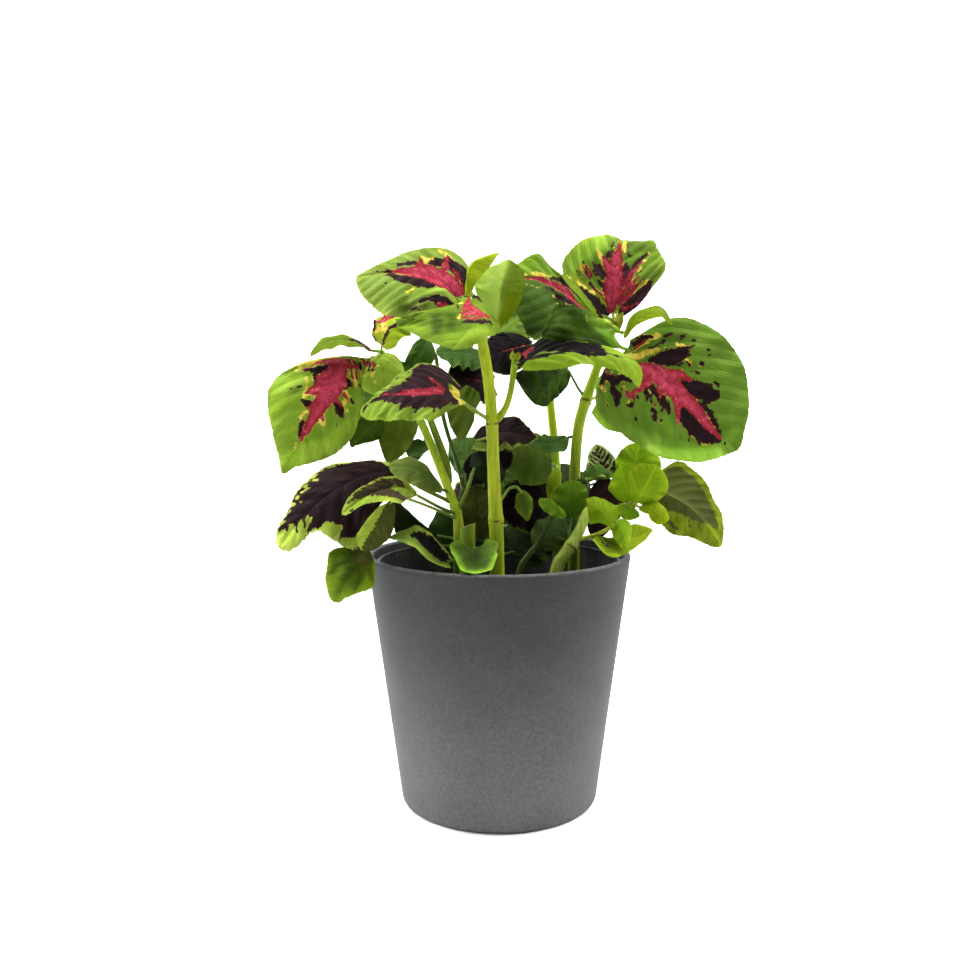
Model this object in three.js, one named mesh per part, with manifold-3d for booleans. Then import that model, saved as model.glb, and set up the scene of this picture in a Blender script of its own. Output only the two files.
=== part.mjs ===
// Potted coleus: a grey tapered cover pot, the black grow pot inside it, potting
// soil, the stems and the leaves. Millimetres, +Z up, origin at the centre of the
// flat underside of the pot, +Y towards the back of the plant.
import * as THREE from 'three';
import { mergeVertices } from 'three/addons/utils/BufferGeometryUtils.js';
import Module from 'manifold-3d';

const wasm = await Module();
wasm.setup();

// ---- sizes -----------------------------------------------------------------
const POT_H = 124;            // cover pot, overall height
const POT_R_TOP = 65;         // outer radius at the lip
const POT_R_BASE = 48.7;      // outer radius at the foot
const POT_WALL = 3.2;
const POT_FLOOR = 4;
const POT_SEG = 56;
const GROW_TOP = 120;         // rim of the grow pot
const GROW_WALL = 1.3;
const GROW_SEG = 40;
const GAP = 0.35;             // clearance between pieces that touch
const SOIL_TOP = 99;          // height of the soil in the middle
const STEM_DEPTH = 8;         // how far the stems reach into the soil
const BLADE = 0.8;            // blade thickness
const PETIOLE_R = 0.9;

// ---- colours ---------------------------------------------------------------
const mat = (c, r) => new THREE.MeshStandardMaterial({ color: c, roughness: r, metalness: 0, side: THREE.FrontSide });
const M = {
  pot: mat(0x55585a, 0.75), grow: mat(0x141416, 0.45), soil: mat(0x2c211a, 1.0),
  stem: mat(0x9db53a, 0.5), stump: mat(0x7f9a3c, 0.55),
  top: mat(0x6fae3a, 0.5), young: mat(0xa9c43c, 0.5), young2: mat(0xa0b23c, 0.5), under: mat(0x4f7d33, 0.6),
  dark: mat(0x2c1a24, 0.5), mid: mat(0x5e2b38, 0.5), mid2: mat(0x6a9c3c, 0.5), small: mat(0xb0484c, 0.5),
  green: mat(0x3f7a35, 0.5), purple: mat(0x38212f, 0.5), purple2: mat(0x4c3444, 0.5), olive: mat(0x6f8340, 0.55),
  olive2: mat(0x6f8f2c, 0.55), purple3: mat(0x56602c, 0.5), varieg: mat(0x7d8a66, 0.5), bright: mat(0x78b834, 0.5),
  purpleunder: mat(0x6a5f50, 0.6), lime: mat(0x9cc83c, 0.5),
};

// ---- stems: centre line points and radii, and the leaves ---------------------
const STEMS = {
  stem_front: {"p":[[-0.39,-24.0,90.0],[-0.78,-26.0,124.0],[-1.2,-27.0,143.08],[-2.3,-29.0,166.64],[-2.91,-31.0,188.4],[-4.21,-33.0,205.69],[-6.38,-36.0,220.43],[-8.98,-38.5,232.27],[-10.7,-39.5,240.11]],"r":[3.6,3.55,3.5,3.0,2.9,2.7,2.6,2.3,1.9]},
  stem_front_branch: {"p":[[-0.62,-31.6,190.01],[3.05,-31.0,194.77],[5.35,-30.0,201.58],[6.52,-29.0,207.95],[7.68,-28.0,216.61]],"r":[2.0,1.6,1.5,1.5,1.6]},
  stem_left: {"p":[[-19.25,-16.0,90.0],[-19.01,-16.0,128.11],[-19.63,-16.0,143.58],[-23.18,-15.0,154.05],[-28.92,-13.0,169.25],[-34.67,-11.0,183.04],[-40.93,-9.0,196.39],[-49.0,-8.0,211.2],[-56.17,-7.0,221.71]],"r":[2.9,2.9,2.5,2.25,2.15,2.1,2.1,2.0,1.8]},
  stem_left_branch: {"p":[[-23.96,-13.5,156.79],[-24.0,-11.8,162.41],[-25.0,-10.2,168.07],[-27.18,-9.2,174.52],[-29.33,-8.6,180.03],[-31.71,-8.2,186.52],[-33.87,-7.6,192.27],[-35.32,-7.0,196.34]],"r":[1.5,1.9,2.0,1.95,1.9,1.8,1.6,1.2]},
  stem_left_thin: {"p":[[-13.39,0.0,90.0],[-14.18,0.0,129.52],[-17.01,0.0,154.43],[-20.37,0.0,168.27],[-23.74,0.0,178.61],[-27.13,1.0,191.31],[-28.66,4.0,205.96],[-30.63,6.0,219.68]],"r":[1.9,1.8,1.5,1.3,1.1,1.1,1.0,1.0]},
  stem_right: {"p":[[37.95,12.0,90.0],[38.09,10.0,127.89],[38.07,8.0,158.01],[38.84,7.0,176.09],[40.42,6.0,188.52],[43.23,5.0,198.38],[47.46,4.0,211.08],[52.13,3.0,225.11],[55.38,2.0,230.83],[57.53,-2.0,234.41]],"r":[3.1,3.0,2.9,2.8,2.8,2.8,2.3,2.1,1.8,1.6]},
  stem_back_right: {"p":[[31.13,26.0,90.0],[30.37,25.0,136.1],[29.63,23.0,163.37],[28.44,21.0,177.89],[26.49,19.0,195.76],[24.52,16.0,210.85],[22.3,12.0,223.16]],"r":[2.6,2.5,2.4,2.3,2.2,1.9,1.6]},
  stem_low_right: {"p":[[23.93,-22.0,90.0],[27.64,-22.0,118.46],[31.43,-21.5,125.56],[35.73,-20.5,132.1],[39.6,-19.0,139.54],[42.58,-17.0,145.98],[48.68,-13.0,147.89],[55.52,-12.0,146.79],[61.28,-12.0,147.26]],"r":[3.4,3.4,3.3,2.9,2.5,2.2,1.8,1.4,1.2]},
  stem_low_thin: {"p":[[4.94,-14.0,90.0],[9.8,-14.0,115.54],[14.16,-13.0,123.66],[18.53,-12.0,128.86],[23.29,-13.0,137.28],[27.17,-12.0,144.42]],"r":[1.5,1.5,1.5,1.4,1.2,1.0]},
  cut_stump: {"p":[[-14.67,-31.0,90.0],[-14.39,-31.0,141.77]],"r":[3.8,3.8]},
  stem_back: {"p":[[-0.41,26.0,90.0],[-1.33,30.0,146.07],[-2.84,32.0,172.18],[-4.34,34.0,198.23],[-6.37,37.0,226.85]],"r":[2.7,2.5,2.3,2.1,1.7]}
};

// Each leaf: n node name, b base of the blade, m points of the midrib, t tip,
// l and r the left and right margins at share tw of the length, curl of the two
// halves in degrees, wave [height, waves, phase], p outline type, pl and pr the
// half widths from base to tip, pet the petiole from the blade to the stem.
const LEAVES = [
  {"n":"leaf_top_left","b":[-18.29,-38.0,244.22],"m":[[-24.47,-38.0,250.81],[-37.05,-36.0,255.03],[-50.78,-33.0,255.88]],"t":[-64.57,-28.0,254.73],"l":[-46.06,-46.0,235.82],"r":[-34.11,-26.0,268.25],"tw":0.45,"curl":[-38,-12],"wave":[1.6,2.5,0],"p":"rd","pet":[[-12.39,-39.17,241.03]],"sw":0.07,"lb":0.06,"kind":"top","pl":[0.087,0.676,0.97,0.998,0.989,0.989,0.998,1.027,1.045,1.064,1.027,0.941,0.846,0.751,0.657,0.552,0.41,0.228,0.03],"pr":[0.372,0.628,0.913,1.102,1.159,1.102,0.96,0.846,0.78,0.789,0.77,0.657,0.505,0.344,0.239,0.192,0.163,0.095,0.03]},
  {"n":"leaf_young_narrow","b":[-14.11,-43.0,244.18],"m":[[-13.57,-45.0,251.31],[-10.52,-43.0,259.28]],"t":[0.9,-38.0,264.22],"l":[-14.91,-44.0,252.72],"r":[-7.5,-42.0,252.05],"tw":0.45,"curl":[10,10],"wave":[0,3,0],"p":"el","pet":[[-11.4,-40.22,240.94]],"sw":0.07,"lb":0.06,"kind":"young","pl":[0.217,0.523,0.691,0.509,0.363,0.479,0.843,0.976,0.989,0.955,0.986,1.275,1.283,1.145,0.985,0.798,0.584,0.332,0.02],"pr":[0.12,0.379,0.533,0.695,0.837,0.941,1.027,1.064,1.036,0.989,0.932,0.846,0.751,0.647,0.514,0.363,0.208,0.112,0.02]},
  {"n":"leaf_young_folded","b":[-0.5,-41.0,232.08],"m":[[1.27,-46.0,241.25],[2.16,-46.0,249.42]],"t":[4.9,-36.0,261.42],"l":[12.92,-36.0,248.24],"r":[-11.6,-37.0,249.99],"tw":0.5,"curl":[-15,-20],"wave":[0,3,0],"p":"rd","pet":[[-6.24,-42.0,234.22],[-7.03,-41.37,234.7]],"sw":0.07,"lb":0.06,"kind":"under","pl":[0.12,0.464,0.647,0.742,0.789,0.808,0.837,0.846,0.846,0.837,0.808,0.789,0.751,0.713,0.695,0.657,0.584,0.39,0.03],"pr":[0.12,0.341,0.59,0.77,0.846,0.884,0.894,0.894,0.903,0.932,0.941,0.932,0.903,0.884,0.799,0.552,0.274,0.124,0.03]},
  {"n":"leaf_top_front","b":[-11.8,-47.0,243.79],"m":[[-10.28,-57.0,238.24],[-10.77,-72.0,230.5]],"t":[-18.43,-86.0,219.75],"l":[2.88,-64.0,231.81],"r":[-41.27,-68.0,230.88],"tw":0.45,"curl":[-45,-15],"wave":[2.2,3,1],"p":"rd","pet":[[-10.99,-41.49,241.09]],"sw":0.07,"lb":0.06,"kind":"top","pl":[0.12,0.475,0.357,0.41,0.524,0.514,0.486,0.6,0.856,0.818,0.732,0.751,0.77,0.685,0.524,0.391,0.306,0.18,0.03],"pr":[0.12,0.35,0.666,0.894,0.77,0.78,0.998,1.036,0.998,0.998,1.027,1.036,1.027,0.989,0.94,0.858,0.675,0.405,0.03]},
  {"n":"leaf_top_middle","b":[52.78,-8.0,233.1],"m":[[47.89,-9.0,236.8],[41.17,-9.5,241.94],[30.69,-10.0,249.4],[19.68,-13.0,254.23]],"t":[4.19,-15.0,257.29],"l":[26.35,-29.0,226.91],"r":[20.52,-4.0,266.94],"tw":0.48,"curl":[-35,-10],"wave":[1.6,4,0],"p":"rd","pet":[[54.82,-2.8,232.61]],"sw":0.07,"lb":0.16,"kind":"top","pl":[0.277,0.495,0.647,0.761,0.894,1.036,1.15,1.178,1.178,1.188,1.207,1.178,1.15,1.145,1.05,0.882,0.675,0.405,0.03],"pr":[0.12,0.36,0.306,0.239,0.249,0.353,0.533,0.619,0.581,0.609,0.818,1.099,1.247,1.192,1.054,0.858,0.57,0.285,0.03]},
  {"n":"leaf_top_right","b":[56.12,5.0,240.66],"m":[[56.04,5.0,249.33],[57.12,7.0,262.5],[60.05,12.0,274.22],[61.75,18.0,277.52]],"t":[63.52,28.0,276.51],"l":[29.84,0.0,262.71],"r":[80.81,0.0,261.55],"tw":0.48,"curl":[14,14],"wave":[1.5,2,2],"p":"rd","pet":[[56.38,1.66,235.07]],"sw":0.07,"lb":0.06,"kind":"top","pl":[0.12,0.331,0.552,0.751,0.913,0.979,0.97,0.894,0.799,0.695,0.571,0.457,0.344,0.287,0.277,0.287,0.334,0.323,0.03],"pr":[0.12,0.464,0.647,0.761,0.884,0.97,0.989,0.979,0.941,0.894,0.837,0.761,0.695,0.628,0.619,0.647,0.613,0.4,0.03]},
  {"n":"leaf_young_right","b":[48.62,-15.5,238.19],"m":[[44.69,-17.0,243.15],[38.13,-17.0,250.06]],"t":[30.32,-15.0,257.64],"l":[39.21,-21.0,245.1],"r":[44.93,-14.0,250.33],"tw":0.45,"curl":[15,15],"wave":[0,3,0],"p":"rd","pet":[[51.29,-12.5,237.24],[53.84,-8.8,236.56],[54.49,-7.61,236.19]],"sw":0.07,"lb":0.06,"kind":"plain","pl":[0.182,0.924,1.27,1.405,1.436,1.377,1.33,1.311,1.273,1.235,1.216,1.169,1.083,0.998,0.922,0.799,0.641,0.4,0.03],"pr":[0.45,0.89,1.017,0.998,0.979,0.941,0.894,0.846,0.808,0.789,0.761,0.751,0.742,0.713,0.695,0.647,0.556,0.381,0.03]},
  {"n":"leaf_arched_right","b":[60.6,-6.5,230.8],"m":[[63.26,-11.0,237.07],[69.37,-14.0,241.0],[76.39,-14.0,240.97]],"t":[82.31,-13.0,233.6],"l":[71.98,-9.0,243.27],"r":[71.29,-20.0,237.76],"tw":0.5,"curl":[-40,-40],"wave":[0,3,0],"p":"rd","pet":[[59.13,-3.0,231.01],[58.83,-2.6,231.08]],"sw":0.07,"lb":0.06,"kind":"young","pl":[0.45,0.977,1.183,0.945,0.581,0.467,0.344,0.23,0.154,0.154,0.346,0.758,0.855,0.888,0.984,0.882,0.675,0.405,0.03],"pr":[0.45,0.977,1.27,1.413,1.49,1.526,1.543,1.542,1.529,1.498,1.456,1.395,1.302,1.192,1.054,0.882,0.675,0.405,0.03]},
  {"n":"leaf_large_right","b":[61.45,-8.0,222.69],"m":[[71.6,-14.0,214.46],[89.39,-21.0,196.64],[103.91,-24.0,181.83]],"t":[111.93,-24.0,175.76],"l":[107.04,-12.0,229.85],"r":[57.04,-20.0,183.64],"tw":0.42,"curl":[-14,-14],"wave":[1.5,4,0],"p":"rd","pet":[[57.87,-6.0,224.21],[55.85,-0.29,228.25]],"sw":0.07,"lb":0.03,"kind":"top","pl":[0.12,0.578,0.789,0.884,0.932,0.941,0.941,0.941,0.932,0.894,0.846,0.799,0.742,0.657,0.562,0.467,0.363,0.218,0.03],"pr":[0.45,0.881,0.998,1.027,1.027,0.998,0.989,0.979,0.951,0.932,0.894,0.846,0.789,0.704,0.609,0.495,0.315,0.123,0.03]},
  {"n":"leaf_middle_right","b":[11.62,-35.0,216.39],"m":[[20.94,-38.0,218.49],[36.49,-39.0,219.73],[50.77,-39.0,217.91],[59.61,-40.0,212.99]],"t":[62.54,-42.0,204.55],"l":[35.78,-19.0,227.86],"r":[34.43,-54.0,212.33],"tw":0.45,"curl":[10,-95],"wave":[1.0,3,0],"p":"rd","pet":[[8.81,-30.59,214.86]],"sw":0.07,"lb":0.06,"kind":"top","pl":[0.12,0.907,1.217,1.188,1.04,0.879,0.669,0.509,0.497,0.595,0.694,0.669,0.484,0.336,0.361,0.41,0.287,0.124,0.03],"pr":[0.12,0.698,0.855,0.904,0.966,1.003,0.953,0.842,0.744,0.744,0.842,0.953,1.003,0.941,0.793,0.645,0.46,0.235,0.03]},
  {"n":"leaf_dark_centre","b":[16.28,-4.0,225.39],"m":[[6.59,-8.0,222.88]],"t":[-7.24,-10.0,219.07],"l":[4.58,-17.0,209.95],"r":[4.79,2.0,231.5],"tw":0.45,"curl":[-8,-8],"wave":[1.5,3,0],"p":"rd","pet":[[21.33,9.42,223.52]],"sw":0.07,"lb":0.06,"kind":"dark","pl":[0.12,0.322,0.495,0.6,0.666,0.751,0.846,0.932,0.97,0.941,0.903,0.903,0.941,0.96,0.894,0.795,0.657,0.405,0.03],"pr":[0.12,0.606,0.922,1.083,1.074,0.998,0.97,1.045,1.159,1.197,1.121,0.998,0.913,0.875,0.789,0.628,0.372,0.133,0.03]},
  {"n":"leaf_underside_centre","b":[34.08,2.0,212.55],"m":[[26.49,-3.0,208.63]],"t":[17.13,-8.0,196.68],"l":[7.51,-10.0,209.56],"r":[29.97,-2.0,200.43],"tw":0.42,"curl":[-14,-14],"wave":[1.4,3,0],"p":"rd","pet":[[39.17,4.0,204.28],[40.2,4.24,202.89]],"sw":0.07,"lb":0.06,"kind":"under","pl":[0.12,0.189,0.268,0.325,0.381,0.467,0.562,0.666,0.789,0.894,0.979,1.036,1.083,1.107,1.04,0.882,0.675,0.405,0.03],"pr":[0.12,0.578,0.789,0.894,0.97,0.989,0.989,0.97,0.913,0.884,0.856,0.837,0.799,0.751,0.704,0.666,0.549,0.209,0.03]},
  {"n":"leaf_large_left","b":[-61.14,-10.0,216.42],"m":[[-69.64,-14.0,214.46],[-78.48,-19.0,203.67],[-87.33,-21.0,189.71],[-94.39,-20.0,177.48]],"t":[-102.67,-16.0,163.92],"l":[-62.88,-14.0,193.22],"r":[-108.19,-14.0,208.47],"tw":0.44,"curl":[-20,-30],"wave":[1.2,4,0],"p":"rd","pet":[[-57.79,-8.17,219.36]],"sw":0.07,"lb":0.06,"kind":"top","pl":[0.12,0.606,0.78,0.818,0.884,0.941,0.989,1.027,1.036,1.027,0.989,0.932,0.837,0.695,0.514,0.325,0.163,0.085,0.03],"pr":[0.12,0.122,0.258,0.495,0.685,0.799,0.884,0.932,0.941,0.922,0.856,0.78,0.657,0.524,0.419,0.315,0.192,0.095,0.03]},
  {"n":"leaf_middle_left","b":[-17.03,-43.0,199.93],"m":[[-24.79,-47.0,202.18],[-40.28,-51.0,202.24],[-51.68,-51.0,199.67]],"t":[-60.95,-48.0,193.53],"l":[-37.87,-60.0,189.89],"r":[-33.88,-30.0,215.33],"tw":0.45,"curl":[-22,-18],"wave":[1.6,4,0],"p":"rd","pet":[[-11.8,-40.0,194.98],[-6.16,-34.31,191.26]],"sw":0.07,"lb":0.06,"kind":"mid","pl":[0.12,0.379,0.628,0.799,0.932,1.017,1.017,0.941,0.875,0.903,0.951,0.884,0.77,0.713,0.685,0.6,0.457,0.266,0.03],"pr":[0.45,0.9,1.064,1.064,0.989,0.913,0.884,0.818,0.666,0.533,0.476,0.438,0.315,0.173,0.144,0.173,0.163,0.095,0.03]},
  {"n":"leaf_behind_middle_left","b":[-10.21,-31.0,194.35],"m":[[-14.39,-29.0,194.78]],"t":[-22.33,-26.0,197.97],"l":[-17.97,-33.0,184.41],"r":[-12.18,-24.0,204.38],"tw":0.42,"curl":[-10,-10],"wave":[1,3,0],"p":"rd","pet":[[-7.53,-31.0,192.16]],"sw":0.07,"lb":0.06,"kind":"under","pl":[0.45,0.977,1.25,1.306,1.273,1.216,1.131,1.045,0.989,0.941,0.884,0.799,0.713,0.647,0.571,0.514,0.448,0.294,0.03],"pr":[0.45,0.786,0.932,0.979,0.989,0.989,0.989,0.998,1.027,1.036,1.036,1.027,0.998,0.998,0.997,0.877,0.675,0.405,0.03]},
  {"n":"leaf_arched_left","b":[-61.16,-9.0,223.07],"m":[[-67.36,-12.0,226.26],[-76.81,-15.0,227.08],[-84.06,-17.0,223.75]],"t":[-88.19,-18.0,219.55],"l":[-76.48,-23.0,223.47],"r":[-76.33,-9.0,229.74],"tw":0.5,"curl":[-35,-20],"wave":[0.6,3,0],"p":"el","pet":[[-57.7,-7.61,222.13]],"sw":0.07,"lb":0.06,"kind":"mid2"},
  {"n":"leaf_hanging_high_left","b":[-56.31,-14.0,219.57],"m":[[-54.15,-17.0,213.87]],"t":[-53.87,-17.0,200.31],"l":[-44.56,-14.0,213.91],"r":[-62.89,-19.0,209.21],"tw":0.42,"curl":[-15,-15],"wave":[1,3,0],"p":"rd","pet":[[-56.23,-10.04,220.79]],"sw":0.07,"lb":0.06,"kind":"plain","pl":[0.45,0.701,0.799,0.856,0.932,0.979,0.989,0.998,1.017,0.989,0.941,0.894,0.837,0.742,0.609,0.476,0.353,0.19,0.03],"pr":[0.372,0.6,0.78,0.884,0.941,0.979,0.998,1.027,1.036,1.045,1.074,1.093,1.121,1.117,1.04,0.882,0.675,0.405,0.03]},
  {"n":"leaf_curled_left","b":[-55.41,-13.0,224.76],"m":[[-54.4,-17.0,229.21],[-51.15,-16.0,235.29]],"t":[-45.96,-11.0,239.82],"l":[-62.06,-12.0,231.39],"r":[-40.53,-20.0,229.92],"tw":0.45,"curl":[12,-60],"wave":[2,3,0],"p":"rd","pet":[[-55.6,-9.82,222.82]],"sw":0.07,"lb":0.06,"kind":"small","pl":[0.45,0.71,0.713,0.713,0.856,0.913,0.837,0.742,0.77,0.903,1.036,0.979,0.685,0.344,0.23,0.287,0.258,0.142,0.03],"pr":[0.277,0.495,0.628,0.666,0.713,0.808,0.922,0.979,0.989,0.989,0.989,0.989,0.97,0.894,0.808,0.747,0.647,0.405,0.03]},
  {"n":"stem_left_thin","b":[-34.7,2.0,228.26],"m":[[-39.82,-2.0,219.93]],"t":[-58.12,-5.0,203.6],"l":[-28.11,-4.0,215.03],"r":[-47.52,-2.0,224.75],"tw":0.42,"curl":[-15,-15],"wave":[1.6,3,0],"p":"rd","pet":[[-30.63,6.0,219.68]],"sw":0.07,"lb":0.06,"kind":"green","pl":[0.12,0.303,0.543,0.695,0.666,0.619,0.619,0.647,0.647,0.619,0.609,0.609,0.609,0.609,0.581,0.467,0.334,0.209,0.03],"pr":[0.12,0.36,0.524,0.543,0.467,0.372,0.277,0.182,0.282,0.786,0.939,0.9,0.703,0.257,0.163,0.163,0.113,0.095,0.03]},
  {"n":"leaf_hanging_left","b":[-54.53,-8.0,193.06],"m":[[-60.64,-10.0,186.9]],"t":[-70.61,-12.0,176.48],"l":[-71.02,-14.0,190.4],"r":[-54.47,-6.0,179.48],"tw":0.45,"curl":[-10,-10],"wave":[1,3,0],"p":"rd","pet":[[-47.24,-8.0,198.79],[-46.03,-8.19,198.69]],"sw":0.07,"lb":0.06,"kind":"under","pl":[0.12,0.113,0.192,0.315,0.419,0.505,0.562,0.619,0.695,0.732,0.704,0.657,0.609,0.552,0.467,0.372,0.277,0.171,0.03],"pr":[0.12,0.16,0.277,0.429,0.6,0.742,0.808,0.751,0.666,0.609,0.562,0.505,0.419,0.325,0.239,0.173,0.113,0.095,0.03]},
  {"n":"leaf_hanging_inner_left","b":[-46.46,-2.0,191.93],"m":[[-48.55,-2.0,181.22]],"t":[-53.89,-4.0,167.67],"l":[-59.4,-5.0,182.36],"r":[-39.16,-3.0,183.19],"tw":0.42,"curl":[-12,-12],"wave":[1,3,0],"p":"rd","pet":[[-42.96,-6.7,195.45]],"sw":0.07,"lb":0.06,"kind":"under","pl":[0.12,0.388,0.77,0.96,0.989,0.989,0.979,0.951,0.922,0.856,0.799,0.742,0.657,0.562,0.467,0.363,0.239,0.133,0.03],"pr":[0.12,0.777,0.951,0.97,0.941,0.903,0.884,0.846,0.799,0.761,0.732,0.666,0.6,0.524,0.457,0.372,0.277,0.171,0.03]},
  {"n":"leaf_purple_large_left","b":[-46.99,-24.0,165.88],"m":[[-58.27,-31.0,165.56],[-72.77,-39.0,159.44],[-87.49,-44.0,147.32]],"t":[-99.12,-44.0,132.79],"l":[-63.81,-47.0,137.74],"r":[-84.8,-27.0,168.08],"tw":0.45,"curl":[-30,-25],"wave":[2.2,3.5,0],"p":"rd","pet":[[-37.09,-20.0,157.94],[-26.22,-16.93,152.11]],"sw":0.07,"lb":0.06,"kind":"purple","pl":[0.12,0.179,0.353,0.505,0.609,0.695,0.742,0.761,0.789,0.808,0.846,0.894,0.941,0.989,1.027,1.036,1.045,1.083,1.131,1.169,0.989,0.429,0.277,0.315,0.325,0.315,0.287,0.277,0.287,0.306,0.287,0.268,0.22,0.133,0.03],"pr":[0.12,0.341,0.467,0.552,0.6,0.619,0.647,0.657,0.657,0.666,0.704,0.761,0.837,0.894,0.932,0.932,0.875,0.761,0.676,0.657,0.666,0.695,0.695,0.647,0.571,0.514,0.467,0.419,0.381,0.372,0.372,0.353,0.277,0.171,0.03]},
  {"n":"leaf_purple_narrow_left","b":[-38.05,-42.0,157.85],"m":[[-44.71,-47.0,160.63],[-56.18,-55.0,158.37]],"t":[-67.95,-59.0,150.09],"l":[-50.38,-60.0,155.41],"r":[-54.52,-50.0,164.49],"tw":0.45,"curl":[-25,-25],"wave":[0.8,3,0],"p":"ov","pet":[[-28.69,-27.0,149.71],[-22.22,-19.04,145.69]],"sw":0.07,"lb":0.06,"kind":"purple2","pl":[0.12,0.654,1.107,1.332,1.445,1.497,1.456,1.349,1.159,0.903,0.685,0.562,0.476,0.419,0.363,0.296,0.271,0.208,0.03],"pr":[0.12,0.483,0.837,0.998,0.989,0.941,0.903,0.903,0.922,0.884,0.808,0.761,0.751,0.756,0.738,0.607,0.429,0.239,0.03]},
  {"n":"leaf_olive_left","b":[-27.17,-20.0,156.97],"m":[[-33.44,-24.0,163.97],[-42.01,-27.0,167.98]],"t":[-50.62,-29.0,168.15],"l":[-40.55,-34.0,159.33],"r":[-36.56,-19.0,171.12],"tw":0.45,"curl":[-20,-20],"wave":[1,3,0],"p":"rd","pet":[[-25.62,-17.91,156.03]],"sw":0.07,"lb":0.06,"kind":"olive","pl":[0.12,0.331,0.543,0.685,0.761,0.837,0.894,0.932,0.922,0.846,0.761,0.723,0.742,0.742,0.695,0.6,0.467,0.294,0.03],"pr":[0.12,0.303,0.429,0.533,0.552,0.533,0.59,0.742,0.884,0.951,0.884,0.77,0.695,0.628,0.6,0.543,0.438,0.313,0.03]},
  {"n":"leaf_rolled_left","b":[-47.59,-50.0,153.81],"m":[[-53.11,-53.0,145.75]],"t":[-60.51,-52.0,133.12],"l":[-61.51,-56.0,144.85],"r":[-45.06,-46.0,141.17],"tw":0.45,"curl":[-28,-12],"wave":[0.8,3,0],"p":"rd","pet":[[-44.18,-44.0,155.82],[-33.91,-32.0,150.78],[-22.09,-19.0,143.68]],"sw":0.07,"lb":0.06,"kind":"olive2","pl":[0.12,0.217,0.391,0.514,0.6,0.647,0.647,0.628,0.657,0.713,0.78,0.789,0.761,0.751,0.723,0.609,0.457,0.266,0.03],"pr":[0.12,0.379,0.524,0.647,0.751,0.827,0.846,0.837,0.808,0.799,0.808,0.827,0.789,0.704,0.609,0.524,0.457,0.323,0.03]},
  {"n":"leaf_over_rim_left","b":[-60.0,-46.0,132.14],"m":[[-62.84,-52.0,125.95],[-68.0,-54.0,118.25]],"t":[-73.82,-52.0,109.72],"l":[-54.9,-49.0,117.69],"r":[-78.23,-48.0,125.25],"tw":0.42,"curl":[-12,-12],"wave":[1,3,0],"p":"rd","pet":[[-56.86,-42.0,135.6],[-51.18,-32.0,135.91],[-34.85,-22.0,130.55],[-22.7,-17.4,129.13]],"sw":0.07,"lb":0.06,"kind":"purple3","pl":[0.12,0.464,0.647,0.751,0.846,0.932,0.979,0.97,0.894,0.799,0.704,0.609,0.514,0.419,0.334,0.287,0.258,0.171,0.03],"pr":[0.12,0.879,1.105,1.083,1.045,1.036,1.027,0.989,0.951,0.932,0.884,0.808,0.751,0.704,0.638,0.514,0.372,0.218,0.03]},
  {"n":"leaf_inside_rim_left","b":[-22.57,-41.0,126.2],"m":[[-31.02,-43.0,131.14],[-40.19,-41.0,135.87]],"t":[-49.81,-36.0,136.51],"l":[-34.49,-51.0,128.42],"r":[-34.26,-35.0,139.11],"tw":0.5,"curl":[35,40],"wave":[1,3,0],"p":"rd","pet":[[-19.74,-33.0,125.26],[-19.17,-19.96,123.58]],"sw":0.07,"lb":0.06,"kind":"green","pl":[0.45,0.644,0.761,0.732,0.619,0.533,0.524,0.543,0.505,0.419,0.334,0.315,0.4,0.438,0.363,0.249,0.182,0.123,0.03],"pr":[0.182,0.495,0.751,0.951,1.027,1.027,1.017,1.093,1.216,1.283,1.226,1.15,1.144,1.158,1.054,0.882,0.675,0.405,0.03]},
  {"n":"leaf_cupped_front","b":[-11.05,-46.0,132.96],"m":[[-10.43,-54.0,130.25]],"t":[-9.81,-63.0,124.57],"l":[0.15,-55.0,131.73],"r":[-20.95,-55.0,131.77],"tw":0.55,"curl":[25,25],"wave":[1,2,0],"p":"rd","pet":[[-8.48,-40.0,131.98],[-3.13,-30.38,131.24]],"sw":0.07,"lb":0.06,"kind":"green","pl":[0.12,0.303,0.419,0.533,0.713,0.903,0.97,0.951,0.932,0.903,0.894,0.884,0.846,0.799,0.751,0.704,0.622,0.4,0.03],"pr":[0.12,0.445,0.695,0.875,0.96,0.951,0.941,0.941,0.932,0.894,0.846,0.799,0.751,0.704,0.666,0.647,0.584,0.39,0.03]},
  {"n":"leaf_purple_centre","b":[-10.71,-12.0,179.67],"m":[[3.13,-16.0,183.62]],"t":[18.68,-18.0,180.84],"l":[4.65,-7.0,192.38],"r":[2.12,-27.0,175.76],"tw":0.45,"curl":[-15,-25],"wave":[1.6,4,0],"p":"rd","pet":[[-4.86,-22.0,181.1],[-3.66,-26.44,180.55]],"sw":0.07,"lb":0.06,"kind":"purple","pl":[0.182,0.495,0.619,0.695,0.713,0.638,0.657,0.827,0.932,0.837,0.704,0.704,0.704,0.562,0.381,0.258,0.211,0.133,0.03],"pr":[0.45,0.625,0.713,0.827,0.998,1.045,0.96,0.932,1.017,1.036,0.894,0.742,0.713,0.713,0.609,0.467,0.325,0.18,0.03]},
  {"n":"leaf_thin_centre","b":[33.53,6.0,179.88],"m":[[26.27,0.0,177.49]],"t":[13.42,-4.0,178.71],"l":[23.39,-9.0,173.17],"r":[25.59,6.0,181.63],"tw":0.45,"curl":[-15,-15],"wave":[0.8,3,0],"p":"el","pet":[[35.27,6.21,180.07]],"sw":0.07,"lb":0.06,"kind":"green"},
  {"n":"leaf_dark_inner_left","b":[-15.85,-4.0,162.68],"m":[[-7.0,-7.0,167.78]],"t":[7.05,-7.0,172.6],"l":[-7.04,-2.0,175.73],"r":[-5.52,-12.0,159.01],"tw":0.42,"curl":[-12,-12],"wave":[1.2,3,0],"p":"rd","pet":[[-17.03,-2.09,161.86]],"sw":0.07,"lb":0.06,"kind":"dark"},
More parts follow.
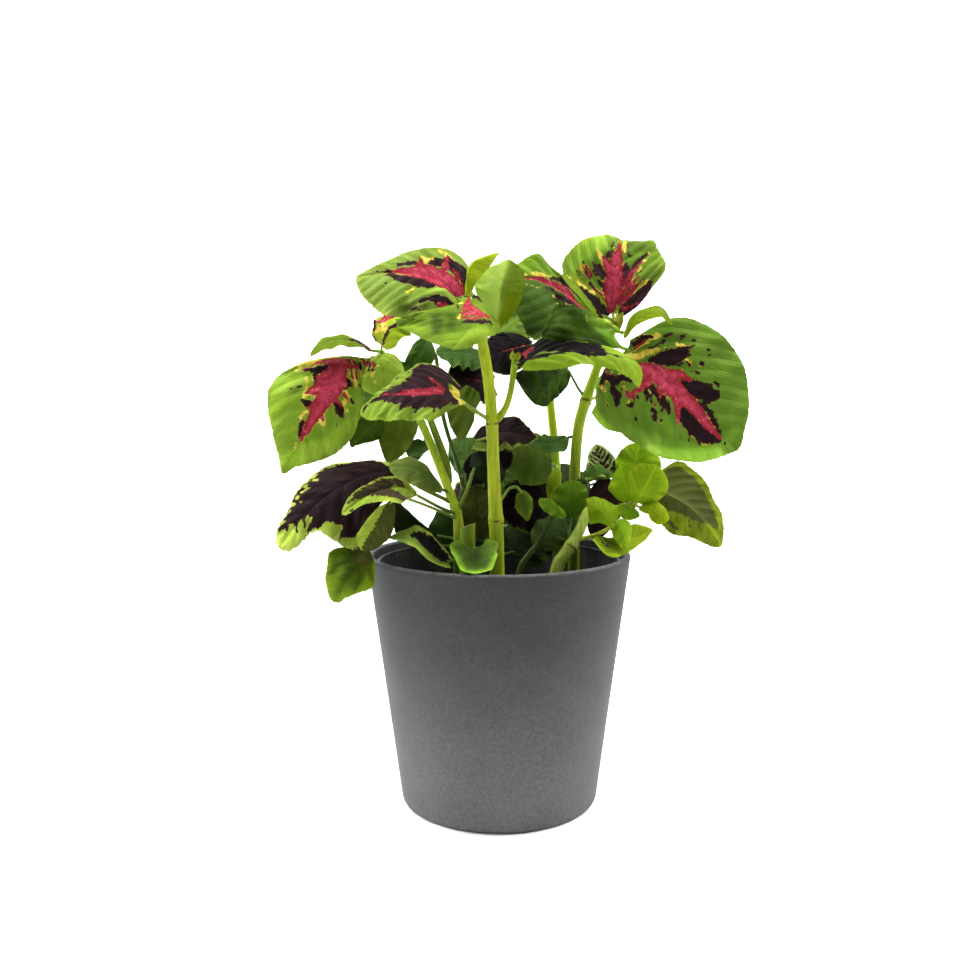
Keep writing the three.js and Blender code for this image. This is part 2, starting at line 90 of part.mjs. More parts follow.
  {"n":"leaf_inner_left","b":[-11.51,-21.0,166.02],"m":[[-6.8,-21.0,168.36]],"t":[3.1,-16.0,162.71],"l":[-3.55,-13.0,172.53],"r":[-8.19,-24.0,158.27],"tw":0.45,"curl":[-15,-15],"wave":[1,3,0],"p":"rd","pet":[[-14.92,-19.0,155.89],[-17.5,-17.43,150.63]],"sw":0.07,"lb":0.06,"kind":"under"},
  {"n":"stem_back","b":[-8.05,10.0,219.74],"m":[[-17.81,6.0,222.08]],"t":[-30.36,2.0,221.97],"l":[-18.46,-4.0,214.04],"r":[-19.08,14.0,227.34],"tw":0.45,"curl":[-12,-12],"wave":[1.6,4,0],"p":"rd","pet":[[-6.29,28.0,218.8],[-5.68,35.97,217.31]],"sw":0.07,"lb":0.06,"kind":"green"},
  {"n":"stem_back","b":[-2.12,8.0,205.89],"m":[[-11.87,2.0,208.33]],"t":[-24.29,-4.0,209.27],"l":[-12.69,-6.0,197.7],"r":[-12.02,10.0,219.26],"tw":0.45,"curl":[-10,-10],"wave":[1.6,4,0],"p":"rd","pet":[[-3.72,22.0,203.43],[-4.52,34.25,200.94]],"sw":0.07,"lb":0.06,"kind":"dark"},
  {"n":"stem_back_right","b":[26.85,10.0,166.42],"m":[[18.1,4.0,171.36]],"t":[1.74,-3.0,173.33],"l":[14.47,-2.0,156.53],"r":[17.81,10.0,181.48],"tw":0.45,"curl":[-12,-12],"wave":[1.6,3,0],"p":"rd","pet":[[29.59,22.93,164.1]],"sw":0.07,"lb":0.06,"kind":"green"},
  {"n":"stem_back_right","b":[27.14,14.0,144.74],"m":[[16.81,9.0,148.39]],"t":[-0.28,2.0,143.22],"l":[14.61,2.0,131.17],"r":[14.88,12.0,161.24],"tw":0.45,"curl":[-12,-12],"wave":[1.6,3,0],"p":"rd","pet":[[30.23,24.68,142.59]],"sw":0.07,"lb":0.06,"kind":"dark"},
  {"n":"leaf_low_left","b":[-21.19,-8.0,141.57],"m":[[-25.08,-9.0,134.85]],"t":[-27.97,-11.0,123.39],"l":[-17.38,-8.0,126.81],"r":[-33.51,-6.0,139.36],"tw":0.42,"curl":[-12,-12],"wave":[1.2,3,0],"p":"rd","pet":[[-20.22,-12.58,142.25]],"sw":0.07,"lb":0.06,"kind":"green","pl":[0.135,0.4,0.6,0.742,0.827,0.856,0.884,0.903,0.932,0.941,0.941,0.941,0.941,0.932,0.902,0.849,0.675,0.405,0.03],"pr":[0.45,0.909,0.989,0.951,0.941,0.951,0.979,0.979,0.941,0.894,0.837,0.751,0.666,0.6,0.514,0.419,0.315,0.18,0.03]},
  {"n":"leaf_low_inner","b":[-6.61,-10.0,131.53],"m":[[-9.98,-8.0,146.44]],"t":[-9.99,-4.0,162.67],"l":[-19.85,-4.0,148.45],"r":[0.22,-12.0,149.33],"tw":0.45,"curl":[-12,-12],"wave":[1.2,3,0],"p":"rd","pet":[[-6.09,-14.0,127.76],[-2.65,-21.83,125.88]],"sw":0.07,"lb":0.06,"kind":"dark","pl":[0.12,0.578,0.799,0.932,1.017,1.036,1.036,1.036,1.036,1.045,1.074,1.055,0.932,0.77,0.666,0.581,0.41,0.199,0.03],"pr":[0.087,0.619,0.865,0.941,0.989,1.036,1.074,1.064,0.998,0.951,0.941,0.932,0.894,0.827,0.704,0.562,0.419,0.256,0.03]},
  {"n":"stem_back_right","b":[29.37,10.0,164.4],"m":[[27.54,4.0,158.91]],"t":[24.99,2.0,148.65],"l":[30.28,0.0,156.8],"r":[24.07,4.0,157.92],"tw":0.45,"curl":[-20,-20],"wave":[0,3,0],"p":"el","pet":[[29.56,22.86,164.77]],"sw":0.07,"lb":0.06,"kind":"young"},
  {"n":"leaf_small_hanging","b":[10.5,-25.0,155.98],"m":[[12.27,-29.0,151.73]],"t":[13.63,-30.0,142.98],"l":[15.97,-29.0,151.72],"r":[7.66,-27.0,148.7],"tw":0.42,"curl":[-25,-15],"wave":[0.6,3,0],"p":"ov","pet":[[8.21,-23.0,158.13],[4.94,-21.0,156.99],[2.04,-23.93,153.42]],"sw":0.07,"lb":0.06,"kind":"plain"},
  {"n":"leaf_mottled_back","b":[51.89,14.0,157.43],"m":[[51.94,15.0,164.96]],"t":[49.62,18.0,175.95],"l":[42.56,12.0,166.23],"r":[62.17,12.0,166.18],"tw":0.42,"curl":[-10,-10],"wave":[1,3,0],"p":"rd","pet":[[45.97,10.0,155.79],[41.94,9.11,155.06]],"sw":0.07,"lb":0.06,"kind":"varieg","pl":[0.12,0.483,0.808,0.894,0.884,0.856,0.846,0.837,0.799,0.751,0.704,0.657,0.609,0.552,0.476,0.4,0.277,0.142,0.03],"pr":[0.12,0.35,0.647,0.875,0.903,0.884,0.846,0.799,0.751,0.704,0.647,0.571,0.514,0.467,0.419,0.353,0.239,0.133,0.03]},
  {"n":"leaf_edge_right","b":[42.73,2.0,159.55],"m":[[49.81,4.0,163.33]],"t":[56.83,9.0,162.4],"l":[52.0,11.0,167.29],"r":[49.62,-3.0,159.01],"tw":0.45,"curl":[-15,-30],"wave":[1,3,0],"p":"rd","pet":[[40.6,4.74,158.89]],"sw":0.07,"lb":0.06,"kind":"green","pl":[0.45,0.701,0.818,0.922,0.979,0.951,0.808,0.685,0.704,0.894,1.093,1.159,1.121,1.06,1.021,0.882,0.675,0.405,0.03],"pr":[0.45,0.501,0.514,0.524,0.59,0.751,0.903,0.913,0.818,0.789,0.913,1.093,1.14,1.027,0.875,0.785,0.657,0.405,0.03]},
  {"n":"leaf_purple_right","b":[43.53,-1.0,148.46],"m":[[50.6,-4.0,146.33]],"t":[59.2,-6.0,141.15],"l":[53.37,0.0,159.21],"r":[48.37,-8.0,130.63],"tw":0.45,"curl":[-12,-12],"wave":[1,3,0],"p":"rd","pet":[[39.95,5.23,148.89]],"sw":0.07,"lb":0.06,"kind":"purple","pl":[0.45,0.852,0.989,1.036,1.083,1.112,1.093,1.074,1.045,1.027,0.979,0.894,0.808,0.742,0.657,0.552,0.419,0.256,0.03],"pr":[0.12,0.331,0.562,0.77,0.884,0.932,0.951,0.979,0.989,0.998,1.036,1.074,1.074,1.045,1.007,0.877,0.675,0.405,0.03]},
  {"n":"shoot_low_centre","b":[35.03,-10.0,142.21],"m":[[34.76,-13.0,150.82]],"t":[35.41,-10.0,160.17],"l":[25.7,-12.0,152.66],"r":[43.95,-12.0,152.62],"tw":0.48,"curl":[8,8],"wave":[1,3,0],"p":"rd","pet":[[33.34,-14.0,132.56],[33.74,-16.65,131.55]],"sw":0.07,"lb":0.06,"kind":"green","pl":[0.12,0.274,0.524,0.695,0.799,0.875,0.903,0.932,0.941,0.941,0.941,0.922,0.846,0.751,0.657,0.552,0.41,0.228,0.03],"pr":[0.12,0.54,0.827,0.894,0.894,0.894,0.903,0.922,0.903,0.894,0.884,0.846,0.808,0.799,0.78,0.704,0.594,0.39,0.03]},
  {"n":"shoot_low_centre","b":[31.18,-17.0,142.64],"m":[[25.75,-20.0,147.34]],"t":[19.17,-19.0,152.0],"l":[23.82,-21.0,142.7],"r":[27.8,-17.0,152.24],"tw":0.45,"curl":[-8,-8],"wave":[0.8,3,0],"p":"rd","pet":[[33.45,-13.7,133.48]],"sw":0.07,"lb":0.06,"kind":"green","pl":[0.12,0.189,0.277,0.372,0.457,0.514,0.571,0.638,0.657,0.647,0.628,0.647,0.647,0.609,0.552,0.476,0.391,0.228,0.03],"pr":[0.12,0.445,0.552,0.562,0.562,0.552,0.533,0.562,0.6,0.609,0.6,0.571,0.552,0.514,0.457,0.372,0.277,0.171,0.03]},
  {"n":"stem_low_thin","b":[19.98,-12.0,128.86],"m":[[25.11,-6.0,135.3]],"t":[33.44,2.0,140.15],"l":[18.91,-2.0,138.72],"r":[31.22,-10.0,128.52],"tw":0.45,"curl":[-12,-12],"wave":[1,3,0],"p":"rd","pet":[[16.33,-12.37,126.25]],"sw":0.07,"lb":0.06,"kind":"olive"},
  {"n":"leaf_dark_low_left","b":[-29.64,-14.0,133.64],"m":[[-37.68,-15.0,139.62]],"t":[-49.23,-18.0,150.13],"l":[-45.12,-18.0,135.23],"r":[-40.77,-12.0,144.08],"tw":0.45,"curl":[-12,-12],"wave":[0.8,3,0],"p":"rd","pet":[[-22.82,-15.29,132.73]],"sw":0.07,"lb":0.06,"kind":"under","pl":[0.277,0.732,0.97,1.093,1.197,1.245,1.311,1.368,1.387,1.321,1.226,1.15,1.112,1.036,0.922,0.761,0.6,0.379,0.03],"pr":[0.12,0.485,0.376,0.344,0.315,0.249,0.268,0.448,0.713,0.837,0.732,0.552,0.495,0.571,0.676,0.695,0.622,0.4,0.03]},
  {"n":"leaf_thin_inner_left","b":[-33.09,0.0,176.18],"m":[[-38.83,4.0,173.98]],"t":[-47.0,7.0,177.81],"l":[-39.38,-2.0,169.45],"r":[-40.25,10.0,179.64],"tw":0.45,"curl":[-12,-12],"wave":[0.8,3,0],"p":"ov","pet":[[-29.66,-6.18,176.8]],"sw":0.07,"lb":0.06,"kind":"under"},
  {"n":"shoot_right","b":[65.63,-15.0,150.01],"m":[[69.24,-19.0,157.12]],"t":[75.23,-16.0,167.78],"l":[63.75,-17.0,165.51],"r":[81.47,-14.0,154.67],"tw":0.48,"curl":[-14,-10],"wave":[1,3,0],"p":"rd","pet":[[64.97,-13.0,148.34]],"sw":0.07,"lb":0.06,"kind":"bright","pl":[0.12,0.435,0.647,0.808,0.96,1.027,1.045,1.083,1.121,1.131,1.121,1.083,1.036,0.979,0.894,0.761,0.505,0.218,0.03],"pr":[0.45,0.644,0.78,0.837,0.846,0.846,0.856,0.894,0.932,0.941,0.932,0.894,0.846,0.799,0.751,0.676,0.514,0.304,0.03]},
  {"n":"shoot_right","b":[63.99,-13.0,150.27],"m":[[60.92,-14.0,156.64]],"t":[58.43,-10.0,168.33],"l":[54.34,-9.0,155.67],"r":[66.71,-13.0,163.26],"tw":0.48,"curl":[-14,-10],"wave":[1,3,0],"p":"rd","pet":[[64.97,-13.0,148.34]],"sw":0.07,"lb":0.06,"kind":"bright","pl":[0.372,0.628,0.799,0.932,1.036,1.112,1.14,1.159,1.121,1.045,0.979,0.875,0.713,0.571,0.457,0.306,0.141,0.095,0.03],"pr":[0.182,0.505,0.751,0.846,0.894,0.941,0.979,0.979,0.951,0.941,0.941,0.941,0.932,0.894,0.846,0.761,0.562,0.313,0.03]},
  {"n":"shoot_right","b":[64.89,-6.0,154.86],"m":[[66.29,-2.0,165.26]],"t":[69.64,2.0,177.27],"l":[57.34,1.0,167.51],"r":[78.92,1.0,169.92],"tw":0.48,"curl":[-14,-14],"wave":[1,3,0],"p":"rd","pet":[[64.97,-13.0,148.34]],"sw":0.07,"lb":0.06,"kind":"bright","pl":[0.12,0.426,0.6,0.704,0.789,0.846,0.894,0.941,0.979,0.989,0.979,0.941,0.894,0.837,0.751,0.657,0.533,0.313,0.03],"pr":[0.12,0.397,0.609,0.78,0.894,0.979,1.036,1.083,1.121,1.14,1.159,1.131,1.083,1.036,0.978,0.862,0.646,0.361,0.03]},
  {"n":"shoot_right","b":[63.41,-14.0,147.49],"m":[[61.6,-17.0,145.94]],"t":[60.43,-19.0,141.89],"l":[67.19,-18.0,143.66],"r":[56.94,-16.0,148.23],"tw":0.42,"curl":[-10,-10],"wave":[0,3,0],"p":"rd","pet":[[64.97,-13.0,148.34]],"sw":0.07,"lb":0.06,"kind":"bright"},
  {"n":"shoot_right","b":[67.72,-14.0,147.48],"m":[[72.36,-18.0,147.47]],"t":[80.62,-20.0,141.98],"l":[77.23,-14.0,150.84],"r":[71.51,-18.0,139.82],"tw":0.45,"curl":[-20,-20],"wave":[0.8,3,0],"p":"rd","pet":[[64.97,-13.0,148.34]],"sw":0.07,"lb":0.06,"kind":"bright","pl":[0.12,0.208,0.372,0.533,0.609,0.657,0.704,0.732,0.713,0.713,0.732,0.704,0.638,0.524,0.429,0.363,0.268,0.142,0.03],"pr":[0.12,0.303,0.4,0.429,0.476,0.552,0.609,0.647,0.666,0.695,0.713,0.742,0.742,0.713,0.676,0.571,0.457,0.294,0.03]},
  {"n":"leaf_purple_large_right","b":[76.37,-4.0,155.12],"m":[[90.35,-8.0,148.18],[100.48,-9.0,138.52]],"t":[108.41,-7.0,127.41],"l":[82.56,-4.0,132.43],"r":[101.91,0.0,162.55],"tw":0.45,"curl":[-14,-14],"wave":[1.4,4,0],"p":"rd","pet":[[70.52,-1.0,151.37],[62.44,-10.62,147.78]],"sw":0.07,"lb":0.06,"kind":"purpleunder","pl":[0.182,0.486,0.695,0.827,0.894,0.922,0.903,0.884,0.846,0.789,0.704,0.609,0.524,0.467,0.41,0.334,0.268,0.171,0.03],"pr":[0.45,0.881,0.979,0.941,0.903,0.875,0.808,0.742,0.666,0.609,0.562,0.524,0.505,0.457,0.372,0.277,0.182,0.095,0.03]},
  {"n":"shoot_low_right","b":[53.6,-25.0,139.87],"m":[[48.79,-30.0,147.11]],"t":[41.25,-26.0,152.73],"l":[41.99,-29.0,140.91],"r":[58.21,-21.0,149.29],"tw":0.45,"curl":[-18,-22],"wave":[0.8,3,0],"p":"rd","pet":[[46.81,-23.0,135.8],[41.52,-21.82,133.99]],"sw":0.07,"lb":0.06,"kind":"bright","pl":[0.087,0.182,0.277,0.391,0.543,0.704,0.922,0.979,0.932,0.856,0.799,0.742,0.657,0.562,0.457,0.334,0.22,0.104,0.03],"pr":[0.45,0.758,0.799,0.742,0.666,0.619,0.6,0.571,0.562,0.562,0.552,0.514,0.467,0.429,0.41,0.372,0.296,0.152,0.03]},
  {"n":"shoot_low_right","b":[55.1,-24.0,142.09],"m":[[58.05,-27.0,137.78]],"t":[61.23,-25.0,127.05],"l":[63.99,-21.0,138.81],"r":[50.97,-24.0,132.14],"tw":0.42,"curl":[-14,-14],"wave":[0.8,3,0],"p":"rd","pet":[[53.49,-24.0,139.02]],"sw":0.07,"lb":0.06,"kind":"bright","pl":[0.45,0.824,0.846,0.77,0.751,0.742,0.695,0.619,0.581,0.6,0.6,0.543,0.429,0.334,0.277,0.23,0.173,0.095,0.03],"pr":[0.23,0.41,0.543,0.609,0.647,0.647,0.619,0.6,0.562,0.514,0.476,0.457,0.419,0.363,0.287,0.23,0.173,0.095,0.03]},
  {"n":"shoot_low_right","b":[58.16,-19.0,133.27],"m":[[52.17,-26.0,130.55]],"t":[43.8,-30.0,134.49],"l":[52.11,-31.0,125.26],"r":[49.95,-20.0,136.31],"tw":0.45,"curl":[25,10],"wave":[0.8,3,0],"p":"rd","pet":[[53.49,-24.0,139.02]],"sw":0.07,"lb":0.06,"kind":"dark","pl":[0.45,0.954,1.143,1.121,1.045,0.998,0.989,0.998,1.017,0.951,0.789,0.723,0.751,0.761,0.638,0.438,0.296,0.199,0.03],"pr":[0.12,0.17,0.315,0.467,0.59,0.647,0.676,0.742,0.789,0.78,0.704,0.609,0.533,0.514,0.495,0.41,0.277,0.142,0.03]},
  {"n":"shoot_low_right","b":[59.83,-17.0,133.93],"m":[[66.32,-15.0,132.65]],"t":[74.56,-11.0,135.93],"l":[65.22,-12.0,139.49],"r":[63.6,-18.0,125.88],"tw":0.4,"curl":[-10,-10],"wave":[0,3,0],"p":"rd","pet":[[53.49,-24.0,139.02]],"sw":0.07,"lb":0.06,"kind":"bright","pl":[0.12,0.606,0.808,0.922,0.979,0.989,0.979,0.951,0.932,0.894,0.846,0.789,0.704,0.609,0.514,0.41,0.277,0.142,0.03],"pr":[0.12,0.388,0.78,0.96,0.856,0.704,0.571,0.476,0.429,0.41,0.372,0.325,0.277,0.23,0.182,0.135,0.103,0.095,0.03]},
  {"n":"stem_back","b":[-10.64,42.0,230.75],"m":[[-23.21,54.0,245.28]],"t":[-43.98,66.0,259.3],"l":[-31.28,52.0,232.41],"r":[-24.97,60.0,265.03],"tw":0.45,"curl":[-15,-15],"wave":[1.5,3,0],"p":"rd","pet":[[-6.37,37.0,226.85]],"sw":0.07,"lb":0.06,"kind":"top"},
  {"n":"stem_back","b":[-3.25,42.0,230.73],"m":[[11.78,54.0,241.96]],"t":[37.44,68.0,252.67],"l":[17.34,60.0,259.52],"r":[20.33,52.0,232.23],"tw":0.45,"curl":[-15,-15],"wave":[1.5,3,0],"p":"rd","pet":[[-6.32,36.93,226.17]],"sw":0.07,"lb":0.06,"kind":"top"},
  {"n":"stem_back","b":[-5.88,42.0,234.91],"m":[[-4.83,46.0,244.58]],"t":[-1.63,56.0,263.42],"l":[-9.62,48.0,248.43],"r":[3.67,48.0,249.95],"tw":0.45,"curl":[8,8],"wave":[0.8,3,0],"p":"rd","pet":[[-6.37,37.0,226.85]],"sw":0.07,"lb":0.06,"kind":"young"},
  {"n":"stem_back_right","b":[27.2,20.0,226.97],"m":[[36.38,36.0,232.33]],"t":[53.79,54.0,236.48],"l":[39.75,40.0,243.94],"r":[37.34,34.0,220.9],"tw":0.45,"curl":[-15,-15],"wave":[1.5,3,0],"p":"rd","pet":[[22.53,12.42,221.9]],"sw":0.07,"lb":0.06,"kind":"mid"},
  {"n":"leaf_back_right","b":[49.04,14.0,199.27],"m":[[64.08,30.0,199.1]],"t":[91.42,50.0,192.42],"l":[70.66,34.0,214.59],"r":[65.57,32.0,180.37],"tw":0.45,"curl":[-18,-18],"wave":[1.5,3,0],"p":"rd","pet":[[45.3,8.37,198.45]],"sw":0.07,"lb":0.06,"kind":"top"},
  {"n":"leaf_back_left","b":[-47.46,4.0,197.69],"m":[[-63.51,22.0,200.57]],"t":[-88.46,42.0,196.29],"l":[-67.86,22.0,184.25],"r":[-63.83,26.0,212.82],"tw":0.45,"curl":[-18,-18],"wave":[1.5,3,0],"p":"rd","pet":[[-42.8,-5.78,197.25]],"sw":0.07,"lb":0.06,"kind":"under"},
  {"n":"leaf_back_low_left","b":[-8.77,34.0,137.11],"m":[[-16.57,48.0,144.08]],"t":[-27.71,64.0,141.18],"l":[-19.92,48.0,129.85],"r":[-18.82,52.0,155.71],"tw":0.45,"curl":[-15,-15],"wave":[1.3,3,0],"p":"rd","pet":[[-4.22,31.2,136.42]],"sw":0.07,"lb":0.06,"kind":"purple"},
  {"n":"stem_back","b":[7.18,40.0,131.99],"m":[[9.55,52.0,145.77]],"t":[7.55,64.0,169.09],"l":[-3.58,56.0,148.69],"r":[27.02,52.0,149.03],"tw":0.45,"curl":[-12,-12],"wave":[1.3,3,0],"p":"rd","pet":[[-0.99,28.88,130.45]],"sw":0.07,"lb":0.06,"kind":"green"},
  {"n":"stem_back_right","b":[33.42,32.0,135.16],"m":[[36.02,40.0,146.47]],"t":[34.46,50.0,163.39],"l":[23.75,40.0,145.96],"r":[49.52,36.0,145.28],"tw":0.45,"curl":[-12,-12],"wave":[1.3,3,0],"p":"rd","pet":[[30.45,25.15,131.81]],"sw":0.07,"lb":0.06,"kind":"dark"},
  {"n":"stem_back","b":[-7.67,36.0,156.06],"m":[[-14.19,44.0,165.04]],"t":[-25.31,54.0,176.36],"l":[-22.81,44.0,159.68],"r":[-6.67,46.0,173.49],"tw":0.45,"curl":[-12,-12],"wave":[1.2,3,0],"p":"rd","pet":[[-1.62,30.57,153.75]],"sw":0.07,"lb":0.06,"kind":"green"},
  {"n":"leaf_over_rim_back","b":[-5.7,42.0,129.57],"m":[[-4.79,64.0,135.5]],"t":[-2.68,86.0,122.17],"l":[-17.2,66.0,129.61],"r":[7.54,66.0,129.56],"tw":0.5,"curl":[-15,-15],"wave":[1.3,3,0],"p":"rd","pet":[[-2.33,32.67,133.71]],"sw":0.07,"lb":0.06,"kind":"purple3"},
  {"n":"stem_back","b":[7.01,28.0,118.81],"m":[[15.58,34.0,124.24]],"t":[30.97,44.0,133.57],"l":[9.33,40.0,137.38],"r":[24.18,36.0,112.05],"tw":0.42,"curl":[-14,-14],"wave":[1.2,3,0],"p":"rd","pet":[[-0.79,27.9,116.74]],"sw":0.07,"lb":0.06,"kind":"green"}
];

// shoot tips: centre and half sizes, joined to the stem or shoot that they end
const BUDS = {
  shoot_right: [[64.97, -13.0, 148.58], [2.0, 2.0, 2.2]],
  shoot_low_right: [[53.49, -24.0, 139.02], [1.8, 1.8, 1.8]],
  stem_front: [[7.83, -27.6, 217.75], [2.6, 2.2, 2.6]],
  stem_right: [[58.2, -3.5, 235.73], [2.2, 2.2, 4.0]],
  stem_back: [[-6.38, 38.0, 228.45], [2.2, 2.2, 2.2]]
};

// ---- small vector helpers ----------------------------------------------------
const V = (a) => new THREE.Vector3(a[0], a[1], a[2]);
const rotAbout = (v, axis, a) => v.clone().applyAxisAngle(axis, a);
const interp = (x, xs, ys) => {
  if (x <= xs[0]) return ys[0];
  for (let i = 1; i < xs.length; i++) if (x <= xs[i]) return ys[i - 1] + (ys[i] - ys[i - 1]) * (x - xs[i - 1]) / (xs[i] - xs[i - 1]);
  return ys[ys.length - 1];
};

// smooth curve through points, n + 1 samples evenly spaced along it
function smooth(P, n) {
  P = P.map((p) => p.clone());
  if (P.length === 2) P = [P[0], P[0].clone().lerp(P[1], 0.5), P[1]];
  const Q = [P[0].clone().multiplyScalar(2).sub(P[1]), ...P, P[P.length - 1].clone().multiplyScalar(2).sub(P[P.length - 2])];
  const out = [];
  for (let i = 1; i < Q.length - 2; i++) {
    for (let k = 0; k < 40; k++) {
      const t = k / 40, c = (a) => 0.5 * (2 * Q[i][a] + (Q[i + 1][a] - Q[i - 1][a]) * t + (2 * Q[i - 1][a] - 5 * Q[i][a] + 4 * Q[i + 1][a] - Q[i + 2][a]) * t * t + (-Q[i - 1][a] + 3 * Q[i][a] - 3 * Q[i + 1][a] + Q[i + 2][a]) * t * t * t);
      out.push(new THREE.Vector3(c('x'), c('y'), c('z')));
    }
  }
  out.push(Q[Q.length - 2].clone());
  const s = [0];
  for (let i = 1; i < out.length; i++) s.push(s[i - 1] + out[i].distanceTo(out[i - 1]));
  const L = s[s.length - 1], res = [];
  let k = 1;
  for (let i = 0; i <= n; i++) {
    const u = L * i / n;
    while (k < s.length - 1 && s[k] < u) k++;
    res.push(out[k - 1].clone().lerp(out[k], (u - s[k - 1]) / Math.max(1e-9, s[k] - s[k - 1])));
  }
  return [res, L];
}
function tangents(C) {
  return C.map((p, i) => C[Math.min(C.length - 1, i + 1)].clone().sub(C[Math.max(0, i - 1)]).normalize());
}
function transport(T, i0, N0) {
  const N = new Array(T.length);
  N[i0] = N0.clone();
  const step = (i, j) => {
    let n = N[j].clone();
    const ax = T[j].clone().cross(T[i]), l = ax.length();
    if (l > 1e-9) n = rotAbout(n, ax.multiplyScalar(1 / l), Math.atan2(l, T[j].dot(T[i])));
    N[i] = n.addScaledVector(T[i], -n.dot(T[i])).normalize();
  };
  for (let i = i0 + 1; i < T.length; i++) step(i, i - 1);
  for (let i = i0 - 1; i >= 0; i--) step(i, i + 1);
  return N;
}

// ---- closed surfaces -----------------------------------------------------------
function geometry(pos, idx) {
  const g = new THREE.BufferGeometry();
  g.setAttribute('position', new THREE.Float32BufferAttribute(pos, 3));
  g.setIndex(idx);
  return g;
}
const toManifold = (g) => {
  let h = g.clone();
  for (const k of Object.keys(h.attributes)) if (k !== 'position') h.deleteAttribute(k);
  h = mergeVertices(h, 1e-4);
  const p = new Float32Array(h.attributes.position.array), all = Array.from(h.index.array), t = [];
  for (let i = 0; i < all.length; i += 3) if (all[i] !== all[i + 1] && all[i + 1] !== all[i + 2] && all[i] !== all[i + 2]) t.push(all[i], all[i + 1], all[i + 2]);
  return new wasm.Manifold(new wasm.Mesh({ numProp: 3, vertProperties: p, triVerts: new Uint32Array(t) }));
};
const fromManifold = (m) => {
  const r = m.getMesh();
  return geometry(Array.from(r.vertProperties), Array.from(r.triVerts));
};

// round tube of changing radius along a list of points, closed at both ends
function tube(P, R, n, k) {
  const [C] = smooth(P, n), T = tangents(C);
  const d = [0];
  for (let i = 1; i < P.length; i++) d.push(d[i - 1] + P[i].distanceTo(P[i - 1]));
  const xs = d.map((v) => v / d[d.length - 1]);
  const seed = Math.abs(T[0].y) < 0.9 ? new THREE.Vector3(0, 1, 0) : new THREE.Vector3(1, 0, 0);
  const N = transport(T, 0, T[0].clone().cross(seed).normalize());
  const pos = [], idx = [];
  C.forEach((c, i) => {
    const B = T[i].clone().cross(N[i]), r = interp(i / n, xs, R);
    for (let j = 0; j < k; j++) {
      const a = 2 * Math.PI * j / k;
      const p = c.clone().addScaledVector(N[i], r * Math.cos(a)).addScaledVector(B, r * Math.sin(a));
      pos.push(p.x, p.y, p.z);
    }
  });
  for (let i = 0; i < n; i++) for (let j = 0; j < k; j++) {
    const a = i * k + j, b = i * k + (j + 1) % k, c = a + k, e = b + k;
    idx.push(a, b, e, a, e, c);
  }
  for (let j = 1; j < k - 1; j++) { idx.push(0, j + 1, j); const o = n * k; idx.push(o, o + j, o + j + 1); }
  return geometry(pos, idx);
}

const PROFILE = {
  ov: [[0, .05, .12, .2, .3, .42, .55, .7, .82, .91, .97, 1], [.34, .56, .79, .92, 1, .98, .87, .65, .42, .235, .10, .02]],
  rd: [[0, .05, .12, .2, .32, .45, .6, .75, .86, .94, .98, 1], [.40, .66, .86, .96, 1, .99, .92, .74, .52, .30, .14, .03]],
  el: [[0, .05, .12, .2, .32, .45, .6, .75, .86, .94, .98, 1], [.14, .32, .56, .77, .95, 1, .93, .70, .46, .24, .11, .02]],
};

// middle surface of a blade: rows from base to tip, columns from margin to margin
function bladeSurface(f, nt, ns) {
  const n = 240, [C, L] = smooth([V(f.b), ...f.m.map(V), V(f.t)], n), T = tangents(C);
  const i0 = Math.round(f.tw * n);
  const side = (e) => {
    const d = V(e).sub(C[i0]);
    d.addScaledVector(T[i0], -d.dot(T[i0]));
    const w = d.length();
    return [d.multiplyScalar(1 / w), w];
  };
  const [dl, wl] = side(f.l), [dr, wr] = side(f.r);
  const N0 = T[i0].clone().cross(dl.clone().sub(dr).normalize()).normalize();
  const S0 = N0.clone().cross(T[i0]);
  const fl = Math.atan2(dl.dot(N0), dl.dot(S0)), fr = Math.atan2(dr.dot(N0), -dr.dot(S0));
  const N = transport(T, i0, N0);
  const [tx, ty] = PROFILE[f.p], rad = Math.PI / 180, rows = [];
  for (let a = 0; a <= nt; a++) {
    const t = a / nt, x = t * n, i = Math.min(n - 1, Math.floor(x)), u = x - i;
    const m = C[i].clone().lerp(C[i + 1], u), tt = T[i].clone().lerp(T[i + 1], u).normalize(), nn = N[i].clone().lerp(N[i + 1], u).normalize();
    const ss = nn.clone().cross(tt), row = new Array(2 * ns + 1);
    for (const [sg, w, f0, kd, key] of [[1, wl, fl, f.curl[0], 'pl'], [-1, wr, fr, f.curl[1], 'pr']]) {
      const k = kd * rad, f1 = f0 * (1 - 0.55 * Math.max(0, (t - 0.6) / 0.4));
      const prof = f[key] ? interp(t, f[key].map((_, q) => q / (f[key].length - 1)), f[key]) : interp(t, tx, ty);
      for (let j = 0; j <= ns; j++) {
        const s = j / ns, W = w * prof;
        let xa, ya;
        if (Math.abs(k) > 1e-6) {
          xa = (Math.sin(f1 + k * (s - 0.5)) - Math.sin(f1 - k * 0.5)) / k;
          ya = (-Math.cos(f1 + k * (s - 0.5)) + Math.cos(f1 - k * 0.5)) / k;
        } else { xa = s * Math.cos(f1); ya = s * Math.sin(f1); }
        const along = L * (f.sw * s * s * Math.min(1, t * 4) * Math.sqrt(1 - t) * 1.4 - f.lb * s * s * Math.max(0, 1 - t / 0.22) ** 2);
        const wv = f.wave[0] * s * s * Math.sin(2 * Math.PI * f.wave[1] * t + f.wave[2] + (sg > 0 ? 0 : 1.7)) * Math.sin(Math.PI * Math.min(1, t * 1.08)) ** 0.7;
        row[sg > 0 ? ns - j : ns + j] = m.clone().addScaledVector(ss, sg * W * xa).addScaledVector(nn, W * ya + wv).addScaledVector(tt, along);
      }
    }
    rows.push(row);
  }
  return [rows, L];
}

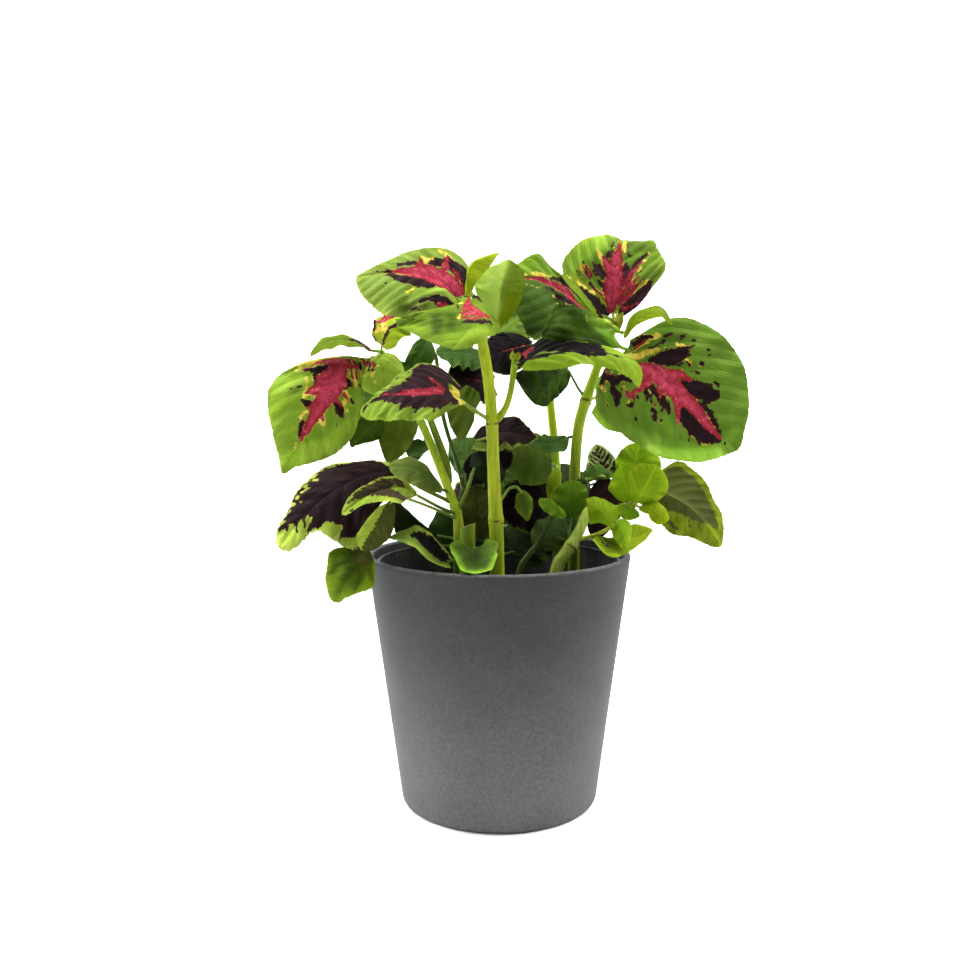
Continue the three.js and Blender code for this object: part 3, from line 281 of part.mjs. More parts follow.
// the blade as a closed slab of even thickness
function slab(rows, th) {
  const R = rows.length, C = rows[0].length, nrm = [];
  for (let i = 0; i < R; i++) for (let j = 0; j < C; j++) {
    const du = rows[Math.min(R - 1, i + 1)][j].clone().sub(rows[Math.max(0, i - 1)][j]);
    const dv = rows[i][Math.min(C - 1, j + 1)].clone().sub(rows[i][Math.max(0, j - 1)]);
    nrm.push(dv.cross(du).normalize());
  }
  const pos = [];
  for (const s of [0.5, -0.5]) for (let i = 0; i < R; i++) for (let j = 0; j < C; j++) {
    const p = rows[i][j].clone().addScaledVector(nrm[i * C + j], s * th);
    pos.push(p.x, p.y, p.z);
  }
  const o = R * C, idx = [], q = (a, b, c, d) => idx.push(a, b, c, a, c, d);
  for (let i = 0; i < R - 1; i++) for (let j = 0; j < C - 1; j++) {
    const a = i * C + j, b = a + 1, c = a + C + 1, d = a + C;
    q(a, b, c, d); q(o + a, o + d, o + c, o + b);
  }
  for (let j = 0; j < C - 1; j++) { q(j + 1, j, o + j, o + j + 1); const a = (R - 1) * C + j; q(a, a + 1, o + a + 1, o + a); }
  for (let i = 0; i < R - 1; i++) { const a = i * C; q(a, a + C, o + a + C, o + a); const b = i * C + C - 1; q(b + C, b, o + b, o + b + C); }
  return geometry(pos, idx);
}

function leafSolid(f) {
  const [, L] = bladeSurface(f, 4, 1);
  const nt = L > 42 ? 7 : L > 26 ? 5 : 4;
  const [rows] = bladeSurface(f, nt, 2);
  let m = toManifold(slab(rows, BLADE));
  const mid = rows[1][2];
  const [C] = smooth([V(f.b), ...f.m.map(V), V(f.t)], 40);
  const path = [C[4], V(f.b), ...f.pet.map(V)];
  const R = path.map((_, i) => i === 0 ? 0.55 : PETIOLE_R);
  m = m.add(toManifold(tube(path, R, path.length, 4)));
  return m;
}

// ---- assemble --------------------------------------------------------------------
const group = new THREE.Group();
group.name = 'coleus_in_pot';
const addMesh = (name, g, material) => {
  g.computeVertexNormals();
  const mesh = new THREE.Mesh(g, material);
  mesh.name = name;
  group.add(mesh);
};

const potR = (z) => POT_R_BASE + (POT_R_TOP - POT_R_BASE) * z / POT_H;
const lathe = (pts, seg) => new THREE.LatheGeometry(pts.map((p) => new THREE.Vector2(p[0], p[1])), seg).rotateX(Math.PI / 2);

// cover pot: flat foot, straight taper, rounded lip
{
  const rl = POT_WALL / 2, zc = POT_H - rl, rc = potR(zc) - rl, pts = [];
  pts.push([0, 0], [POT_R_BASE - 2.2, 0], [POT_R_BASE - 0.6, 0.5], [potR(2.2), 2.2]);
  pts.push([potR(60), 60]);
  for (let k = 0; k <= 4; k++) { const a = Math.PI * k / 4; pts.push([rc + rl * Math.cos(a), zc + rl * Math.sin(a)]); }
  pts.push([potR(60) - POT_WALL, 60], [potR(POT_FLOOR) - POT_WALL - 0.5, POT_FLOOR + 1.2], [potR(POT_FLOOR) - POT_WALL - 2, POT_FLOOR], [0, POT_FLOOR]);
  addMesh('pot', fromManifold(toManifold(lathe(pts, POT_SEG))), M.pot);
}

// grow pot: thin walled, rolled rim, drainage holes in its floor
const growR = (z) => potR(z) - POT_WALL - 1.1;
{
  const z0 = POT_FLOOR + GAP, w = GROW_WALL;
  const pts = [[0, z0], [growR(z0) - 2.4, z0], [growR(z0 + 2) - 0.4, z0 + 2], [growR(GROW_TOP - 4), GROW_TOP - 4],
    [growR(GROW_TOP - 3.6) + 0.7, GROW_TOP - 3.6], [growR(GROW_TOP) + 0.7, GROW_TOP - 0.6], [growR(GROW_TOP) + 0.2, GROW_TOP],
    [growR(GROW_TOP) - w - 0.2, GROW_TOP], [growR(GROW_TOP - 1) - w, GROW_TOP - 1], [growR(z0 + 3) - w, z0 + 3], [growR(z0 + w) - w - 2, z0 + w], [0, z0 + w]];
  let m = toManifold(lathe(pts, GROW_SEG));
  for (let k = 0; k < 5; k++) {
    const a = 2 * Math.PI * k / 5 + 0.3;
    const hole = new THREE.CylinderGeometry(4.5, 4.5, 6, 12).rotateX(Math.PI / 2);
    hole.translate(26 * Math.cos(a), 26 * Math.sin(a), z0 + w / 2);
    m = m.subtract(toManifold(hole));
  }
  addMesh('grow_pot', fromManifold(m), M.grow);
}

// stems, and the leaves that are one with their stem or shoot
const nodes = {}, matOf = {};
for (const [name, s] of Object.entries(STEMS)) {
  const len = s.p.reduce((a, p, i) => i ? a + V(p).distanceTo(V(s.p[i - 1])) : 0, 0);
  const m = toManifold(tube(s.p.map(V), s.r, Math.max(2, Math.round(len / (name === 'stem_right' ? 9 : 14))), name === 'stem_low_thin' || len < 60 ? 6 : 7));
  if (name.endsWith('_branch')) { nodes[name.replace('_branch', '')].push(m); continue; }
  nodes[name] = [m];
  matOf[name] = name === 'cut_stump' ? M.stump : M.stem;
}
for (const f of LEAVES) {
  const m = leafSolid(f);
  if (nodes[f.n]) nodes[f.n].push(m); else { nodes[f.n] = [m]; matOf[f.n] = M[f.kind]; }
}

for (const [name, [c, h]] of Object.entries(BUDS)) {
  const g = new THREE.SphereGeometry(1, 7, 5).rotateX(Math.PI / 2);
  g.scale(h[0], h[1], h[2]).translate(c[0], c[1], c[2]);
  nodes[name].push(toManifold(g));
}

// soil: a low mound with a socket where each stem goes down into it
{
  const r = (z) => growR(z) - GROW_WALL - GAP, z0 = POT_FLOOR + GAP + GROW_WALL + GAP;
  const pts = [[0, z0], [r(z0) - 3, z0], [r(z0 + 3) - 0.4, z0 + 3], [r(SOIL_TOP - 3), SOIL_TOP - 3], [r(SOIL_TOP) - 9, SOIL_TOP - 0.8], [20, SOIL_TOP], [0, SOIL_TOP]];
  let m = toManifold(lathe(pts, 36));
  for (const s of Object.values(STEMS)) {
    const p = V(s.p[0]);
    if (p.z > SOIL_TOP) continue;
    const P = s.p.map(V);
    P.unshift(P[0].clone().lerp(P[1], -0.5 / P[0].distanceTo(P[1])));
    const R = s.r.map((v) => v + GAP + 0.2);
    R.unshift(R[0]);
    m = m.subtract(toManifold(tube(P.slice(0, 3), R.slice(0, 3), 4, 8)));
  }
  addMesh('potting_soil', fromManifold(m), M.soil);
}

for (const [name, list] of Object.entries(nodes)) {
  let m = list[0];
  for (const b of list.slice(1)) m = m.add(b);
  addMesh(name, fromManifold(m), matOf[name]);
}

export default group;
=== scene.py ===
import bpy
import math
import numpy as np
from mathutils import Matrix


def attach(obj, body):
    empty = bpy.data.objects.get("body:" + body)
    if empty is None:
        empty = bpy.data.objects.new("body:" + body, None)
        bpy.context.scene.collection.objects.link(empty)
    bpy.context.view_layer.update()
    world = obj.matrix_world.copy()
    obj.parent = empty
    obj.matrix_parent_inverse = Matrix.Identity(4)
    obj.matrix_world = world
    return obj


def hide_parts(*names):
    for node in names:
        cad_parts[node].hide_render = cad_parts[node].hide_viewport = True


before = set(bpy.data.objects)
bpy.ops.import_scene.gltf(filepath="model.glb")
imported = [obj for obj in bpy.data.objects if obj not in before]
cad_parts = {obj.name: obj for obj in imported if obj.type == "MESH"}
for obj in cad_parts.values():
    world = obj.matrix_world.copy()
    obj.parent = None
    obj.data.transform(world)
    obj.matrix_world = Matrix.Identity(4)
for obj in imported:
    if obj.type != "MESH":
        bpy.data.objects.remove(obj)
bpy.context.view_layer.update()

# ---- the camera, and the way back from a pixel of its frame to a leaf --------
# Lengths in millimetres; +Z up, +Y away from the viewer.
FOCAL = 980.4
EYE = np.array([0.0, -480.7, 203.4])
PITCH, YAW, ROLL = math.radians(5.82), math.radians(-0.5), math.radians(-0.18)
FWD = np.array([math.sin(YAW) * math.cos(PITCH), math.cos(YAW) * math.cos(PITCH), -math.sin(PITCH)])
_R0 = np.array([math.cos(YAW), -math.sin(YAW), 0.0])
_U0 = np.cross(_R0, FWD)
RIGHT = math.cos(ROLL) * _R0 + math.sin(ROLL) * _U0
UP = -math.sin(ROLL) * _R0 + math.cos(ROLL) * _U0


def proj(P):
    d = np.asarray(P, float) - EYE
    z = d @ FWD
    return np.stack([490 + FOCAL * (d @ RIGHT) / z, 490 - FOCAL * (d @ UP) / z, z], -1)


# ---- the plant: stems, leaves and buds, the same numbers as the CAD ----------
STEMS = {
    'stem_front': {"p": [[-0.39, -24.0, 90.0], [-0.78, -26.0, 124.0], [-1.2, -27.0, 143.08], [-2.3, -29.0, 166.64], [-2.91, -31.0, 188.4], [-4.21, -33.0, 205.69], [-6.38, -36.0, 220.43], [-8.98, -38.5, 232.27], [-10.7, -39.5, 240.11]], "r": [3.6, 3.55, 3.5, 3.0, 2.9, 2.7, 2.6, 2.3, 1.9]},
    'stem_front_branch': {"p": [[-0.62, -31.6, 190.01], [3.05, -31.0, 194.77], [5.35, -30.0, 201.58], [6.52, -29.0, 207.95], [7.68, -28.0, 216.61]], "r": [2.0, 1.6, 1.5, 1.5, 1.6]},
    'stem_left': {"p": [[-19.25, -16.0, 90.0], [-19.01, -16.0, 128.11], [-19.63, -16.0, 143.58], [-23.18, -15.0, 154.05], [-28.92, -13.0, 169.25], [-34.67, -11.0, 183.04], [-40.93, -9.0, 196.39], [-49.0, -8.0, 211.2], [-56.17, -7.0, 221.71]], "r": [2.9, 2.9, 2.5, 2.25, 2.15, 2.1, 2.1, 2.0, 1.8]},
    'stem_left_branch': {"p": [[-23.96, -13.5, 156.79], [-24.0, -11.8, 162.41], [-25.0, -10.2, 168.07], [-27.18, -9.2, 174.52], [-29.33, -8.6, 180.03], [-31.71, -8.2, 186.52], [-33.87, -7.6, 192.27], [-35.32, -7.0, 196.34]], "r": [1.5, 1.9, 2.0, 1.95, 1.9, 1.8, 1.6, 1.2]},
    'stem_left_thin': {"p": [[-13.39, 0.0, 90.0], [-14.18, 0.0, 129.52], [-17.01, 0.0, 154.43], [-20.37, 0.0, 168.27], [-23.74, 0.0, 178.61], [-27.13, 1.0, 191.31], [-28.66, 4.0, 205.96], [-30.63, 6.0, 219.68]], "r": [1.9, 1.8, 1.5, 1.3, 1.1, 1.1, 1.0, 1.0]},
    'stem_right': {"p": [[37.95, 12.0, 90.0], [38.09, 10.0, 127.89], [38.07, 8.0, 158.01], [38.84, 7.0, 176.09], [40.42, 6.0, 188.52], [43.23, 5.0, 198.38], [47.46, 4.0, 211.08], [52.13, 3.0, 225.11], [55.38, 2.0, 230.83], [57.53, -2.0, 234.41]], "r": [3.1, 3.0, 2.9, 2.8, 2.8, 2.8, 2.3, 2.1, 1.8, 1.6]},
    'stem_back_right': {"p": [[31.13, 26.0, 90.0], [30.37, 25.0, 136.1], [29.63, 23.0, 163.37], [28.44, 21.0, 177.89], [26.49, 19.0, 195.76], [24.52, 16.0, 210.85], [22.3, 12.0, 223.16]], "r": [2.6, 2.5, 2.4, 2.3, 2.2, 1.9, 1.6]},
    'stem_low_right': {"p": [[23.93, -22.0, 90.0], [27.64, -22.0, 118.46], [31.43, -21.5, 125.56], [35.73, -20.5, 132.1], [39.6, -19.0, 139.54], [42.58, -17.0, 145.98], [48.68, -13.0, 147.89], [55.52, -12.0, 146.79], [61.28, -12.0, 147.26]], "r": [3.4, 3.4, 3.3, 2.9, 2.5, 2.2, 1.8, 1.4, 1.2]},
    'stem_low_thin': {"p": [[4.94, -14.0, 90.0], [9.8, -14.0, 115.54], [14.16, -13.0, 123.66], [18.53, -12.0, 128.86], [23.29, -13.0, 137.28], [27.17, -12.0, 144.42]], "r": [1.5, 1.5, 1.5, 1.4, 1.2, 1.0]},
    'cut_stump': {"p": [[-14.67, -31.0, 90.0], [-14.39, -31.0, 141.77]], "r": [3.8, 3.8]},
    'stem_back': {"p": [[-0.41, 26.0, 90.0], [-1.33, 30.0, 146.07], [-2.84, 32.0, 172.18], [-4.34, 34.0, 198.23], [-6.37, 37.0, 226.85]], "r": [2.7, 2.5, 2.3, 2.1, 1.7]},
}

# b base, m midrib, t tip, l and r margins at share tw, curl of both halves in
# degrees, wave, p outline, pl and pr half widths, pet petiole, at its stem.
LEAVES = [
    {"id": "leaf_A", "n": "leaf_top_left", "on": "stem_front", "b": [-18.29, -38.0, 244.22], "m": [[-24.47, -38.0, 250.81], [-37.05, -36.0, 255.03], [-50.78, -33.0, 255.88]], "t": [-64.57, -28.0, 254.73], "l": [-46.06, -46.0, 235.82], "r": [-34.11, -26.0, 268.25], "tw": 0.45, "curl": [-38, -12], "wave": [1.6, 2.5, 0], "p": "rd", "pet": [[-12.39, -39.17, 241.03]], "sw": 0.07, "lb": 0.06, "kind": "top", "at": [-10.7, -39.5, 240.11], "pl": [0.087, 0.676, 0.97, 0.998, 0.989, 0.989, 0.998, 1.027, 1.045, 1.064, 1.027, 0.941, 0.846, 0.751, 0.657, 0.552, 0.41, 0.228, 0.03], "pr": [0.372, 0.628, 0.913, 1.102, 1.159, 1.102, 0.96, 0.846, 0.78, 0.789, 0.77, 0.657, 0.505, 0.344, 0.239, 0.192, 0.163, 0.095, 0.03]},
    {"id": "leaf_B1", "n": "leaf_young_narrow", "on": "stem_front", "b": [-14.11, -43.0, 244.18], "m": [[-13.57, -45.0, 251.31], [-10.52, -43.0, 259.28]], "t": [0.9, -38.0, 264.22], "l": [-14.91, -44.0, 252.72], "r": [-7.5, -42.0, 252.05], "tw": 0.45, "curl": [10, 10], "wave": [0, 3, 0], "p": "el", "pet": [[-11.4, -40.22, 240.94]], "sw": 0.07, "lb": 0.06, "kind": "young", "at": [-10.7, -39.5, 240.11], "pl": [0.217, 0.523, 0.691, 0.509, 0.363, 0.479, 0.843, 0.976, 0.989, 0.955, 0.986, 1.275, 1.283, 1.145, 0.985, 0.798, 0.584, 0.332, 0.02], "pr": [0.12, 0.379, 0.533, 0.695, 0.837, 0.941, 1.027, 1.064, 1.036, 0.989, 0.932, 0.846, 0.751, 0.647, 0.514, 0.363, 0.208, 0.112, 0.02]},
    {"id": "leaf_B2", "n": "leaf_young_folded", "on": "stem_front", "b": [-0.5, -41.0, 232.08], "m": [[1.27, -46.0, 241.25], [2.16, -46.0, 249.42]], "t": [4.9, -36.0, 261.42], "l": [12.92, -36.0, 248.24], "r": [-11.6, -37.0, 249.99], "tw": 0.5, "curl": [-15, -20], "wave": [0, 3, 0], "p": "rd", "pet": [[-6.24, -42.0, 234.22], [-7.03, -41.37, 234.7]], "sw": 0.07, "lb": 0.06, "kind": "under", "at": [-9.89, -39.09, 236.43], "pl": [0.12, 0.464, 0.647, 0.742, 0.789, 0.808, 0.837, 0.846, 0.846, 0.837, 0.808, 0.789, 0.751, 0.713, 0.695, 0.657, 0.584, 0.39, 0.03], "pr": [0.12, 0.341, 0.59, 0.77, 0.846, 0.884, 0.894, 0.894, 0.903, 0.932, 0.941, 0.932, 0.903, 0.884, 0.799, 0.552, 0.274, 0.124, 0.03]},
    {"id": "leaf_B3", "n": "leaf_top_front", "on": "stem_front", "b": [-11.8, -47.0, 243.79], "m": [[-10.28, -57.0, 238.24], [-10.77, -72.0, 230.5]], "t": [-18.43, -86.0, 219.75], "l": [2.88, -64.0, 231.81], "r": [-41.27, -68.0, 230.88], "tw": 0.45, "curl": [-45, -15], "wave": [2.2, 3, 1], "p": "rd", "pet": [[-10.99, -41.49, 241.09]], "sw": 0.07, "lb": 0.06, "kind": "top", "at": [-10.7, -39.5, 240.11], "pl": [0.12, 0.475, 0.357, 0.41, 0.524, 0.514, 0.486, 0.6, 0.856, 0.818, 0.732, 0.751, 0.77, 0.685, 0.524, 0.391, 0.306, 0.18, 0.03], "pr": [0.12, 0.14, 0.366, 0.715, 0.77, 0.78, 0.998, 1.036, 0.998, 0.998, 1.027, 1.036, 1.027, 0.989, 0.94, 0.858, 0.675, 0.405, 0.03]},
    {"id": "leaf_C", "n": "leaf_top_middle", "on": "stem_right", "b": [52.78, -8.0, 233.1], "m": [[47.89, -9.0, 236.8], [41.17, -9.5, 241.94], [30.69, -10.0, 249.4], [19.68, -13.0, 254.23]], "t": [4.19, -15.0, 257.29], "l": [26.35, -29.0, 226.91], "r": [20.52, -4.0, 266.94], "tw": 0.48, "curl": [-35, -10], "wave": [1.6, 4, 0], "p": "rd", "pet": [[54.82, -2.8, 232.61]], "sw": 0.07, "lb": 0.16, "kind": "top", "at": [56.23, 0.79, 232.27], "pl": [0.277, 0.495, 0.647, 0.811, 0.994, 1.136, 1.25, 1.278, 1.278, 1.288, 1.307, 1.278, 1.2, 1.145, 1.05, 0.882, 0.675, 0.405, 0.03], "pr": [0.12, 0.36, 0.306, 0.239, 0.249, 0.353, 0.533, 0.619, 0.581, 0.609, 0.818, 1.099, 1.247, 1.192, 1.054, 0.858, 0.57, 0.285, 0.03]},
    {"id": "leaf_D", "n": "leaf_top_right", "on": "stem_right", "b": [56.12, 5.0, 240.66], "m": [[56.04, 5.0, 249.33], [57.12, 7.0, 262.5], [60.05, 12.0, 274.22], [61.75, 18.0, 277.52]], "t": [63.52, 28.0, 276.51], "l": [29.84, 0.0, 262.71], "r": [80.81, 0.0, 261.55], "tw": 0.48, "curl": [14, 14], "wave": [1.5, 2, 2], "p": "rd", "pet": [[56.38, 1.66, 235.07]], "sw": 0.07, "lb": 0.06, "kind": "top", "at": [56.5, 0.24, 232.71], "pl": [0.12, 0.331, 0.552, 0.751, 0.913, 0.979, 0.97, 0.894, 0.799, 0.695, 0.571, 0.457, 0.344, 0.287, 0.277, 0.287, 0.334, 0.323, 0.03], "pr": [0.12, 0.464, 0.647, 0.761, 0.884, 0.97, 0.989, 0.979, 0.941, 0.894, 0.837, 0.761, 0.695, 0.628, 0.619, 0.647, 0.613, 0.4, 0.03]},
    {"id": "leaf_D2", "n": "leaf_young_right", "on": "stem_right", "b": [48.62, -15.5, 238.19], "m": [[44.69, -17.0, 243.15], [38.13, -17.0, 250.06]], "t": [30.32, -15.0, 257.64], "l": [39.21, -21.0, 245.1], "r": [44.93, -14.0, 250.33], "tw": 0.45, "curl": [15, 15], "wave": [0, 3, 0], "p": "rd", "pet": [[51.29, -12.5, 237.24], [53.84, -8.8, 236.56], [54.49, -7.61, 236.19]], "sw": 0.07, "lb": 0.06, "kind": "plain", "at": [57.53, -2.0, 234.41], "pl": [0.182, 0.924, 1.27, 1.405, 1.436, 1.377, 1.33, 1.311, 1.273, 1.235, 1.216, 1.169, 1.083, 0.998, 0.922, 0.799, 0.641, 0.4, 0.03], "pr": [0.45, 0.89, 1.017, 0.998, 0.979, 0.941, 0.894, 0.846, 0.808, 0.789, 0.761, 0.751, 0.742, 0.713, 0.695, 0.647, 0.556, 0.381, 0.03]},
    {"id": "leaf_E", "n": "leaf_arched_right", "on": "stem_right", "b": [60.6, -6.5, 230.8], "m": [[63.26, -11.0, 237.07], [69.37, -14.0, 241.0], [76.39, -14.0, 240.97]], "t": [82.31, -13.0, 233.6], "l": [71.98, -9.0, 243.27], "r": [71.29, -20.0, 237.76], "tw": 0.5, "curl": [-40, -40], "wave": [0, 3, 0], "p": "rd", "pet": [[59.13, -3.0, 231.01], [58.83, -2.6, 231.08]], "sw": 0.07, "lb": 0.06, "kind": "young", "at": [55.94, 1.29, 231.8], "pl": [0.45, 0.977, 1.183, 0.945, 0.581, 0.467, 0.344, 0.23, 0.154, 0.154, 0.346, 0.758, 0.855, 0.888, 0.984, 0.882, 0.675, 0.405, 0.03], "pr": [0.45, 0.977, 1.27, 1.413, 1.49, 1.526, 1.543, 1.542, 1.529, 1.498, 1.456, 1.395, 1.302, 1.192, 1.054, 0.882, 0.675, 0.405, 0.03]},
    {"id": "leaf_F", "n": "leaf_large_right", "on": "stem_right", "b": [61.45, -8.0, 222.69], "m": [[71.6, -14.0, 214.46], [89.39, -21.0, 196.64], [103.91, -24.0, 181.83]], "t": [111.93, -24.0, 175.76], "l": [107.04, -12.0, 229.85], "r": [57.04, -20.0, 183.64], "tw": 0.42, "curl": [-14, -14], "wave": [1.5, 4, 0], "p": "rd", "pet": [[57.87, -6.0, 224.21], [55.85, -0.29, 228.25]], "sw": 0.07, "lb": 0.03, "kind": "top", "at": [54.92, 2.34, 230.11], "pl": [0.12, 0.578, 0.789, 0.884, 0.932, 0.941, 0.941, 0.941, 0.932, 0.894, 0.846, 0.799, 0.742, 0.657, 0.562, 0.467, 0.363, 0.218, 0.03], "pr": [0.45, 0.881, 0.998, 1.027, 1.027, 0.998, 0.989, 0.979, 0.951, 0.932, 0.894, 0.846, 0.789, 0.704, 0.609, 0.495, 0.315, 0.123, 0.03]},
    {"id": "leaf_G", "n": "leaf_middle_right", "on": "stem_front_branch", "b": [11.62, -35.0, 216.39], "m": [[20.94, -38.0, 218.49], [36.49, -39.0, 219.73], [50.77, -39.0, 217.91], [59.61, -40.0, 212.99]], "t": [62.54, -42.0, 204.55], "l": [35.78, -19.0, 227.86], "r": [34.43, -54.0, 212.33], "tw": 0.45, "curl": [10, -95], "wave": [1.0, 3, 0], "p": "rd", "pet": [[8.81, -30.59, 214.86]], "sw": 0.07, "lb": 0.06, "kind": "top", "at": [7.35, -28.29, 214.06], "pl": [0.5, 1.12, 1.217, 1.188, 1.04, 0.879, 0.669, 0.509, 0.497, 0.595, 0.694, 0.669, 0.484, 0.336, 0.361, 0.41, 0.287, 0.124, 0.03], "pr": [0.12, 0.698, 0.855, 0.904, 0.966, 1.003, 0.953, 0.842, 0.744, 0.744, 0.842, 0.953, 1.003, 0.941, 0.793, 0.645, 0.46, 0.235, 0.03]},
    {"id": "leaf_G2", "n": "leaf_dark_centre", "on": "stem_back_right", "b": [16.28, -4.0, 225.39], "m": [[6.59, -8.0, 222.88]], "t": [-7.24, -10.0, 219.07], "l": [4.58, -17.0, 209.95], "r": [4.79, 2.0, 231.5], "tw": 0.45, "curl": [-8, -8], "wave": [1.5, 3, 0], "p": "rd", "pet": [[21.33, 9.42, 223.52]], "sw": 0.07, "lb": 0.06, "kind": "dark", "at": [22.3, 12.0, 223.16], "pl": [0.12, 0.322, 0.495, 0.6, 0.666, 0.751, 0.846, 0.932, 0.97, 0.941, 0.903, 0.903, 0.941, 0.96, 0.894, 0.795, 0.657, 0.405, 0.03], "pr": [0.12, 0.606, 0.922, 1.083, 1.074, 0.998, 0.97, 1.045, 1.159, 1.197, 1.121, 0.998, 0.913, 0.875, 0.789, 0.628, 0.372, 0.133, 0.03]},
    {"id": "leaf_W", "n": "leaf_underside_centre", "on": "stem_right", "b": [34.08, 2.0, 212.55], "m": [[26.49, -3.0, 208.63]], "t": [17.13, -8.0, 196.68], "l": [7.51, -10.0, 209.56], "r": [29.97, -2.0, 200.43], "tw": 0.42, "curl": [-14, -14], "wave": [1.4, 3, 0], "p": "rd", "pet": [[39.17, 4.0, 204.28], [40.2, 4.24, 202.89]], "sw": 0.07, "lb": 0.06, "kind": "under", "at": [43.32, 4.97, 198.67], "pl": [0.12, 0.189, 0.268, 0.325, 0.381, 0.467, 0.562, 0.666, 0.789, 0.894, 0.979, 1.036, 1.083, 1.107, 1.04, 0.882, 0.675, 0.405, 0.03], "pr": [0.12, 0.578, 0.789, 0.894, 0.97, 0.989, 0.989, 0.97, 0.913, 0.884, 0.856, 0.837, 0.799, 0.751, 0.704, 0.666, 0.549, 0.209, 0.03]},
    {"id": "leaf_H", "n": "leaf_large_left", "on": "stem_left", "b": [-61.14, -10.0, 216.42], "m": [[-69.64, -14.0, 214.46], [-78.48, -19.0, 203.67], [-87.33, -21.0, 189.71], [-94.39, -20.0, 177.48]], "t": [-102.67, -16.0, 163.92], "l": [-62.88, -14.0, 193.22], "r": [-108.19, -14.0, 208.47], "tw": 0.44, "curl": [-20, -30], "wave": [1.2, 4, 0], "p": "rd", "pet": [[-57.79, -8.17, 219.36]], "sw": 0.07, "lb": 0.06, "kind": "top", "at": [-55.77, -7.06, 221.14], "pl": [0.12, 0.606, 0.78, 0.818, 0.884, 0.941, 0.989, 1.027, 1.036, 1.027, 0.989, 0.932, 0.837, 0.695, 0.514, 0.325, 0.163, 0.085, 0.03], "pr": [0.12, 0.122, 0.258, 0.495, 0.685, 0.799, 0.884, 0.932, 0.941, 0.922, 0.856, 0.78, 0.657, 0.524, 0.419, 0.315, 0.192, 0.095, 0.03]},
    {"id": "leaf_I", "n": "leaf_middle_left", "on": "stem_front", "b": [-17.03, -43.0, 199.93], "m": [[-24.79, -47.0, 202.18], [-40.28, -51.0, 202.24], [-51.68, -51.0, 199.67]], "t": [-60.95, -48.0, 193.53], "l": [-37.87, -60.0, 189.89], "r": [-33.88, -30.0, 215.33], "tw": 0.45, "curl": [-22, -18], "wave": [1.6, 4, 0], "p": "rd", "pet": [[-11.8, -40.0, 194.98], [-6.16, -34.31, 191.26]], "sw": 0.07, "lb": 0.06, "kind": "mid", "at": [-2.95, -31.08, 189.14], "pl": [0.12, 0.379, 0.628, 0.799, 0.932, 1.017, 1.017, 0.941, 0.875, 0.903, 0.951, 0.884, 0.77, 0.713, 0.685, 0.6, 0.457, 0.266, 0.03], "pr": [0.45, 0.9, 1.064, 1.064, 0.989, 0.913, 0.884, 0.818, 0.666, 0.533, 0.476, 0.438, 0.315, 0.173, 0.144, 0.173, 0.163, 0.095, 0.03]},
    {"id": "leaf_I2", "n": "leaf_behind_middle_left", "on": "stem_front", "b": [-10.21, -31.0, 194.35], "m": [[-14.39, -29.0, 194.78]], "t": [-22.33, -26.0, 197.97], "l": [-17.97, -33.0, 184.41], "r": [-12.18, -24.0, 204.38], "tw": 0.42, "curl": [-10, -10], "wave": [1, 3, 0], "p": "rd", "pet": [[-7.53, -31.0, 192.16]], "sw": 0.07, "lb": 0.06, "kind": "under", "at": [-2.91, -31.0, 188.39], "pl": [0.45, 0.977, 1.25, 1.306, 1.273, 1.216, 1.131, 1.045, 0.989, 0.941, 0.884, 0.799, 0.713, 0.647, 0.571, 0.514, 0.448, 0.294, 0.03], "pr": [0.45, 0.786, 0.932, 0.979, 0.989, 0.989, 0.989, 0.998, 1.027, 1.036, 1.036, 1.027, 0.998, 0.998, 0.997, 0.877, 0.675, 0.405, 0.03]},
    {"id": "leaf_J", "n": "leaf_arched_left", "on": "stem_left", "b": [-61.16, -9.0, 223.07], "m": [[-67.36, -12.0, 226.26], [-76.81, -15.0, 227.08], [-84.06, -17.0, 223.75]], "t": [-88.19, -18.0, 219.55], "l": [-76.48, -23.0, 223.47], "r": [-76.33, -9.0, 229.74], "tw": 0.5, "curl": [-35, -20], "wave": [0.6, 3, 0], "p": "el", "pet": [[-57.7, -7.61, 222.13]], "sw": 0.07, "lb": 0.06, "kind": "mid2", "at": [-56.17, -7.0, 221.71]},
    {"id": "leaf_JJ", "n": "leaf_hanging_high_left", "on": "stem_left", "b": [-56.31, -14.0, 219.57], "m": [[-54.15, -17.0, 213.87]], "t": [-53.87, -17.0, 200.31], "l": [-44.56, -14.0, 213.91], "r": [-62.89, -19.0, 209.21], "tw": 0.42, "curl": [-15, -15], "wave": [1, 3, 0], "p": "rd", "pet": [[-56.23, -10.04, 220.79]], "sw": 0.07, "lb": 0.06, "kind": "plain", "at": [-56.17, -7.0, 221.71], "pl": [0.45, 0.701, 0.799, 0.856, 0.932, 0.979, 0.989, 0.998, 1.017, 0.989, 0.941, 0.894, 0.837, 0.742, 0.609, 0.476, 0.353, 0.19, 0.03], "pr": [0.372, 0.6, 0.78, 0.884, 0.941, 0.979, 0.998, 1.027, 1.036, 1.045, 1.074, 1.093, 1.121, 1.117, 1.04, 0.882, 0.675, 0.405, 0.03]},
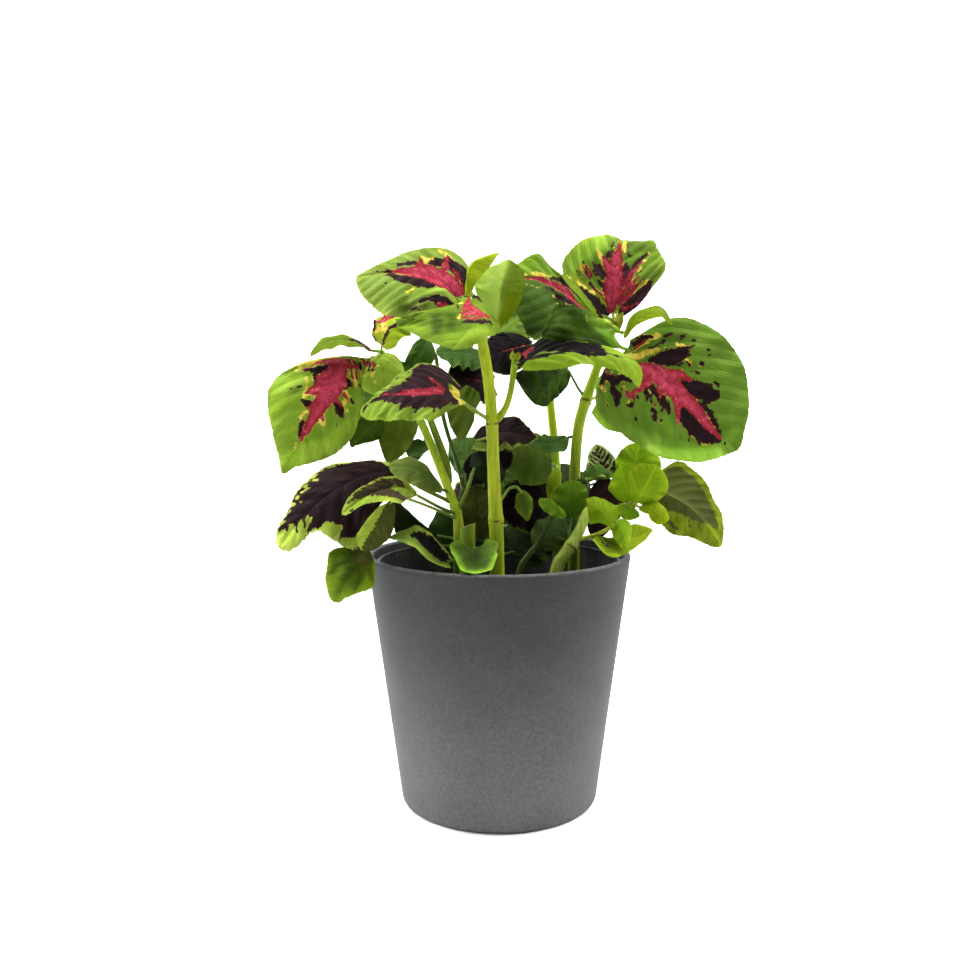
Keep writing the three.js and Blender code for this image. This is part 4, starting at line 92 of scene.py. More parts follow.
    {"id": "leaf_K", "n": "leaf_curled_left", "on": "stem_left", "b": [-55.41, -13.0, 224.76], "m": [[-54.4, -17.0, 229.21], [-51.15, -16.0, 235.29]], "t": [-45.96, -11.0, 239.82], "l": [-62.06, -12.0, 231.39], "r": [-40.53, -20.0, 229.92], "tw": 0.45, "curl": [12, -60], "wave": [2, 3, 0], "p": "rd", "pet": [[-55.6, -9.82, 222.82]], "sw": 0.07, "lb": 0.06, "kind": "small", "at": [-55.77, -7.06, 221.14], "pl": [0.45, 0.71, 0.713, 0.713, 0.856, 0.913, 0.837, 0.742, 0.77, 0.903, 1.036, 0.979, 0.685, 0.344, 0.23, 0.287, 0.258, 0.142, 0.03], "pr": [0.277, 0.495, 0.628, 0.666, 0.713, 0.808, 0.922, 0.979, 0.989, 0.989, 0.989, 0.989, 0.97, 0.894, 0.808, 0.747, 0.647, 0.405, 0.03]},
    {"id": "leaf_X1", "n": "stem_left_thin", "on": "stem_left_thin", "b": [-34.7, 2.0, 228.26], "m": [[-39.82, -2.0, 219.93]], "t": [-58.12, -5.0, 203.6], "l": [-28.11, -4.0, 215.03], "r": [-47.52, -2.0, 224.75], "tw": 0.42, "curl": [-15, -15], "wave": [1.6, 3, 0], "p": "rd", "pet": [[-30.63, 6.0, 219.68]], "sw": 0.07, "lb": 0.06, "kind": "green", "at": [-30.63, 6.0, 219.68], "pl": [0.12, 0.303, 0.543, 0.695, 0.666, 0.619, 0.619, 0.647, 0.647, 0.619, 0.609, 0.609, 0.609, 0.609, 0.581, 0.467, 0.334, 0.209, 0.03], "pr": [0.12, 0.36, 0.524, 0.543, 0.467, 0.372, 0.277, 0.182, 0.282, 0.786, 0.939, 0.9, 0.703, 0.257, 0.163, 0.163, 0.113, 0.095, 0.03]},
    {"id": "leaf_L1", "n": "leaf_hanging_left", "on": "stem_left", "b": [-54.53, -8.0, 193.06], "m": [[-60.64, -10.0, 186.9]], "t": [-70.61, -12.0, 176.48], "l": [-71.02, -14.0, 190.4], "r": [-54.47, -6.0, 179.48], "tw": 0.45, "curl": [-10, -10], "wave": [1, 3, 0], "p": "rd", "pet": [[-47.24, -8.0, 198.79], [-46.03, -8.19, 198.69]], "sw": 0.07, "lb": 0.06, "kind": "under", "at": [-41.94, -8.81, 198.36], "pl": [0.12, 0.113, 0.192, 0.315, 0.419, 0.505, 0.562, 0.619, 0.695, 0.732, 0.704, 0.657, 0.609, 0.552, 0.467, 0.372, 0.277, 0.171, 0.03], "pr": [0.12, 0.16, 0.277, 0.429, 0.6, 0.742, 0.808, 0.751, 0.666, 0.609, 0.562, 0.505, 0.419, 0.325, 0.239, 0.173, 0.113, 0.095, 0.03]},
    {"id": "leaf_L2", "n": "leaf_hanging_inner_left", "on": "stem_left", "b": [-46.46, -2.0, 191.93], "m": [[-48.55, -2.0, 181.22]], "t": [-53.89, -4.0, 167.67], "l": [-59.4, -5.0, 182.36], "r": [-39.16, -3.0, 183.19], "tw": 0.42, "curl": [-12, -12], "wave": [1, 3, 0], "p": "rd", "pet": [[-42.96, -6.7, 195.45]], "sw": 0.07, "lb": 0.06, "kind": "under", "at": [-41.3, -8.93, 197.11], "pl": [0.12, 0.388, 0.77, 0.96, 0.989, 0.989, 0.979, 0.951, 0.922, 0.856, 0.799, 0.742, 0.657, 0.562, 0.467, 0.363, 0.239, 0.133, 0.03], "pr": [0.12, 0.777, 0.951, 0.97, 0.941, 0.903, 0.884, 0.846, 0.799, 0.761, 0.732, 0.666, 0.6, 0.524, 0.457, 0.372, 0.277, 0.171, 0.03]},
    {"id": "leaf_M", "n": "leaf_purple_large_left", "on": "stem_left", "b": [-46.99, -24.0, 165.88], "m": [[-58.27, -31.0, 165.56], [-72.77, -39.0, 159.44], [-87.49, -44.0, 147.32]], "t": [-99.12, -44.0, 132.79], "l": [-63.81, -47.0, 137.74], "r": [-84.8, -27.0, 168.08], "tw": 0.45, "curl": [-30, -25], "wave": [2.2, 3.5, 0], "p": "rd", "pet": [[-37.09, -20.0, 157.94], [-26.22, -16.93, 152.11]], "sw": 0.07, "lb": 0.06, "kind": "purple", "at": [-21.36, -15.55, 149.5], "pl": [0.12, 0.369, 0.581, 0.695, 0.761, 0.846, 0.932, 0.989, 1.036, 1.093, 1.15, 0.979, 0.486, 0.315, 0.287, 0.277, 0.268, 0.199, 0.03], "pr": [0.12, 0.388, 0.543, 0.609, 0.647, 0.685, 0.789, 0.884, 0.894, 0.77, 0.685, 0.685, 0.647, 0.552, 0.438, 0.381, 0.353, 0.247, 0.03]},
    {"id": "leaf_N", "n": "leaf_purple_narrow_left", "on": "stem_left", "b": [-38.05, -42.0, 157.85], "m": [[-44.71, -47.0, 160.63], [-56.18, -55.0, 158.37]], "t": [-67.95, -59.0, 150.09], "l": [-50.38, -60.0, 155.41], "r": [-54.52, -50.0, 164.49], "tw": 0.45, "curl": [-25, -25], "wave": [0.8, 3, 0], "p": "ov", "pet": [[-28.69, -27.0, 149.71], [-22.22, -19.04, 145.69]], "sw": 0.07, "lb": 0.06, "kind": "purple2", "at": [-19.72, -15.98, 144.14], "pl": [0.12, 0.654, 1.107, 1.332, 1.445, 1.497, 1.456, 1.349, 1.159, 0.903, 0.685, 0.562, 0.476, 0.419, 0.363, 0.296, 0.271, 0.208, 0.03], "pr": [0.12, 0.483, 0.837, 0.998, 0.989, 0.941, 0.903, 0.903, 0.922, 0.884, 0.808, 0.761, 0.751, 0.756, 0.738, 0.607, 0.429, 0.239, 0.03]},
    {"id": "leaf_O1", "n": "leaf_olive_left", "on": "stem_left", "b": [-27.17, -20.0, 156.97], "m": [[-33.44, -24.0, 163.97], [-42.01, -27.0, 167.98]], "t": [-50.62, -29.0, 168.15], "l": [-40.55, -34.0, 159.33], "r": [-36.56, -19.0, 171.12], "tw": 0.45, "curl": [-20, -20], "wave": [1, 3, 0], "p": "rd", "pet": [[-25.62, -17.91, 156.03]], "sw": 0.07, "lb": 0.06, "kind": "olive", "at": [-23.42, -14.92, 154.7], "pl": [0.12, 0.331, 0.543, 0.685, 0.761, 0.837, 0.894, 0.932, 0.922, 0.846, 0.761, 0.723, 0.742, 0.742, 0.695, 0.6, 0.467, 0.294, 0.03], "pr": [0.12, 0.303, 0.429, 0.533, 0.552, 0.533, 0.59, 0.742, 0.884, 0.951, 0.884, 0.77, 0.695, 0.628, 0.6, 0.543, 0.438, 0.313, 0.03]},
    {"id": "leaf_P1", "n": "leaf_rolled_left", "on": "stem_left", "b": [-47.59, -50.0, 153.81], "m": [[-53.11, -53.0, 145.75]], "t": [-60.51, -52.0, 133.12], "l": [-61.51, -56.0, 144.85], "r": [-45.06, -46.0, 141.17], "tw": 0.45, "curl": [-28, -12], "wave": [0.8, 3, 0], "p": "rd", "pet": [[-44.18, -44.0, 155.82], [-33.91, -32.0, 150.78], [-22.09, -19.0, 143.68]], "sw": 0.07, "lb": 0.06, "kind": "olive2", "at": [-19.41, -16.05, 142.06], "pl": [0.12, 0.217, 0.391, 0.514, 0.6, 0.647, 0.647, 0.628, 0.657, 0.713, 0.78, 0.789, 0.761, 0.751, 0.723, 0.609, 0.457, 0.266, 0.03], "pr": [0.12, 0.379, 0.524, 0.647, 0.751, 0.827, 0.846, 0.837, 0.808, 0.799, 0.808, 0.827, 0.789, 0.704, 0.609, 0.524, 0.457, 0.323, 0.03]},
    {"id": "leaf_O", "n": "leaf_over_rim_left", "on": "stem_left", "b": [-60.0, -46.0, 132.14], "m": [[-62.84, -52.0, 125.95], [-68.0, -54.0, 118.25]], "t": [-73.82, -52.0, 109.72], "l": [-54.9, -49.0, 117.69], "r": [-78.23, -48.0, 125.25], "tw": 0.42, "curl": [-12, -12], "wave": [1, 3, 0], "p": "rd", "pet": [[-56.86, -42.0, 135.6], [-51.18, -32.0, 135.91], [-34.85, -22.0, 130.55], [-22.7, -17.4, 129.13]], "sw": 0.07, "lb": 0.06, "kind": "purple3", "at": [-19.01, -16.0, 128.7], "pl": [0.12, 0.464, 0.647, 0.751, 0.846, 0.932, 0.979, 0.97, 0.894, 0.799, 0.704, 0.609, 0.514, 0.419, 0.334, 0.287, 0.258, 0.171, 0.03], "pr": [0.12, 0.879, 1.105, 1.083, 1.045, 1.036, 1.027, 0.989, 0.951, 0.932, 0.884, 0.808, 0.751, 0.704, 0.638, 0.514, 0.372, 0.218, 0.03]},
    {"id": "leaf_Q", "n": "leaf_inside_rim_left", "on": "stem_left", "b": [-22.57, -41.0, 126.2], "m": [[-31.02, -43.0, 131.14], [-40.19, -41.0, 135.87]], "t": [-49.81, -36.0, 136.51], "l": [-34.49, -51.0, 128.42], "r": [-34.26, -35.0, 139.11], "tw": 0.5, "curl": [35, 40], "wave": [1, 3, 0], "p": "rd", "pet": [[-19.74, -33.0, 125.26], [-19.17, -19.96, 123.58]], "sw": 0.07, "lb": 0.06, "kind": "green", "at": [-19.0, -16.0, 123.07], "pl": [0.45, 0.644, 0.761, 0.732, 0.619, 0.533, 0.524, 0.543, 0.505, 0.419, 0.334, 0.315, 0.4, 0.438, 0.363, 0.249, 0.182, 0.123, 0.03], "pr": [0.182, 0.495, 0.751, 0.951, 1.027, 1.027, 1.017, 1.093, 1.216, 1.283, 1.226, 1.15, 1.144, 1.158, 1.054, 0.882, 0.675, 0.405, 0.03]},
    {"id": "leaf_R", "n": "leaf_cupped_front", "on": "stem_front", "b": [-11.05, -46.0, 132.96], "m": [[-10.43, -54.0, 130.25]], "t": [-9.81, -63.0, 124.57], "l": [0.15, -55.0, 131.73], "r": [-20.95, -55.0, 131.77], "tw": 0.55, "curl": [38, 38], "wave": [1, 2, 0], "p": "rd", "pet": [[-8.48, -40.0, 131.98], [-3.13, -30.38, 131.24]], "sw": 0.07, "lb": 0.34, "kind": "green", "at": [-0.89, -26.35, 130.93], "pl": [0.62, 0.98, 1.06, 1.02, 1.0, 0.903, 0.97, 0.951, 0.932, 0.903, 0.894, 0.884, 0.846, 0.799, 0.751, 0.704, 0.622, 0.4, 0.03], "pr": [0.62, 0.98, 1.06, 1.02, 1.0, 0.951, 0.941, 0.941, 0.932, 0.894, 0.846, 0.799, 0.751, 0.704, 0.666, 0.647, 0.584, 0.39, 0.03]},
    {"id": "leaf_W2", "n": "leaf_purple_centre", "on": "stem_front", "b": [-10.71, -12.0, 179.67], "m": [[3.13, -16.0, 183.62]], "t": [18.68, -18.0, 180.84], "l": [4.65, -7.0, 192.38], "r": [2.12, -27.0, 175.76], "tw": 0.45, "curl": [-15, -25], "wave": [1.6, 4, 0], "p": "rd", "pet": [[-4.86, -22.0, 181.1], [-3.66, -26.44, 180.55]], "sw": 0.07, "lb": 0.06, "kind": "purple", "at": [-2.64, -30.2, 180.08], "pl": [0.182, 0.495, 0.619, 0.695, 0.713, 0.638, 0.657, 0.827, 0.932, 0.837, 0.704, 0.704, 0.704, 0.562, 0.381, 0.258, 0.211, 0.133, 0.03], "pr": [0.45, 0.625, 0.713, 0.827, 0.998, 1.045, 0.96, 0.932, 1.017, 1.036, 0.894, 0.742, 0.713, 0.713, 0.609, 0.467, 0.325, 0.18, 0.03]},
    {"id": "leaf_W3", "n": "leaf_thin_centre", "on": "stem_right", "b": [33.53, 6.0, 179.88], "m": [[26.27, 0.0, 177.49]], "t": [13.42, -4.0, 178.71], "l": [23.39, -9.0, 173.17], "r": [25.59, 6.0, 181.63], "tw": 0.45, "curl": [-15, -15], "wave": [0.8, 3, 0], "p": "el", "pet": [[35.27, 6.21, 180.07]], "sw": 0.07, "lb": 0.06, "kind": "green", "at": [39.23, 6.68, 180.51]},
    {"id": "leaf_W4", "n": "leaf_dark_inner_left", "on": "stem_left_thin", "b": [-15.85, -4.0, 162.68], "m": [[-7.0, -7.0, 167.78]], "t": [7.05, -7.0, 172.6], "l": [-7.04, -2.0, 175.73], "r": [-5.52, -12.0, 159.01], "tw": 0.42, "curl": [-12, -12], "wave": [1.2, 3, 0], "p": "rd", "pet": [[-17.03, -2.09, 161.86]], "sw": 0.07, "lb": 0.06, "kind": "dark", "at": [-18.33, 0.0, 160.96]},
    {"id": "leaf_W5", "n": "leaf_inner_left", "on": "stem_left", "b": [-11.51, -21.0, 166.02], "m": [[-6.8, -21.0, 168.36]], "t": [3.1, -16.0, 162.71], "l": [-3.55, -13.0, 172.53], "r": [-8.19, -24.0, 158.27], "tw": 0.45, "curl": [-15, -15], "wave": [1, 3, 0], "p": "rd", "pet": [[-14.92, -19.0, 155.89], [-17.5, -17.43, 150.63]], "sw": 0.07, "lb": 0.06, "kind": "under", "at": [-20.02, -15.9, 145.52]},
    {"id": "leaf_X3", "n": "stem_back", "on": "stem_back", "b": [-8.05, 10.0, 219.74], "m": [[-17.81, 6.0, 222.08]], "t": [-30.36, 2.0, 221.97], "l": [-18.46, -4.0, 214.04], "r": [-19.08, 14.0, 227.34], "tw": 0.45, "curl": [-12, -12], "wave": [1.6, 4, 0], "p": "rd", "pet": [[-6.29, 28.0, 218.8], [-5.68, 35.97, 217.31]], "sw": 0.07, "lb": 0.06, "kind": "green", "at": [-5.68, 35.97, 217.31]},
    {"id": "leaf_X4", "n": "stem_back", "on": "stem_back", "b": [-2.12, 8.0, 205.89], "m": [[-11.87, 2.0, 208.33]], "t": [-24.29, -4.0, 209.27], "l": [-12.69, -6.0, 197.7], "r": [-12.02, 10.0, 219.26], "tw": 0.45, "curl": [-10, -10], "wave": [1.6, 4, 0], "p": "rd", "pet": [[-3.72, 22.0, 203.43], [-4.52, 34.25, 200.94]], "sw": 0.07, "lb": 0.06, "kind": "dark", "at": [-4.52, 34.25, 200.94]},
    {"id": "leaf_X5", "n": "stem_back_right", "on": "stem_back_right", "b": [26.85, 10.0, 166.42], "m": [[18.1, 4.0, 171.36]], "t": [1.74, -3.0, 173.33], "l": [14.47, -2.0, 156.53], "r": [17.81, 10.0, 181.48], "tw": 0.45, "curl": [-12, -12], "wave": [1.6, 3, 0], "p": "rd", "pet": [[29.59, 22.93, 164.1]], "sw": 0.07, "lb": 0.06, "kind": "green", "at": [29.59, 22.93, 164.1]},
    {"id": "leaf_X6", "n": "stem_back_right", "on": "stem_back_right", "b": [27.14, 14.0, 144.74], "m": [[16.81, 9.0, 148.39]], "t": [-0.28, 2.0, 143.22], "l": [14.61, 2.0, 131.17], "r": [14.88, 12.0, 161.24], "tw": 0.45, "curl": [-12, -12], "wave": [1.6, 3, 0], "p": "rd", "pet": [[30.23, 24.68, 142.59]], "sw": 0.07, "lb": 0.06, "kind": "dark", "at": [30.23, 24.68, 142.59]},
    {"id": "leaf_X10", "n": "leaf_low_left", "on": "stem_left", "b": [-21.19, -8.0, 141.57], "m": [[-25.08, -9.0, 134.85]], "t": [-27.97, -11.0, 123.39], "l": [-17.38, -8.0, 126.81], "r": [-33.51, -6.0, 139.36], "tw": 0.42, "curl": [-12, -12], "wave": [1.2, 3, 0], "p": "rd", "pet": [[-20.22, -12.58, 142.25]], "sw": 0.07, "lb": 0.06, "kind": "green", "at": [-19.5, -16.03, 142.76], "pl": [0.135, 0.4, 0.6, 0.742, 0.827, 0.856, 0.884, 0.903, 0.932, 0.941, 0.941, 0.941, 0.941, 0.932, 0.902, 0.849, 0.675, 0.405, 0.03], "pr": [0.45, 0.909, 0.989, 0.951, 0.941, 0.951, 0.979, 0.979, 0.941, 0.894, 0.837, 0.751, 0.666, 0.6, 0.514, 0.419, 0.315, 0.18, 0.03]},
    {"id": "leaf_X11", "n": "leaf_low_inner", "on": "stem_front", "b": [-6.61, -10.0, 131.53], "m": [[-9.98, -8.0, 146.44]], "t": [-9.99, -4.0, 162.67], "l": [-19.85, -4.0, 148.45], "r": [0.22, -12.0, 149.33], "tw": 0.45, "curl": [-12, -12], "wave": [1.2, 3, 0], "p": "rd", "pet": [[-6.09, -14.0, 127.76], [-2.65, -21.83, 125.88]], "sw": 0.07, "lb": 0.06, "kind": "dark", "at": [-0.8, -26.05, 124.86], "pl": [0.12, 0.578, 0.799, 0.932, 1.017, 1.036, 1.036, 1.036, 1.036, 1.045, 1.074, 1.055, 0.932, 0.77, 0.666, 0.581, 0.41, 0.199, 0.03], "pr": [0.087, 0.619, 0.865, 0.941, 0.989, 1.036, 1.074, 1.064, 0.998, 0.951, 0.941, 0.932, 0.894, 0.827, 0.704, 0.562, 0.419, 0.256, 0.03]},
    {"id": "leaf_Z1", "n": "stem_back_right", "on": "stem_back_right", "b": [29.37, 10.0, 164.4], "m": [[27.54, 4.0, 158.91]], "t": [24.99, 2.0, 148.65], "l": [30.28, 0.0, 156.8], "r": [24.07, 4.0, 157.92], "tw": 0.45, "curl": [-20, -20], "wave": [0, 3, 0], "p": "el", "pet": [[29.56, 22.86, 164.77]], "sw": 0.07, "lb": 0.06, "kind": "young", "at": [29.56, 22.86, 164.77]},
    {"id": "leaf_Z2", "n": "leaf_small_hanging", "on": "stem_front", "b": [10.5, -25.0, 155.98], "m": [[12.27, -29.0, 151.73]], "t": [13.63, -30.0, 142.98], "l": [15.97, -29.0, 151.72], "r": [7.66, -27.0, 148.7], "tw": 0.42, "curl": [-25, -15], "wave": [0.6, 3, 0], "p": "ov", "pet": [[8.21, -23.0, 158.13], [4.94, -21.0, 156.99], [2.04, -23.93, 153.42]], "sw": 0.07, "lb": 0.06, "kind": "plain", "at": [-1.46, -27.46, 149.1]},
    {"id": "leaf_U", "n": "leaf_mottled_back", "on": "stem_right", "b": [51.89, 14.0, 157.43], "m": [[51.94, 15.0, 164.96]], "t": [49.62, 18.0, 175.95], "l": [42.56, 12.0, 166.23], "r": [62.17, 12.0, 166.18], "tw": 0.42, "curl": [-10, -10], "wave": [1, 3, 0], "p": "rd", "pet": [[45.97, 10.0, 155.79], [41.94, 9.11, 155.06]], "sw": 0.07, "lb": 0.06, "kind": "varieg", "at": [38.03, 8.24, 154.36], "pl": [0.12, 0.483, 0.808, 0.894, 0.884, 0.856, 0.846, 0.837, 0.799, 0.751, 0.704, 0.657, 0.609, 0.552, 0.476, 0.4, 0.277, 0.142, 0.03], "pr": [0.12, 0.35, 0.647, 0.875, 0.903, 0.884, 0.846, 0.799, 0.751, 0.704, 0.647, 0.571, 0.514, 0.467, 0.419, 0.353, 0.239, 0.133, 0.03]},
    {"id": "leaf_V", "n": "leaf_edge_right", "on": "stem_right", "b": [42.73, 2.0, 159.55], "m": [[49.81, 4.0, 163.33]], "t": [56.83, 9.0, 162.4], "l": [52.0, 11.0, 167.29], "r": [49.62, -3.0, 159.01], "tw": 0.45, "curl": [-15, -30], "wave": [1, 3, 0], "p": "rd", "pet": [[40.6, 4.74, 158.89]], "sw": 0.07, "lb": 0.06, "kind": "green", "at": [38.07, 7.99, 158.1], "pl": [0.45, 0.701, 0.818, 0.922, 0.979, 0.951, 0.808, 0.685, 0.704, 0.894, 1.093, 1.159, 1.121, 1.06, 1.021, 0.882, 0.675, 0.405, 0.03], "pr": [0.45, 0.501, 0.514, 0.524, 0.59, 0.751, 0.903, 0.913, 0.818, 0.789, 0.913, 1.093, 1.14, 1.027, 0.875, 0.785, 0.657, 0.405, 0.03]},
    {"id": "leaf_VV", "n": "leaf_purple_right", "on": "stem_right", "b": [43.53, -1.0, 148.46], "m": [[50.6, -4.0, 146.33]], "t": [59.2, -6.0, 141.15], "l": [53.37, 0.0, 159.21], "r": [48.37, -8.0, 130.63], "tw": 0.45, "curl": [-12, -12], "wave": [1, 3, 0], "p": "rd", "pet": [[39.95, 5.23, 148.89]], "sw": 0.07, "lb": 0.06, "kind": "purple", "at": [38.03, 8.59, 149.12], "pl": [0.45, 0.852, 0.989, 1.036, 1.083, 1.112, 1.093, 1.074, 1.045, 1.027, 0.979, 0.894, 0.808, 0.742, 0.657, 0.552, 0.419, 0.256, 0.03], "pr": [0.12, 0.331, 0.562, 0.77, 0.884, 0.932, 0.951, 0.979, 0.989, 0.998, 1.036, 1.074, 1.074, 1.045, 1.007, 0.877, 0.675, 0.405, 0.03]},
    {"id": "leaf_Y1", "n": "shoot_low_centre", "on": "stem_low_right", "b": [35.03, -10.0, 142.21], "m": [[34.76, -13.0, 150.82]], "t": [35.41, -10.0, 160.17], "l": [25.7, -12.0, 152.66], "r": [43.95, -12.0, 152.62], "tw": 0.48, "curl": [8, 8], "wave": [1, 3, 0], "p": "rd", "pet": [[33.34, -14.0, 132.56], [33.74, -16.65, 131.55]], "sw": 0.07, "lb": 0.06, "kind": "green", "at": [34.36, -20.87, 129.96], "pl": [0.12, 0.274, 0.524, 0.695, 0.799, 0.875, 0.903, 0.932, 0.941, 0.941, 0.941, 0.922, 0.846, 0.751, 0.657, 0.552, 0.41, 0.228, 0.03], "pr": [0.12, 0.54, 0.827, 0.894, 0.894, 0.894, 0.903, 0.922, 0.903, 0.894, 0.884, 0.846, 0.808, 0.799, 0.78, 0.704, 0.594, 0.39, 0.03]},
    {"id": "leaf_Y2", "n": "shoot_low_centre", "on": "stem_low_right", "b": [31.18, -17.0, 142.64], "m": [[25.75, -20.0, 147.34]], "t": [19.17, -19.0, 152.0], "l": [23.82, -21.0, 142.7], "r": [27.8, -17.0, 152.24], "tw": 0.45, "curl": [-8, -8], "wave": [0.8, 3, 0], "p": "rd", "pet": [[33.45, -13.7, 133.48]], "sw": 0.07, "lb": 0.06, "kind": "green", "at": [36.26, -20.33, 133.04], "pl": [0.12, 0.189, 0.277, 0.372, 0.457, 0.514, 0.571, 0.638, 0.657, 0.647, 0.628, 0.647, 0.647, 0.609, 0.552, 0.476, 0.391, 0.228, 0.03], "pr": [0.12, 0.445, 0.552, 0.562, 0.562, 0.552, 0.533, 0.562, 0.6, 0.609, 0.6, 0.571, 0.552, 0.514, 0.457, 0.372, 0.277, 0.171, 0.03]},
    {"id": "leaf_X8", "n": "stem_low_thin", "on": "stem_low_thin", "b": [19.98, -12.0, 128.86], "m": [[25.11, -6.0, 135.3]], "t": [33.44, 2.0, 140.15], "l": [18.91, -2.0, 138.72], "r": [31.22, -10.0, 128.52], "tw": 0.45, "curl": [-12, -12], "wave": [1, 3, 0], "p": "rd", "pet": [[16.33, -12.37, 126.25]], "sw": 0.07, "lb": 0.06, "kind": "olive", "at": [16.33, -12.37, 126.25]},
    {"id": "leaf_X13", "n": "leaf_dark_low_left", "on": "stem_left", "b": [-29.64, -14.0, 133.64], "m": [[-37.68, -15.0, 139.62]], "t": [-49.23, -18.0, 150.13], "l": [-45.12, -18.0, 135.23], "r": [-40.77, -12.0, 144.08], "tw": 0.45, "curl": [-12, -12], "wave": [0.8, 3, 0], "p": "rd", "pet": [[-22.82, -15.29, 132.73]], "sw": 0.07, "lb": 0.06, "kind": "under", "at": [-19.03, -16.01, 132.22], "pl": [0.277, 0.732, 0.97, 1.093, 1.197, 1.245, 1.311, 1.368, 1.387, 1.321, 1.226, 1.15, 1.112, 1.036, 0.922, 0.761, 0.6, 0.379, 0.03], "pr": [0.12, 0.485, 0.376, 0.344, 0.315, 0.249, 0.268, 0.448, 0.713, 0.837, 0.732, 0.552, 0.495, 0.571, 0.676, 0.695, 0.622, 0.4, 0.03]},
    {"id": "leaf_L3", "n": "leaf_thin_inner_left", "on": "stem_left_branch", "b": [-33.09, 0.0, 176.18], "m": [[-38.83, 4.0, 173.98]], "t": [-47.0, 7.0, 177.81], "l": [-39.38, -2.0, 169.45], "r": [-40.25, 10.0, 179.64], "tw": 0.45, "curl": [-12, -12], "wave": [0.8, 3, 0], "p": "ov", "pet": [[-29.66, -6.18, 176.8]], "sw": 0.07, "lb": 0.06, "kind": "under", "at": [-28.16, -8.88, 177.07]},
    {"id": "leaf_RA", "n": "shoot_right", "on": "stem_low_right", "b": [65.63, -15.0, 150.01], "m": [[69.24, -19.0, 157.12]], "t": [75.23, -16.0, 167.78], "l": [63.75, -17.0, 165.51], "r": [81.47, -14.0, 154.67], "tw": 0.48, "curl": [-14, -10], "wave": [1, 3, 0], "p": "rd", "pet": [[64.97, -13.0, 148.34]], "sw": 0.07, "lb": 0.06, "kind": "bright", "at": [61.28, -12.0, 147.26], "pl": [0.12, 0.435, 0.647, 0.808, 0.96, 1.027, 1.045, 1.083, 1.121, 1.131, 1.121, 1.083, 1.036, 0.979, 0.894, 0.761, 0.505, 0.218, 0.03], "pr": [0.45, 0.644, 0.78, 0.837, 0.846, 0.846, 0.856, 0.894, 0.932, 0.941, 0.932, 0.894, 0.846, 0.799, 0.751, 0.676, 0.514, 0.304, 0.03]},
    {"id": "leaf_RB", "n": "shoot_right", "on": "stem_low_right", "b": [63.99, -13.0, 150.27], "m": [[60.92, -14.0, 156.64]], "t": [58.43, -10.0, 168.33], "l": [54.34, -9.0, 155.67], "r": [66.71, -13.0, 163.26], "tw": 0.48, "curl": [-14, -10], "wave": [1, 3, 0], "p": "rd", "pet": [[64.97, -13.0, 148.34]], "sw": 0.07, "lb": 0.06, "kind": "bright", "at": [61.28, -12.0, 147.26], "pl": [0.372, 0.628, 0.799, 0.932, 1.036, 1.112, 1.14, 1.159, 1.121, 1.045, 0.979, 0.875, 0.713, 0.571, 0.457, 0.306, 0.141, 0.095, 0.03], "pr": [0.182, 0.505, 0.751, 0.846, 0.894, 0.941, 0.979, 0.979, 0.951, 0.941, 0.941, 0.941, 0.932, 0.894, 0.846, 0.761, 0.562, 0.313, 0.03]},
    {"id": "leaf_RC", "n": "shoot_right", "on": "stem_low_right", "b": [64.89, -6.0, 154.86], "m": [[66.29, -2.0, 165.26]], "t": [69.64, 2.0, 177.27], "l": [57.34, 1.0, 167.51], "r": [78.92, 1.0, 169.92], "tw": 0.48, "curl": [-14, -14], "wave": [1, 3, 0], "p": "rd", "pet": [[64.97, -13.0, 148.34]], "sw": 0.07, "lb": 0.06, "kind": "bright", "at": [61.28, -12.0, 147.26], "pl": [0.12, 0.426, 0.6, 0.704, 0.789, 0.846, 0.894, 0.941, 0.979, 0.989, 0.979, 0.941, 0.894, 0.837, 0.751, 0.657, 0.533, 0.313, 0.03], "pr": [0.12, 0.397, 0.609, 0.78, 0.894, 0.979, 1.036, 1.083, 1.121, 1.14, 1.159, 1.131, 1.083, 1.036, 0.978, 0.862, 0.646, 0.361, 0.03]},
    {"id": "leaf_RD", "n": "shoot_right", "on": "stem_low_right", "b": [63.41, -14.0, 147.49], "m": [[61.6, -17.0, 145.94]], "t": [60.43, -19.0, 141.89], "l": [67.19, -18.0, 143.66], "r": [56.94, -16.0, 148.23], "tw": 0.42, "curl": [-10, -10], "wave": [0, 3, 0], "p": "rd", "pet": [[64.97, -13.0, 148.34]], "sw": 0.07, "lb": 0.06, "kind": "bright", "at": [61.28, -12.0, 147.26]},
    {"id": "leaf_RE", "n": "shoot_right", "on": "stem_low_right", "b": [67.72, -14.0, 147.48], "m": [[72.36, -18.0, 147.47]], "t": [80.62, -20.0, 141.98], "l": [77.23, -14.0, 150.84], "r": [71.51, -18.0, 139.82], "tw": 0.45, "curl": [-20, -20], "wave": [0.8, 3, 0], "p": "rd", "pet": [[64.97, -13.0, 148.34]], "sw": 0.07, "lb": 0.06, "kind": "bright", "at": [61.28, -12.0, 147.26], "pl": [0.12, 0.208, 0.372, 0.533, 0.609, 0.657, 0.704, 0.732, 0.713, 0.713, 0.732, 0.704, 0.638, 0.524, 0.429, 0.363, 0.268, 0.142, 0.03], "pr": [0.12, 0.303, 0.4, 0.429, 0.476, 0.552, 0.609, 0.647, 0.666, 0.695, 0.713, 0.742, 0.742, 0.713, 0.676, 0.571, 0.457, 0.294, 0.03]},
